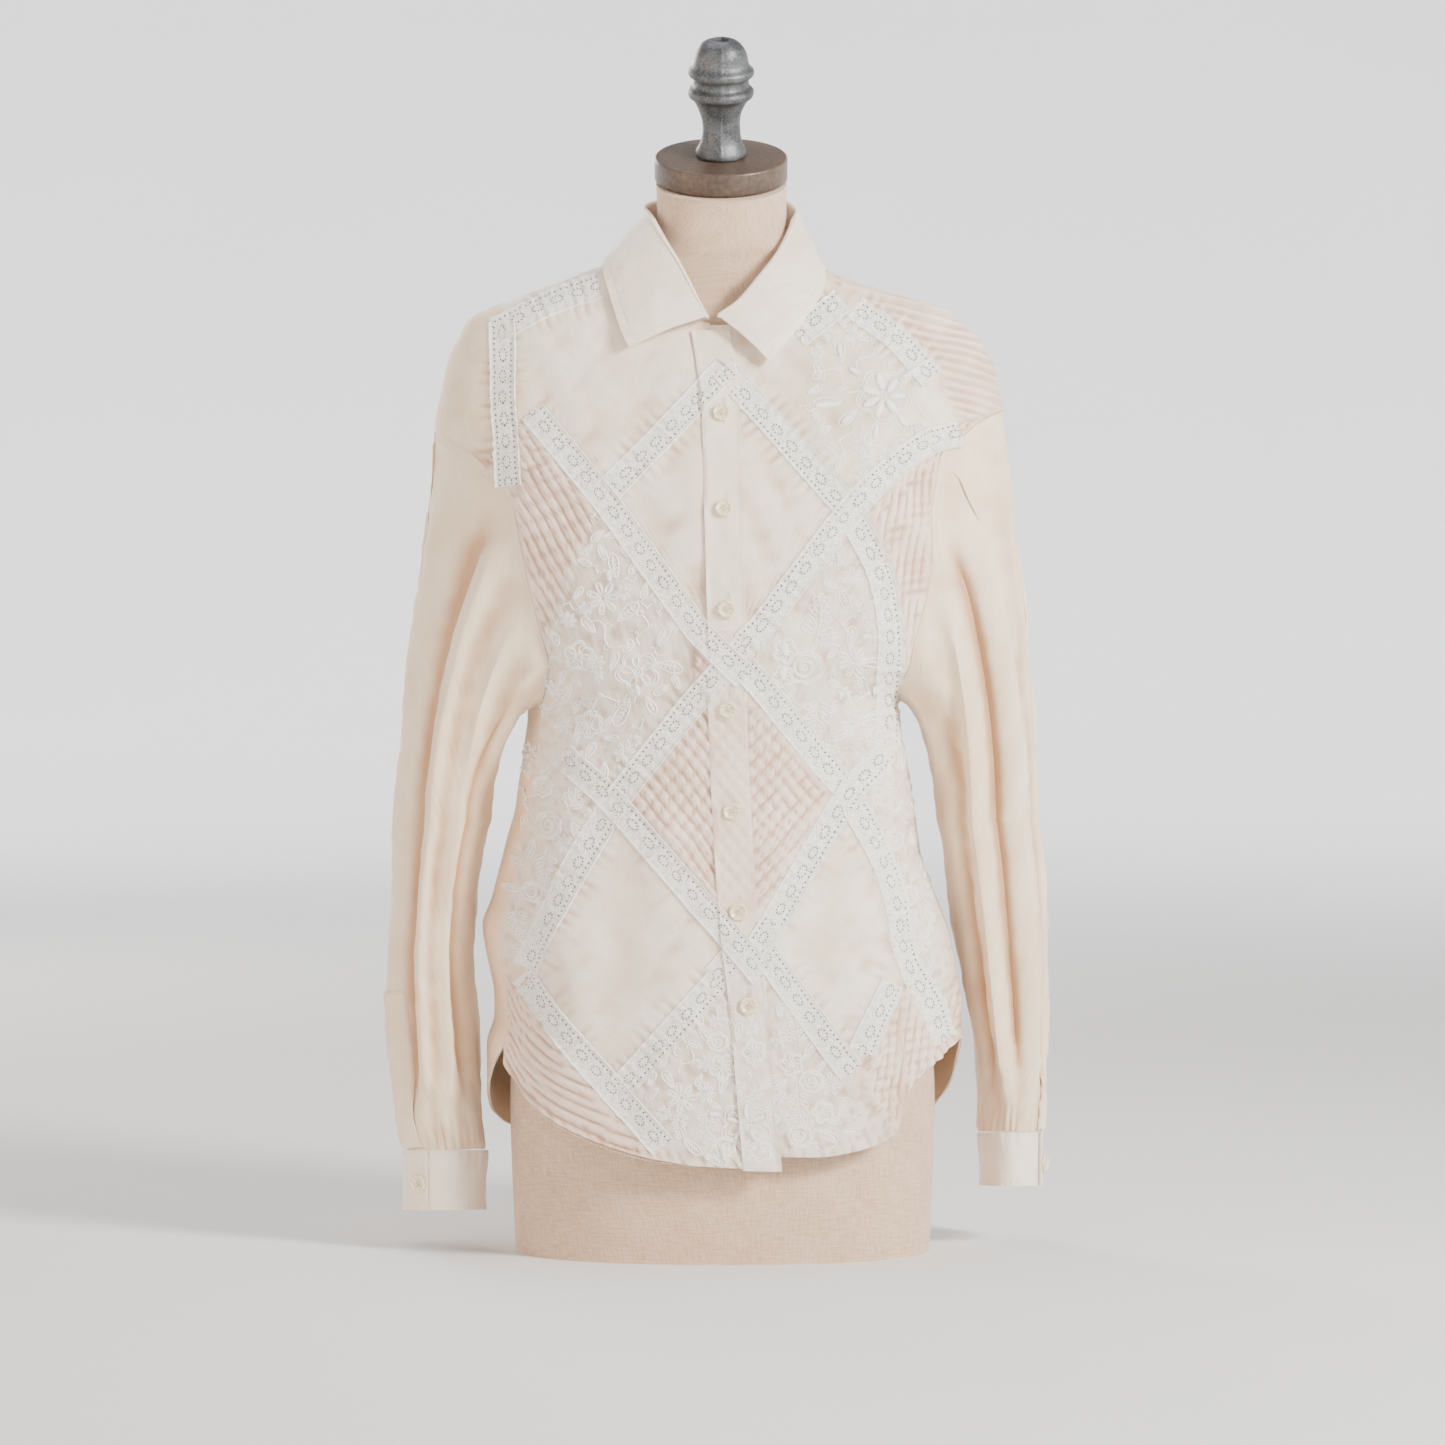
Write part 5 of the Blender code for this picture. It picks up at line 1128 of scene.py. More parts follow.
# %% Thread maker
def threads_mesh(name, paths, radius, finish, sides=4, flat=0.8):
    """One mesh of tubes from (points, outs) pairs; a path that ends where it starts is a closed loop."""
    turn = np.linspace(0, 2 * math.pi, sides, endpoint=False)
    points, faces, base = [], [], 0
    for path, outs in paths:
        loop = np.linalg.norm(path[0] - path[-1]) < 1e-4
        if loop:
            path, outs = path[:-1], outs[:-1]
            way = unit(np.roll(path, -1, axis=0) - np.roll(path, 1, axis=0))
        else:
            way = unit(np.gradient(path, axis=0))
        across = unit(np.cross(way, outs))
        count = len(path)
        size = np.full(count, radius)
        if not loop:
            size[[0, -1]] *= 0.4
        spokes = (across[:, None] * np.cos(turn)[None, :, None] + outs[:, None] * (np.sin(turn) * flat)[None, :, None])
        points.append((path[:, None] + spokes * size[:, None, None]).reshape(-1, 3))
        i, k = np.meshgrid(np.arange(count if loop else count - 1), np.arange(sides), indexing="ij")
        j, m = (i + 1) % count, (k + 1) % sides
        quads = np.stack([i * sides + k, i * sides + m, j * sides + m, j * sides + k], axis=-1).reshape(-1, 4) + base
        faces += quads.tolist()
        if not loop:
            faces.append([base + n for n in range(sides)][::-1])
            faces.append([base + (count - 1) * sides + n for n in range(sides)])
        base += count * sides
    made = make_mesh(name, np.concatenate(points), faces, [finish], sharp=80)
    return made


def stitch_paths(path, outs, pitch=3.0, length=2.1, rise=0.3):
    """Short separate stitches along a path of points, each a little arch."""
    steps = runs(path)
    made = []
    for start in np.arange(0.3, steps[-1] - length, pitch):
        goal = start + np.linspace(0, length, 3)
        out = unit(read_at(goal, steps, outs))
        made.append((read_at(goal, steps, path) + out * (np.array((-0.1, 1.2, -0.1)) * rise)[:, None], out))
    return made


def on_front(x, z, lift=0.0):
    """Points and outward directions on the outermost cloth of the fronts."""
    x, z = np.asarray(x, float), np.asarray(z, float)
    return front_point(x, z, surface_lift(x, z) + lift), front_out(x, z)


# %% [markdown]
# ## Stitched seams on the fronts
# A row of stitches holds the folded edge of the patches beside every strip, a double row runs along the hem, and
# single rows run down the band's edges. Their thread is the shirt's cream.

# %% Seam stitches
def seam_lines(side):
    lines = []
    for strip in LACE:
        if strip.side != side:
            continue
        length = runs(strip.points)[-1]
        share = np.linspace(strip.trim_start, length - strip.trim_end, int(length)) / length
        at, way = path_at(strip.points, share)
        for offset in (-STRIP_HALF - 1.4, STRIP_HALF + 1.4):
            lines.append(at + np.stack((-way[:, 1], way[:, 0]), axis=-1) * offset)
    reach = np.linspace(14, 182, 260) if side == LEFT else np.linspace(-44, 170, 320)
    for over in (2.2, HEM_WIDTH - 0.8):
        hem = smooth(FRONT_HEM[side], "x", "z", reach) + over
        lines.append(np.stack((side * reach, hem), axis=-1))
    if side == RIGHT:
        z = np.linspace(80, 728, 500)
        for offset in (-BAND_HALF + 1.6, BAND_HALF - 2.2):
            lines.append(np.stack((band_middle(z) + offset, z), axis=-1))
    return lines


for side, name in SIDES:
    paths = []
    for line in seam_lines(side):
        if side == LEFT:
            line = line[line[:, 0] > band_middle(line[:, 1]) + BAND_HALF + 1]
        if len(line) > 8:
            paths += stitch_paths(*on_front(line[:, 0], line[:, 1], 0.05))
    threads_mesh(f"front_{name}_seam_stitches", paths, 0.34, THREAD)
    print("stitches on the", name, "front:", len(paths))

# %% [markdown]
# ## Motifs of the embroidery
# The white embroidery is ordinary flowers and leaves. A few small functions draw them as flat outlines one unit
# wide: teardrop petals, a scalloped blossom, a leaf with its vein, a fern, a rose of curling arcs and a tendril.
# Tables then set them out over the patches, each with its size and turn, and the outlines become threads.

# %% Flat motifs
def oval(cx, cy, rx, ry, points=20, lobes=0, depth=0.0):
    t = np.linspace(0, 2 * math.pi, points + 1)
    r = 1 - depth + depth * np.abs(np.sin(lobes * t / 2)) if lobes else 1.0
    return np.stack((cx + rx * r * np.cos(t), cy + ry * r * np.sin(t)), axis=-1)


def petal(degrees, start, length, width, points=14):
    """A teardrop loop that points away from the middle."""
    t = np.linspace(0, 2 * math.pi, points + 1)
    along = start + (length - start) * (1 - np.cos(t)) / 2
    across = width * np.sin(t) * np.sin(t / 2) ** 0.8
    a = math.radians(degrees)
    return np.stack((along * math.cos(a) - across * math.sin(a), along * math.sin(a) + across * math.cos(a)), axis=-1)


def blossom(petals=5, points=60):
    drawn = [oval(0, 0, 0.5, 0.5, points, petals, 0.28), oval(0, 0, 0.43, 0.43, points, petals, 0.26)]
    drawn += [petal(90 + 360 * n / petals, 0.1, 0.36, 0.09) for n in range(petals)]
    return drawn + [oval(0, 0, 0.1, 0.1, 10), oval(0, 0, 0.05, 0.05, 8)]


def daisy(petals=7):
    loops = [petal(90 + 360 * n / petals, 0.09, 0.5, 0.11) for n in range(petals)]
    loops += [petal(90 + 360 * n / petals, 0.14, 0.42, 0.06) for n in range(petals)]
    return loops + [oval(0, 0, 0.09, 0.09, 10)]


def leaf():
    t = np.linspace(0, 1, 9)
    vein = np.stack((t * 0.9 - 0.5, 0.03 * np.sin(t * 3)), axis=-1)
    ribs = [np.array([(at, 0), (at + 0.1, flip * 0.11)]) for at in (-0.3, -0.15, 0.0, 0.15) for flip in (-1, 1)]
    ribs = [np.linspace(rib[0], rib[1], 3) for rib in ribs]
    return [petal(0, -0.5, 0.5, 0.24, 20), vein] + ribs


def fern(pairs=4):
    drawn = [np.stack((0.04 * np.sin(np.linspace(0, 3, 10)), np.linspace(-0.5, 0.35, 10)), axis=-1)]
    for n in range(pairs):
        for flip in (-1, 1):
            for scale in (1.0, 0.62):
                loop = petal(90 - flip * (62 - 10 * n), 0.03, (0.36 - 0.03 * n) * scale, 0.075 * scale)
                drawn.append(loop + np.array((0, -0.32 + 0.19 * n)))
    return drawn + [petal(90, 0.3, 0.55, 0.07)]


def rose():
    drawn = [oval(0, 0, 0.5, 0.46, 56, 7, 0.14), oval(0, 0, 0.43, 0.4, 56, 7, 0.14)]
    for radius, start, sweep in ((0.33, 20, 250), (0.25, 160, 260), (0.17, 300, 280), (0.09, 80, 300)):
        t = np.radians(np.linspace(start, start + sweep, 20))
        grow = radius * np.linspace(1.0, 0.8, 20)
        drawn.append(np.stack((grow * np.cos(t), grow * np.sin(t)), axis=-1))
    return drawn


def tendril():
    t = np.linspace(0, 1, 26)
    bend = np.stack((t - 0.5, 0.16 * np.sin(t * 7)), axis=-1)
    curl = np.radians(np.linspace(0, 400, 18))
    shrink = np.linspace(0.13, 0.03, 18)
    hook = np.stack((0.5 + shrink * np.sin(curl), 0.2 - shrink * np.cos(curl)), axis=-1)
    return [bend, hook, petal(50, 0.0, 0.2, 0.05) + (-0.2, 0.1), petal(-60, 0.0, 0.2, 0.05) + (0.1, -0.1)]


MOTIFS = {"blossom": blossom(), "six": blossom(6), "daisy": daisy(), "leaf": leaf(), "fern": fern(), "rose": rose(),
          "tendril": tendril()}
print("outlines in each motif:", {key: len(drawn) for key, drawn in MOTIFS.items()})

# %% Where the motifs lie, in millimetres of the front view
Motif = namedtuple("Motif", "kind x z size turn")
EMBROIDERY = {
    "outline_flowers_right": [
        Motif("blossom", -66, 466, 34, 10), Motif("daisy", -93, 523, 26, 20), Motif("leaf", -84, 548, 20, 100),
        Motif("leaf", -74, 512, 22, 40), Motif("leaf", -42, 470, 22, -15), Motif("blossom", -112, 478, 24, 50),
        Motif("tendril", -90, 494, 34, -40), Motif("leaf", -104, 502, 16, 130), Motif("six", -104, 424, 22, 0),
        Motif("leaf", -78, 434, 24, -120), Motif("daisy", -76, 402, 18, 30), Motif("tendril", -88, 444, 30, 200),
        Motif("leaf", -122, 448, 20, 240), Motif("daisy", -124, 424, 16, 0), Motif("leaf", -56, 440, 16, -60),
        Motif("leaf", -46, 494, 18, 60), Motif("tendril", -62, 498, 24, 80), Motif("daisy", -132, 452, 14, 15),
        Motif("leaf", -92, 388, 14, -90), Motif("leaf", -114, 400, 14, 200), Motif("daisy", -140, 434, 12, 0),
    ],
    "side_roses_right": [
        Motif("rose", -136, 344, 24, 0), Motif("rose", -140, 374, 18, 40), Motif("fern", -116, 366, 26, -20),
        Motif("fern", -138, 312, 30, 170), Motif("daisy", -122, 330, 16, 0), Motif("leaf", -150, 326, 16, 250),
        Motif("leaf", -112, 340, 16, -60), Motif("rose", -150, 292, 18, 0), Motif("fern", -162, 268, 26, 190),
        Motif("leaf", -128, 392, 18, 110), Motif("daisy", -152, 400, 16, 0), Motif("leaf", -148, 268, 14, -100),
        Motif("tendril", -126, 300, 22, -70), Motif("daisy", -160, 246, 14, 0),
    ],
    "soutache_ferns_left": [
        Motif("rose", 64, 469, 30, 0), Motif("fern", 74, 506, 38, -8), Motif("fern", 74, 430, 36, 172),
        Motif("blossom", 48, 482, 20, 30), Motif("blossom", 47, 462, 18, 0), Motif("daisy", 82, 488, 14, 0),
        Motif("leaf", 52, 446, 16, -120),
    ],
    "outline_sprays_left": [
        Motif("daisy", 102, 474, 26, 10), Motif("leaf", 116, 472, 20, 0), Motif("leaf", 100, 492, 18, 80),
        Motif("leaf", 106, 456, 16, -70), Motif("daisy", 104, 424, 26, 40), Motif("leaf", 92, 416, 18, 200),
        Motif("leaf", 118, 430, 18, 10), Motif("tendril", 110, 446, 22, 70), Motif("blossom", 120, 412, 18, 0),
        Motif("fern", 88, 556, 26, 5), Motif("daisy", 100, 538, 18, 0), Motif("leaf", 94, 524, 18, -70),
        Motif("leaf", 108, 520, 16, 240), Motif("tendril", 98, 506, 22, 260), Motif("leaf", 124, 448, 14, 60),
        Motif("daisy", 116, 494, 14, 0), Motif("leaf", 86, 404, 16, -40), Motif("daisy", 126, 466, 12, 20),
    ],
    "side_roses_left": [
        Motif("rose", 134, 332, 20, 0), Motif("fern", 138, 306, 26, 175), Motif("leaf", 130, 352, 16, 80),
        Motif("rose", 146, 288, 18, 0), Motif("leaf", 150, 270, 16, -80), Motif("daisy", 126, 372, 16, 0),
        Motif("leaf", 140, 358, 14, 40), Motif("leaf", 152, 304, 14, 60), Motif("daisy", 158, 250, 16, 0),
        Motif("leaf", 140, 392, 16, 90), Motif("daisy", 134, 408, 14, 0), Motif("tendril", 140, 378, 18, 90),
        Motif("leaf", 164, 232, 14, -90),
    ],
    "organza_flower_outlines": [
        Motif("blossom", 126, 681, 44, 15), Motif("leaf", 82, 676, 22, 185), Motif("leaf", 98, 664, 18, 220),
        Motif("tendril", 92, 694, 34, 150), Motif("leaf", 76, 700, 18, 110), Motif("leaf", 92, 716, 20, 95),
        Motif("daisy", 104, 728, 16, 0), Motif("tendril", 112, 712, 26, 60), Motif("leaf", 148, 700, 18, 30),
        Motif("leaf", 140, 660, 20, -50), Motif("daisy", 110, 640, 18, 10), Motif("leaf", 118, 652, 16, -100),
        Motif("tendril", 96, 648, 24, 250), Motif("leaf", 92, 630, 14, 240), Motif("daisy", 74, 716, 12, 0),
    ],
    "hem_flowers_right": [
        Motif("six", 18, 114, 42, 0), Motif("blossom", 0, 158, 22, 20), Motif("blossom", 24, 170, 20, 0),
        Motif("rose", -4, 178, 17, 0), Motif("daisy", -32, 134, 24, 15), Motif("fern", -34, 114, 22, 180),
        Motif("daisy", -13, 138, 16, 0), Motif("fern", -12, 114, 24, 178), Motif("leaf", -24, 96, 18, -40),
        Motif("rose", 2, 96, 17, 0), Motif("leaf", -6, 86, 18, -20), Motif("leaf", 34, 146, 16, 40),
        Motif("tendril", -28, 162, 22, 60), Motif("leaf", -42, 148, 16, 120), Motif("blossom", 30, 92, 18, 0),
        Motif("leaf", 12, 186, 14, 80), Motif("leaf", -18, 196, 16, 100), Motif("daisy", -46, 122, 12, 0),
        Motif("tendril", 10, 86, 22, 0), Motif("leaf", 36, 128, 14, 80), Motif("daisy", 12, 142, 12, 0),
    ],
    "hem_flowers_left": [
        Motif("fern", 58, 186, 28, 10), Motif("blossom", 54, 160, 20, 0), Motif("rose", 70, 146, 20, 0),
        Motif("fern", 60, 128, 28, 188), Motif("blossom", 78, 122, 18, 0), Motif("rose", 60, 104, 20, 0),
        Motif("daisy", 84, 144, 18, 0), Motif("leaf", 82, 104, 18, -30), Motif("leaf", 94, 126, 16, 60),
        Motif("daisy", 44, 180, 14, 0), Motif("leaf", 68, 170, 16, 60), Motif("tendril", 76, 94, 22, 0),
        Motif("leaf", 100, 106, 14, 0), Motif("daisy", 52, 204, 14, 0), Motif("leaf", 44, 202, 12, 90),
    ],
}
SOUTACHE = {"soutache_ferns_left"}


def placed(row, drawn, step=1.4):
    """An outline turned, sized and moved to its place, with points a step apart."""
    a = math.radians(row.turn)
    spin = np.array([(math.cos(a), math.sin(a)), (-math.sin(a), math.cos(a))])
    flat = drawn @ spin * row.size + (row.x, row.z)
    along = runs(flat)
    return read_at(np.linspace(0, along[-1], max(int(along[-1] / step), 4) + 1), along, flat)


FILL = {      # corners of the ground that small sprigs fill, and how far apart they stand
    "outline_flowers_right": [(-96, 588), (-36, 508), (-34, 455), (-85, 381), (-118, 402), (-150, 446)],
    "side_roses_right": [(-124, 386), (-96, 352), (-150, 246), (-176, 250), (-150, 410)],
    "outline_sprays_left": [(92, 566), (116, 520), (122, 470), (140, 430), (112, 398), (86, 400), (84, 540)],
    "side_roses_left": [(126, 386), (112, 350), (142, 262), (172, 226), (150, 420)],
    "organza_flower_outlines": [(70, 724), (98, 742), (150, 694), (164, 664), (104, 612), (62, 664)],
    "hem_flowers_right": [(-8, 208), (-62, 144), (-42, 96), (36, 84), (36, 140), (20, 210)],
    "hem_flowers_left": [(44, 208), (92, 142), (110, 108), (56, 94), (44, 120)],
}
FILL_STEP, FILL_SEED = 11.0, 17
draw = np.random.default_rng(FILL_SEED)


def sprigs(rows, corners):
    """Small leaves, daisies and tendrils on the free ground between the motifs of a table."""
    low, high = np.min(corners, axis=0), np.max(corners, axis=0)
    kept = []
    for x, z in draw.uniform(low, high, size=(900, 2)):
        apart = [math.hypot(x - row.x, z - row.z) - row.size * 0.42 for row in rows + kept]
        if min(apart) > FILL_STEP * 0.42 and inside(corners, np.array([x]), np.array([z]))[0]:
            kind = ("leaf", "daisy", "tendril", "leaf")[len(kept) % 4]
            kept.append(Motif(kind, x, z, draw.uniform(0.9, 1.3) * FILL_STEP, draw.uniform(0, 360)))
    return kept


embroidery = {RIGHT: [], LEFT: []}
for name, rows in EMBROIDERY.items():
    braid = name in SOUTACHE
    rows = rows + (sprigs(rows, FILL[name]) if name in FILL else [])
    paths = []
    for row in rows:
        for drawn in MOTIFS[row.kind]:
            flat = placed(row, drawn)
            paths.append(on_front(flat[:, 0], flat[:, 1], 0.15))
    made = threads_mesh(name, paths, 0.85 if braid else 0.68, BRAID if braid else FLOSS, flat=0.95)
    embroidery[RIGHT if name.endswith("right") else LEFT].append(made)
    print(name, "threads:", len(paths), "faces:", len(made.data.polygons))

# %% [markdown]
# ## Satin stitch
# The big flower on the organza and the one at the hem have filled petals: threads laid side by side across each
# petal, which shine because they all run one way. Each thread is a short tube, higher in its middle.

# %% Satin petals
Satin = namedtuple("Satin", "x z length width turn")
SATIN = {
    "satin_petals_left": [
        *[Satin(126 + 11 * math.cos(a), 681 + 11 * math.sin(a), 13, 6.5, math.degrees(a))
          for a in np.radians([0, 52, 105, 160, 205, 250, 305])],
        Satin(80, 674, 15, 6, 185), Satin(146, 699, 11, 5, 30), Satin(141, 661, 12, 5, -50), Satin(97, 663, 11, 5, 220),
        Satin(104, 700, 10, 5, 150), Satin(119, 652, 9, 4, -100), Satin(92, 716, 10, 4, 95),
        Satin(48, 484, 11, 7, 100), Satin(47, 466, 11, 7, 80), Satin(120, 450, 7, 4, 60),
    ],
    "satin_petals_right": [
        *[Satin(18 + 10.5 * math.cos(a), 114 + 10.5 * math.sin(a), 10, 4.2, math.degrees(a))
          for a in np.radians([20, 90, 165, 235, 300])],
        Satin(-6, 121, 9, 4.5, 170), Satin(0, 92, 9, 4, 100), Satin(-88, 541, 9, 5, 95), Satin(-66, 452, 9, 5, -80),
    ],
}
for name, rows in SATIN.items():
    paths = []
    for row in rows:
        a = math.radians(row.turn)
        for t in np.arange(-0.46, 0.47, 0.62 / row.length):
            half = row.width / 2 * math.sqrt(max(1 - (2 * t) ** 2, 0.02))
            v = np.linspace(-half, half, 5)
            u = row.length * t + 0.35 * v
            x = row.x + u * math.cos(a) - v * math.sin(a)
            z = row.z + u * math.sin(a) + v * math.cos(a)
            paths.append(on_front(x, z, 0.3 + 1.3 * (1 - (v / (half + 0.2)) ** 2)))
    made = threads_mesh(name, paths, 0.42, FLOSS)
    embroidery[RIGHT if name.endswith("right") else LEFT].append(made)
    print(name, "threads:", len(paths))

# %% [markdown]
# ## The collar
# Stand and fall are one piece of double cotton that is folded over a soft roll. Its profile has eight points at
# each station round the neck, as in the part, and smooth curves run through them in both directions. Where the
# fall would cut into the cloth under it, rays find the gap and push it out.

# %% Collar curves
Station = namedtuple("Station", "seam roll edge_x edge_z face lift")
COLLAR = [
    Station(2, (-13, -82, 745), -73, 716, "front", 7), Station(6, (-22, -78, 760), -80, 733, "front", 7),
    Station(14, (-34, -68, 783), -86, 751, "front", 6), Station(28, (-47, -52, 805), -91, 770, "front", 5),
    Station(60, (-58, -22, 825), -94, 784, "front", 4), Station(100, (-62, 12, 835), -90, 780, "back", 4),
    Station(140, (-46, 46, 841), -60, 778, "back", 4), Station(180, (0, 62, 844), 0, 776, "back", 4),
    Station(220, (44, 46, 841), 56, 776, "back", 4), Station(260, (59, 12, 833), 77, 778, "back", 4),
    Station(300, (56, -22, 819), 79, 778, "front", 4), Station(332, (46, -52, 797), 78, 762, "front", 5),
    Station(346, (31, -68, 777), 66, 741, "front", 6), Station(354, (14, -78, 757), 52, 722, "front", 8),
    Station(359, (-3, -82, 745), 37, 703, "front", 9),
]
NECK_GAP, NECK_LEAN, FOLD_HALF, COLLAR_WALL, COLLAR_STITCH = 3.2, 0.4, 2.2, 1.8, 6.5


def neck_side(around):
    return np.where(around <= 180, RIGHT, LEFT), np.where(around <= 180, around, 360 - around)


def neck_point(around):
    side, angle = neck_side(around)
    return body_point(side, angle, neckline(angle))


def neck_seam(around):
    side, angle = neck_side(around)
    ahead = neck_point(np.minimum(around + 1, 360)) - neck_point(np.maximum(around - 1, 0))
    past = unit(np.cross(ahead, body_normal(side, angle, neckline(angle))))
    past = past * np.where(past[..., 2:] > 0, 1, -1)
    lean = neck_point(around) * (1, 1, 0)
    return neck_point(around) + past * NECK_GAP - unit(lean) * NECK_LEAN


def between(values, at):
    """Values at fractions of the way along an array of rows, on a smooth curve through them."""
    k = np.minimum(at.astype(int), len(values) - 2)
    s = (at - k).reshape(-1, *[1] * (values.ndim - 1))
    before, after = np.maximum(k - 1, 0), np.minimum(k + 2, len(values) - 1)
    p0, p1 = values[k], values[k + 1]
    m0 = np.where((k > 0).reshape(s.shape), (p1 - values[before]) / 2, p1 - p0)
    m1 = np.where((k + 2 < len(values)).reshape(s.shape), (values[after] - p0) / 2, p1 - p0)
    return hermite(s, p0, p1, m0, m1)


# %% Make the collar
def collar_middle(columns, rows):
    ways = len(COLLAR) - 1
    edge_side = np.array([RIGHT if row.edge_x < 0 else LEFT for row in COLLAR])
    edge_x, edge_z = np.array([row.edge_x for row in COLLAR], float), np.array([row.edge_z for row in COLLAR], float)
    edge_angle = angle_at(edge_side, edge_x, edge_z)
    edge_angle = np.where([row.face == "front" for row in COLLAR], edge_angle, 180 - edge_angle)
    edges = body_point(edge_side, edge_angle, edge_z, np.array([row.lift for row in COLLAR], float))
    at = np.linspace(0, ways, columns + 1)
    seam = neck_seam(between(np.array([row.seam for row in COLLAR], float), at))
    roll, edge = between(np.array([row.roll for row in COLLAR], float), at), between(edges, at)
    away = unit((edge - seam) * (1, 1, 0))
    away = away * FOLD_HALF * (0.6 + 0.4 * ease(np.minimum(at, ways - at)))[:, None]
    drop = np.array((0, 0, FOLD_HALF))
    ridge = roll + away
    profile = np.stack([seam, seam + (roll - away - seam) * 0.55, roll - away - drop, roll, ridge - drop,
                        ridge + (edge - ridge) * 0.4 + away * 0.8, ridge + (edge - ridge) * 0.75 + away * 0.8, edge])
    return np.swapaxes(between(profile, np.linspace(0, 7, rows + 1)), 0, 1)


def cloth_tree(objects):
    """A search tree over pieces that are already made, in millimetres."""
    points, faces = [], []
    for made in objects:
        base = len(points)
        points += [v.co / MM for v in made.data.vertices]
        faces += [[base + i for i in face.vertices] for face in made.data.polygons]
    return BVHTree.FromPolygons(points, faces)


def make_collar(columns=260, rows=64):
    middle = collar_middle(columns, rows)
    out = grid_normals(middle)
    under = cloth_tree([fronts[RIGHT][0], fronts[LEFT][0], back, band])
    first_fall = int(rows * 4.4 / 7)
    lack = np.zeros(middle.shape[:2])
    for i in range(columns + 1):
        for k in range(first_fall, rows + 1):
            at, way = Vector(middle[i, k]), Vector(out[i, k])
            hit = under.ray_cast(at + way * 14, -way, 28)[0]
            if hit is not None:
                lack[i, k] = max(COLLAR_WALL / 2 + 1.2 - (at - hit).dot(way), 0.0)
    for _ in range(6):
        padded = np.pad(lack, 1, mode="edge")
        spread = (padded[2:, 1:-1] + padded[:-2, 1:-1] + padded[1:-1, 2:] + padded[1:-1, :-2]) / 4
        lack = np.maximum(lack, spread * ease((np.arange(rows + 1) - first_fall + 6) / 8)[None, :])
    middle = middle + out * lack[..., None]
    out = grid_normals(middle)
    uv = arc_uv(middle)
    to_edge = uv[:, -1:, 0] - uv[..., 0]
    on_fall = ease((np.arange(rows + 1) - first_fall) / 10)[None, :]
    wave = (0.7 * waves(uv[..., 0], uv[..., 1], 46, 2) + 0.25 * waves(uv[..., 0], uv[..., 1], 15, 5)) * on_fall
    wave = wave * ease(to_edge / 8 + 0.2)
    groove = -0.35 * np.exp(-((to_edge - COLLAR_STITCH) / 0.9) ** 2) * on_fall
    outer = middle + out * (COLLAR_WALL / 2 + np.maximum(wave, -0.4) + groove)[..., None]
    made = shell("collar_cloth", outer, middle - out * (COLLAR_WALL / 2), uv, [SATEEN])
    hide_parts("collar")
    return made, cut_size(uv), outer, out, to_edge


collar, collar_size, collar_outer, collar_out, collar_edge = make_collar()
print("collar cut in metres:", [round(v, 3) for v in collar_size])

# %% Stitches along the collar's edge
def collar_row(distance):
    pick = np.abs(collar_edge - distance).argmin(axis=1)
    at = np.arange(len(pick))
    return collar_outer[at, pick], collar_out[at, pick]


top_line, top_out = collar_row(COLLAR_STITCH)
collar_paths = stitch_paths(top_line[6:-6], top_out[6:-6])
for end in (5, len(collar_outer) - 6):
    column = collar_outer[end, 42:-5]
    collar_paths += stitch_paths(column, collar_out[end, 42:-5])
collar_stitches = threads_mesh("collar_stitches", collar_paths, 0.32, THREAD)
print("collar stitches:", len(collar_paths))

# %% [markdown]
# ## Cuffs
# A cuff is a stiff band of two layers that laps over itself where it buttons. It has stitching near both edges
# and soft dents, because it was washed and never pressed flat.

# %% Make the cuffs
CUFF_HEIGHT, CUFF_END = {RIGHT: 48.0, LEFT: 43.0}, {RIGHT: 70.0, LEFT: 24.0}
CUFF_OVERLAP, CUFF_RISE_START, CUFF_RISE, CUFF_WALL, CUFF_PLAY, LAP_PLAY = 28.0, 318.0, 34.0, 2.0, 0.4, 0.6


def cuff_grid(side, levels, alongs):
    last = SLEEVE_RINGS[side][-1]
    axis = np.array((side * (last.outer + last.inner) / 2, last.centre, 0.0))
    ring = sleeve_ring(side, CUFF_END[side] - CUFF_OVERLAP + alongs, np.full(alongs.shape, float(last.z)))
    away = unit((ring - axis) * (1, 1, 0))
    lap = ease((alongs - CUFF_RISE_START) / CUFF_RISE) * (CUFF_WALL + LAP_PLAY)
    top = ring + away * (lap + CUFF_PLAY)[..., None]
    drop = CUFF_PLAY + CUFF_HEIGHT[side] * levels
    return top - drop[..., None] * np.array((0.0, 0.0, 1.0)), away


def make_cuff(side, name, rows=32, columns=220):
    levels, alongs = np.broadcast_arrays(np.linspace(0, 1, rows + 1)[:, None],
                                         np.linspace(0, 360 + CUFF_OVERLAP, columns + 1)[None, :])
    at, away = cuff_grid(side, levels, alongs)
    uv = arc_uv(at)
    across, down = uv[..., 0], uv[..., 1]
    free = ease((alongs - 34) / 14) * ease((CUFF_RISE_START - alongs) / 20)
    dents = 0.9 * waves(across, down / 2, 24, 5 + side) * ease((1 - levels) * 1.6)
    pleats = 0.8 * np.abs(np.sin(across * math.pi / 9.0)) * ease((0.45 - levels) / 0.4)
    hem = 0.25 * np.sin(across * 2 * math.pi / 5.0) * ease((levels - 0.86) / 0.1)
    rise = np.clip((dents + pleats) * free + hem, -0.2, 2.0)
    for line in (0.06, 0.94):
        rise = rise - 0.25 * np.exp(-((levels - line) / 0.018) ** 2)
    outer = at + away * rise[..., None]
    made = shell(name, outer, at - away * CUFF_WALL * 0.9, uv, [SATEEN])
    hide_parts("cuff_right" if side == RIGHT else "cuff_left")
    return made, cut_size(uv), outer, away


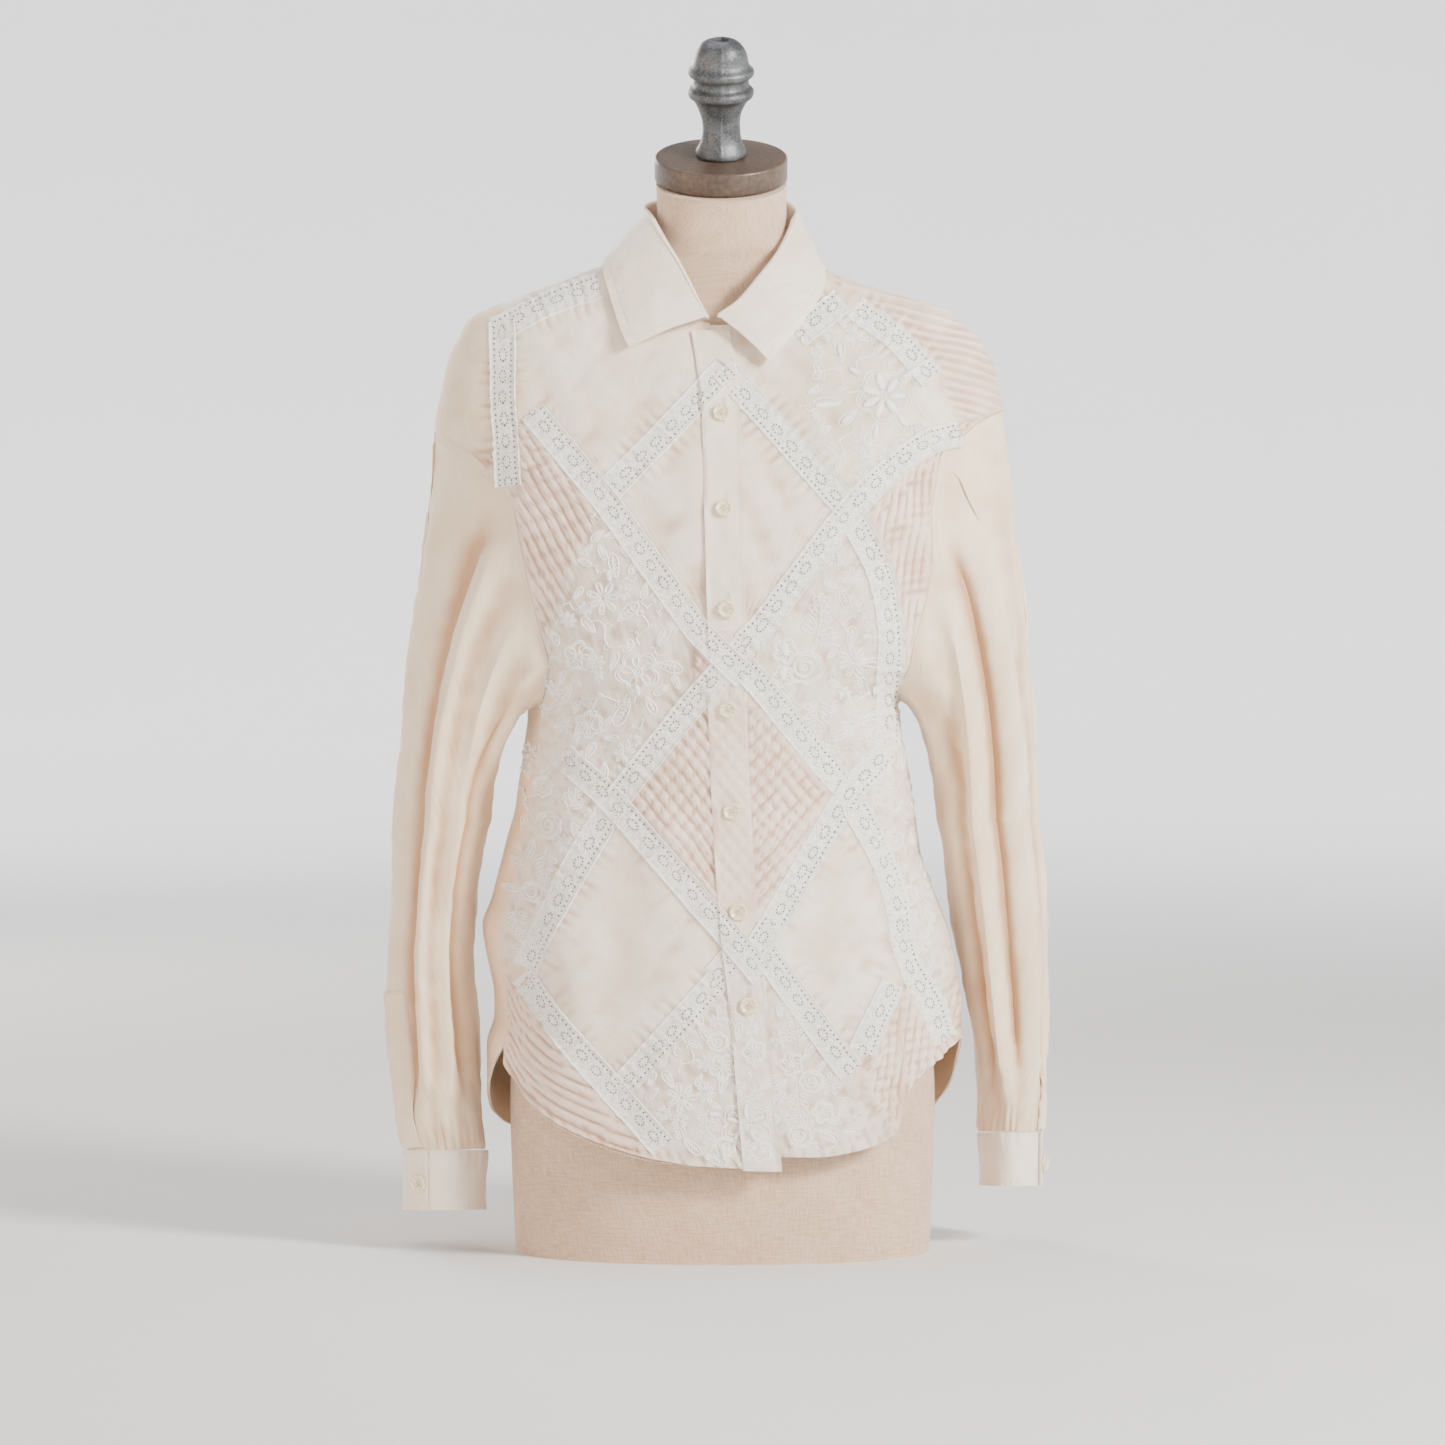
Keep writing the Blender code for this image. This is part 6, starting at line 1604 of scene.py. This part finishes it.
cuffs = {side: make_cuff(side, f"cuff_{name}_cloth") for side, name in SIDES}
for side, (made, size, outer, away) in cuffs.items():
    paths = stitch_paths(outer[2, 4:-4], away[2, 4:-4]) + stitch_paths(outer[-3, 4:-4], away[-3, 4:-4])
    paths += stitch_paths(outer[3:-3, -4], away[3:-3, -4])
    name = "cuff_right_stitches" if side == RIGHT else "cuff_left_stitches"
    threads_mesh(name, paths, 0.3, THREAD)
    print(made.name, "cut in metres:", [round(v, 3) for v in size], "stitches:", len(paths))

# %% [markdown]
# ## Sleeve plackets
# The slit above each cuff is covered by a tower band. Its inner edge was gathered in sewing, so little swells
# run across it, and its top is stitched down as a box.

# %% Make the sleeve plackets
Tower = namedtuple("Tower", "phi_foot phi_top top width")
TOWERS = {RIGHT: Tower(46, 34, 208, 22), LEFT: Tower(24, 20, 200, 20)}


def sleeve_skin(side, phi, z, lift=0.0):
    """Points and outward directions on a sleeve's outside below its first hanging ring."""
    z = np.asarray(z, float)
    first, last = SLEEVE_RINGS[side][0].z, SLEEVE_RINGS[side][-1].z + 0.5
    s = 1 + (first - z) / (first - last)
    round_ = sleeve_ring(side, phi + 1.5, z) - sleeve_ring(side, phi - 1.5, z)
    down = sleeve_ring(side, phi, z - 2) - sleeve_ring(side, phi, z + 2)
    out = unit(np.cross(down, round_)) * -side
    rise = sleeve_waves(side, phi, z, s) + sum(sleeve_relief(side, phi, z, s)) + lift
    return sleeve_ring(side, phi, z) + out * rise[..., None], out


def make_tower(side, name, rows=130, columns=18):
    row = TOWERS[side]
    foot = SLEEVE_RINGS[side][-1].z + 2.5
    share, across = np.broadcast_arrays(np.linspace(0, 1, rows + 1)[:, None], np.linspace(-1, 1, columns + 1)[None, :])
    z = foot + share * (row.top - foot)
    phi = row.phi_foot + (row.phi_top - row.phi_foot) * share
    turn = sleeve_ring(side, phi + 2, z) - sleeve_ring(side, phi - 2, z)
    phi = phi + across * row.width / 2 / (np.linalg.norm(turn, axis=-1) / 4)
    z = z + 0.6 * np.sin(across * 3)
    swells = 0.9 * np.abs(np.sin(z * math.pi / 12.5)) * ease((row.top - 22 - z) / 8) * ease((1.1 + across * side) / 1.2)
    rim = -0.5 * ease((np.abs(across) - 0.9) / 0.1)
    at, out = sleeve_skin(side, phi, z, 2.0 + swells + rim)
    uv = arc_uv(at)
    made = shell(name, at, at - out * 1.4, uv, [LAWN])
    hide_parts("sleeve_placket_right" if side == RIGHT else "sleeve_placket_left")
    lines = [(at[3:-3, 1], out[3:-3, 1]), (at[3:-3, -2], out[3:-3, -2]), (at[-3, 1:-1], out[-3, 1:-1]),
             (at[-22, 1:-1], out[-22, 1:-1])]
    paths = [path for line in lines for path in stitch_paths(*line)]
    return made, cut_size(uv), threads_mesh(f"{name}_stitches", paths, 0.3, THREAD)


towers = {side: make_tower(side, f"tower_band_{name}") for side, name in SIDES}
print("tower bands:", [[round(v, 3) for v in size] for _, size, _ in towers.values()])

# %% [markdown]
# ## Pearl buttons
# The buttons are river shell, 14 mm wide and 2.6 mm thick, with a raised rim, a dished middle and four holes.
# One is turned from a profile, the holes are cut with a boolean, and the rest share its mesh. Shell is layered,
# so its colour drifts in bands and its shine is strong but broken.

# %% Shell finish
pearl, tree, shader = new_finish("river_shell_button", {
    "Roughness": 0.24, "IOR": 1.53, "Coat Weight": 0.35, "Coat Roughness": 0.12,
    "Subsurface Weight": 0.15, "Subsurface Radius": (1.0, 0.8, 0.5), "Subsurface Scale": 0.002})
place = add(tree, "ShaderNodeTexCoord")
layers = add(tree, "ShaderNodeTexWave", {"Vector": place.outputs["Object"], "Scale": 90.0, "Distortion": 6.0,
                                         "Detail": 2.0})
shell_tone = add(tree, "ShaderNodeMix", {0: layers, 6: linear("#e3cf9f"), 7: linear("#f2e6c6")}, data_type="RGBA")
tree.links.new(shell_tone.outputs[2], shader.inputs["Base Color"])
finishes["pearl"] = pearl

# %% Turned shapes
def tube_faces(rows, around):
    """Quads round and up a closed grid, then its foot and its top."""
    r, k = np.meshgrid(np.arange(rows - 1), np.arange(around), indexing="ij")
    m = (k + 1) % around
    quads = np.stack([r * around + k, r * around + m, (r + 1) * around + m, (r + 1) * around + k], axis=-1)
    return [*quads.reshape(-1, 4).tolist(), list(range(around))[::-1], [(rows - 1) * around + n for n in range(around)]]


def turned(name, profile, around, finish, bend=None):
    """A solid turned round its own Z from (radius, height) rows, in millimetres; the ends close on the axis."""
    turns = np.linspace(0, 2 * math.pi, around, endpoint=False)
    rows = np.array(profile, float)
    radius = np.repeat(rows[:, :1], around, axis=1)
    if bend is not None:
        radius = radius + bend(turns[None, :], rows[:, 1:])
    points = np.stack((radius * np.cos(turns), radius * np.sin(turns), np.repeat(rows[:, 1:], around, axis=1)), axis=-1)
    return make_mesh(name, points.reshape(-1, 3), tube_faces(len(rows), around), [finish], sharp=40)


def cut_with(target, cutters):
    """Cut holes and bake the result into the target's mesh."""
    for cutter in cutters:
        tool = target.modifiers.new("cut", "BOOLEAN")
        tool.object, tool.operation = cutter, "DIFFERENCE"
    baked = bpy.data.meshes.new_from_object(target.evaluated_get(bpy.context.evaluated_depsgraph_get()))
    target.modifiers.clear()
    target.data = baked
    for cutter in cutters:
        bpy.data.objects.remove(cutter, do_unlink=True)


BUTTON_CURVE = [(5.2, 0.0), (6.3, 0.2), (6.9, 0.8), (7.0, 1.3), (6.8, 2.0), (6.3, 2.5), (5.8, 2.6), (5.2, 2.4),
                (4.6, 1.9), (3.6, 1.65), (2.0, 1.6), (0.4, 1.6)]
HOLE_AT, HOLE_RADIUS = 1.35, 0.75
first_button = turned("button_1_pearl", BUTTON_CURVE, 48, "pearl")
drills = []
for n in range(4):
    drill = turned(f"drill_{n}", [(HOLE_RADIUS, -1.0), (HOLE_RADIUS, 4.0)], 14, "pearl")
    a = math.radians(45 + 90 * n)
    drill.location = (HOLE_AT * 1.2 * math.cos(a) * MM, HOLE_AT * 1.2 * math.sin(a) * MM, 0)
    drills.append(drill)
bpy.context.view_layer.update()
cut_with(first_button, drills)
print("button faces:", len(first_button.data.polygons))

# %% Set the buttons
def facing(at, out, spin=0.0):
    """A placement with its Z along out, from points in millimetres."""
    out = Vector(out)
    return Matrix.Translation(Vector(at) * MM) @ out.to_track_quat("Z", "Y").to_matrix().to_4x4() @ Matrix.Rotation(
        math.radians(spin), 4, "Z")


def thread_bars(place_at):
    """Two bars of thread through the four holes."""
    bars = []
    for flip in (-1, 1):
        x = np.linspace(-1.6, 1.6, 6)
        y = np.full(6, flip * 1.15)
        height = 1.5 + 0.7 * (1 - (x / 1.6) ** 4)
        local = [place_at @ Vector((a * MM, b * MM, c * MM)) / MM for a, b, c in zip(x, y, height)]
        out = (place_at.to_3x3() @ Vector((0, 0, 1))).normalized()
        bars.append((np.array([tuple(p) for p in local]), np.tile(np.array(out), (6, 1))))
    return bars


BUTTON_LEVELS = [666, 592, 515, 437, 357, 279, 206]
BUTTON_SEAT, CUFF_BUTTON_TURN, CUFF_BUTTON_DROP = 2.7, 12.0, 0.56
button_places = []
for number, z in enumerate(BUTTON_LEVELS, 1):
    x = float(band_middle(np.array(float(z))))
    seat = BUTTON_SEAT + float(slow_waves(np.array(x), np.array(float(z))))
    at, out = front_point(x, float(z), seat), front_out(np.array(x), np.array(float(z)))
    button_places.append((f"button_{number}", facing(at, out, 17 * number)))
for side, name in SIDES:
    alongs = np.array([360 + CUFF_OVERLAP - CUFF_BUTTON_TURN])
    at, away = cuff_grid(side, np.array([CUFF_BUTTON_DROP]), alongs)
    button_places.append((f"cuff_button_{name}", facing(at[0] + away[0] * 0.6, away[0], 30)))
bars = []
for name, place_at in button_places:
    if name == "button_1":
        made = first_button
    else:
        made = bpy.data.objects.new(f"{name}_pearl", first_button.data)
        bpy.context.scene.collection.objects.link(made)
        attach(made, "root")
    made.matrix_world = place_at
    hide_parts(name)
    bars += thread_bars(place_at)
threads_mesh("button_threads", bars, 0.32, THREAD)
print("buttons:", len(button_places))

# %% Buttonholes, worked in close stitches beside the middle of each button
hole_paths = []
for z in BUTTON_LEVELS:
    x = float(band_middle(np.array(float(z)))) + 2.0
    loop = oval(x, z + 2.5, 1.3, 10.5, 36)
    hole_paths.append(on_front(loop[:, 0], loop[:, 1], 0.25))
buttonholes = threads_mesh("buttonhole_stitches", hole_paths, 0.5, THREAD)

# %% [markdown]
# ## Armhole stitches
# The shoulder seams and the armholes are sewn and topstitched, which shows as a fine dotted line beside each seam. Only
# the armholes get their stitches here. The seam itself is the edge between two shells, so only the stitches are added.

# %% Armhole stitches
for side, name in SIDES:
    phi = np.linspace(3, 357, 400)
    s = np.full(phi.shape, 0.035)
    at = sleeve_point(side, phi, s)
    ahead = sleeve_point(side, phi + 1, s) - sleeve_point(side, phi - 1, s)
    down = sleeve_point(side, phi, s + 0.02) - sleeve_point(side, phi, s - 0.02)
    out = unit(np.cross(down, ahead)) * -side
    paths = stitch_paths(at + out * 0.25, out)
    threads_mesh(f"armhole_{name}_stitches", paths, 0.3, THREAD)
    print("armhole stitches:", len(paths))

# %% [markdown]
# ## The dress form
# The form is a padded body covered with tan linen, sewn in long panels. Only its neck and its foot show. It is
# made again as a fine grid on the part's rings, drawn in a little more where the shirt lies on it.

# %% Linen finish
LINEN_THREAD = 1 / 1.4          # real linen thread is 0.5 mm; drawn coarser so that it shows
linen, tree, shader = new_finish("linen_tan_woven", {
    "Roughness": 0.88, "Sheen Weight": 0.3, "Sheen Roughness": 0.6, "Specular IOR Level": 0.25, "IOR": 1.5})
place = add(tree, "ShaderNodeUVMap", uv_map="cloth")
linen_weave = woven(tree, place, LINEN_THREAD, LINEN_THREAD / 9)
linen_slow = add(tree, "ShaderNodeTexNoise", {"Vector": place, "Scale": 1 / 40, "Detail": 3.0})
linen_sum = add(tree, "ShaderNodeMath", {0: linen_slow, 1: 0.5, 2: linen_weave}, operation="MULTIPLY_ADD")
linen_tone = add(tree, "ShaderNodeMapRange", {0: linen_sum, 1: 1.0, 2: 1.5, 3: 0.0, 4: 1.0})
linen_colour = add(tree, "ShaderNodeMix", {0: linen_tone, 6: linear("#c2a083"), 7: linear("#d8bc9f")}, data_type="RGBA")
linen_bump = add(tree, "ShaderNodeBump", {"Height": linen_weave, "Strength": 0.5, "Distance": 0.0005})
surface(tree, shader, linen_colour, linen_bump)
finishes["linen"] = linen

# %% Torso and neck
FORM = [
    Section(0, 166, 166, 104, 108), Section(120, 170, 170, 108, 114), Section(240, 158, 158, 99, 104),
    Section(372, 118, 118, 86, 80), Section(470, 131, 131, 104, 88), Section(562, 145, 145, 124, 96),
    Section(640, 160, 160, 104, 100), Section(700, 172, 172, 82, 94), Section(743, 172, 172, 62, 80),
    Section(762, 158, 158, 54, 70), Section(778, 108, 108, 51, 64), Section(790, 76, 76, 50, 58),
    Section(802, 58, 60, 50, 52), Section(818, 52, 51, 50, 49), Section(852, 53, 51, 53, 47),
]
FORM_EASE, FORM_NECK, FORM_TOP, CAP_HEIGHT, CAP_TILT, CAP_SEAT = 7.6, 795.0, 852, 19.5, 20.0, 0.4
CAP_CENTRE = Vector((-1.2, -5.0, 873.5))
PANEL_SEAMS = (32, 90, 148, 212, 270, 328)          # degrees round the form, with a soft groove at each


def form_radius(column, z):
    own = smooth(FORM, "z", column, z)
    ease_here = FORM_EASE * ease((FORM_NECK + 8 - z) / 16)
    ease_at_neck = FORM_EASE / 2
    free = np.maximum(z - FORM_NECK, 0) * 0.4
    limit = smooth(BODY, "z", column, np.minimum(z, FORM_NECK)) - np.where(z < FORM_NECK, ease_here, ease_at_neck)
    return np.minimum(own, limit + free)


def cap_plane(y, drop):
    slope = math.tan(math.radians(CAP_TILT))
    return CAP_CENTRE.z + slope * (y - CAP_CENTRE.y) - drop / math.cos(math.radians(CAP_TILT))


def make_torso(levels=130, around=120):
    half_rows = levels // 2
    z = np.concatenate((np.linspace(0, 700, half_rows, endpoint=False), np.linspace(700, FORM_TOP, half_rows)))
    z = z[:, None]
    degrees = np.linspace(0, 360, around, endpoint=False)[None, :]
    a = np.radians(degrees)
    half = np.where(a < math.pi, form_radius("left", z), form_radius("right", z))
    depth = np.where(np.cos(a) > 0, form_radius("front", z), form_radius("back", z))
    groove = np.ones(degrees.shape)
    for seam in PANEL_SEAMS:
        groove = groove - 0.006 * np.exp(-((degrees - seam) / 0.9) ** 2)
    groove = 1 + (groove - 1) * ease((740 - z) / 30)
    x = half * groove * np.sign(np.sin(a)) * np.abs(np.sin(a)) ** ROUNDNESS
    y = -depth * groove * np.sign(np.cos(a)) * np.abs(np.cos(a)) ** ROUNDNESS
    top = cap_plane(y, CAP_HEIGHT + CAP_SEAT)
    height = np.minimum(z, top) + (top - FORM_TOP) * ease((z - 815) / 37) * (z < top)
    height = np.where(z >= FORM_TOP, top, np.minimum(height, top - (FORM_TOP - z) * 0.2))
    grid = np.stack(np.broadcast_arrays(x, y, height), axis=-1)
    flat = arc_uv(np.concatenate((grid, grid[:, :1]), axis=1))
    uv = np.stack([flat[:-1, :-1], flat[:-1, 1:], flat[1:, 1:], flat[1:, :-1]], axis=2).reshape(-1, 2)
    cap_uv = np.concatenate([grid[0, ::-1, :2], grid[-1, :, :2]])
    made = make_mesh("torso_linen", grid.reshape(-1, 3), tube_faces(len(z), around), ["linen"],
                     uv=np.concatenate((uv, cap_uv)), sharp=40)
    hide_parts("form_torso")
    return made


torso = make_torso()
print("torso faces:", len(torso.data.polygons))

# %% [markdown]
# ## Neck cap and finial
# The cap is a turned wooden disc with a bronze-brown paint that has worn a little bright along its rim. The
# finial is sand-cast iron, blackened and rubbed: a domed nut over two flanges on a waisted foot, with a hole in
# its top and a parting line down its front from the two halves of the mould.

# %% Cap and finial finishes
cap_paint, tree, shader = new_finish("bronze_brown_paint", {
    "Roughness": 0.42, "IOR": 1.5, "Coat Weight": 0.12, "Coat Roughness": 0.3})
place = add(tree, "ShaderNodeTexCoord")
brushed = add(tree, "ShaderNodeTexNoise", {"Vector": place.outputs["Object"], "Scale": 260.0, "Detail": 4.0})
clouds = add(tree, "ShaderNodeTexNoise", {"Vector": place.outputs["Object"], "Scale": 28.0, "Detail": 3.0})
paint_mix = add(tree, "ShaderNodeMath", {0: clouds, 1: 0.75, 2: brushed}, operation="MULTIPLY_ADD")
paint_tone = add(tree, "ShaderNodeMapRange", {0: paint_mix, 1: 0.65, 2: 1.1, 3: 0.0, 4: 1.0})
paint_colour = add(tree, "ShaderNodeMix", {0: paint_tone, 6: linear("#3f3027"), 7: linear("#5d4a3a")}, data_type="RGBA")
paint_bump = add(tree, "ShaderNodeBump", {"Height": brushed, "Strength": 0.15, "Distance": 0.0004})
surface(tree, shader, paint_colour, paint_bump)
finishes["bronze_paint"] = cap_paint

iron, tree, shader = new_finish("cast_iron_rubbed", {"Metallic": 0.7, "Roughness": 0.5})
place = add(tree, "ShaderNodeTexCoord")
pits = add(tree, "ShaderNodeTexNoise", {"Vector": place.outputs["Object"], "Scale": 620.0, "Detail": 5.0})
patches = add(tree, "ShaderNodeTexNoise", {"Vector": place.outputs["Object"], "Scale": 75.0, "Detail": 4.0})
iron_mix = add(tree, "ShaderNodeMath", {0: patches, 1: 0.9, 2: pits}, operation="MULTIPLY_ADD")
iron_tone = add(tree, "ShaderNodeMapRange", {0: iron_mix, 1: 0.7, 2: 1.25, 3: 0.0, 4: 1.0})
iron_colour = add(tree, "ShaderNodeMix", {0: iron_tone, 6: linear("#434444"), 7: linear("#717375")}, data_type="RGBA")
iron_bump = add(tree, "ShaderNodeBump", {"Height": iron_mix, "Strength": 0.3, "Distance": 0.0006})
surface(tree, shader, iron_colour, iron_bump)
finishes["cast_iron"] = iron

# %% Turn the cap and the finial
CAP_CURVE = [(49.0, -19.5), (51.6, -19.1), (52.8, -18.0), (53.0, -16.5), (53.0, -2.4), (52.7, -1.0), (51.9, -0.2),
             (50.6, 0.0), (30.0, 0.15), (2.0, 0.2)]
FINIAL_CURVE = [
    (18.6, 0.4), (19.8, 1.0), (20.0, 3.5), (19.2, 6.5), (17.0, 11.0), (15.8, 15.5), (15.1, 20.0), (14.9, 26.0),
    (15.4, 31.0), (17.0, 37.0), (19.6, 43.0), (22.0, 46.8), (24.6, 48.6), (25.9, 50.6), (26.1, 53.4), (25.0, 55.6),
    (23.0, 57.2), (22.0, 59.2), (21.9, 62.0), (22.8, 64.2), (25.0, 65.8), (26.2, 68.2), (25.9, 71.0), (24.0, 73.0),
    (22.2, 75.4), (21.3, 79.0), (20.3, 84.0), (18.0, 89.0), (14.6, 92.8), (11.0, 94.8), (8.2, 95.5), (6.9, 95.3),
    (6.3, 94.4), (6.1, 86.0),
]


def cast_bend(turns, heights):
    """The parting line at the front and slow unevenness of the casting, in millimetres."""
    front = (np.degrees(turns) - 270 + 180) % 360 - 180
    line = 0.55 * np.exp(-(front / 3.0) ** 2)
    return line + 0.28 * np.sin(turns * 3 + heights / 9.0) + 0.18 * np.sin(turns * 5 - heights / 5.0)


def finer(curve, times=2):
    return between(np.array(curve, float), np.linspace(0, len(curve) - 1, (len(curve) - 1) * times + 1))


tilt = Matrix.Translation(CAP_CENTRE * MM) @ Matrix.Rotation(math.radians(CAP_TILT), 4, "X")
for name, node, curve, finish, bend in (("neck_cap", "form_cap", CAP_CURVE, "bronze_paint", None),
                                        ("iron_finial", "form_finial", finer(FINIAL_CURVE), "cast_iron", cast_bend)):
    made = turned(name, curve, 96, finish, bend)
    made.matrix_world = tilt
    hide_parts(node)
    print(name, "faces:", len(made.data.polygons))

# %% [markdown]
# ## What the cloth was cut from
# This cell only unpacks each side's front, sleeve and cuff with their flat cuts, which were measured from their arc
# lengths when each piece was made.


for side in (RIGHT, LEFT):
    made, size = fronts[side]
    made, size, _ = sleeves[side]
    made, size, _, _ = cuffs[side]

# %% Count
def triangles(made):
    return sum(len(face.vertices) - 2 for face in made.data.polygons)


counts = {made.name: triangles(made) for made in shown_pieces() if made.type == "MESH"}
print("triangles in all:", sum(counts.values()), "largest:", max(counts, key=counts.get), max(counts.values()))
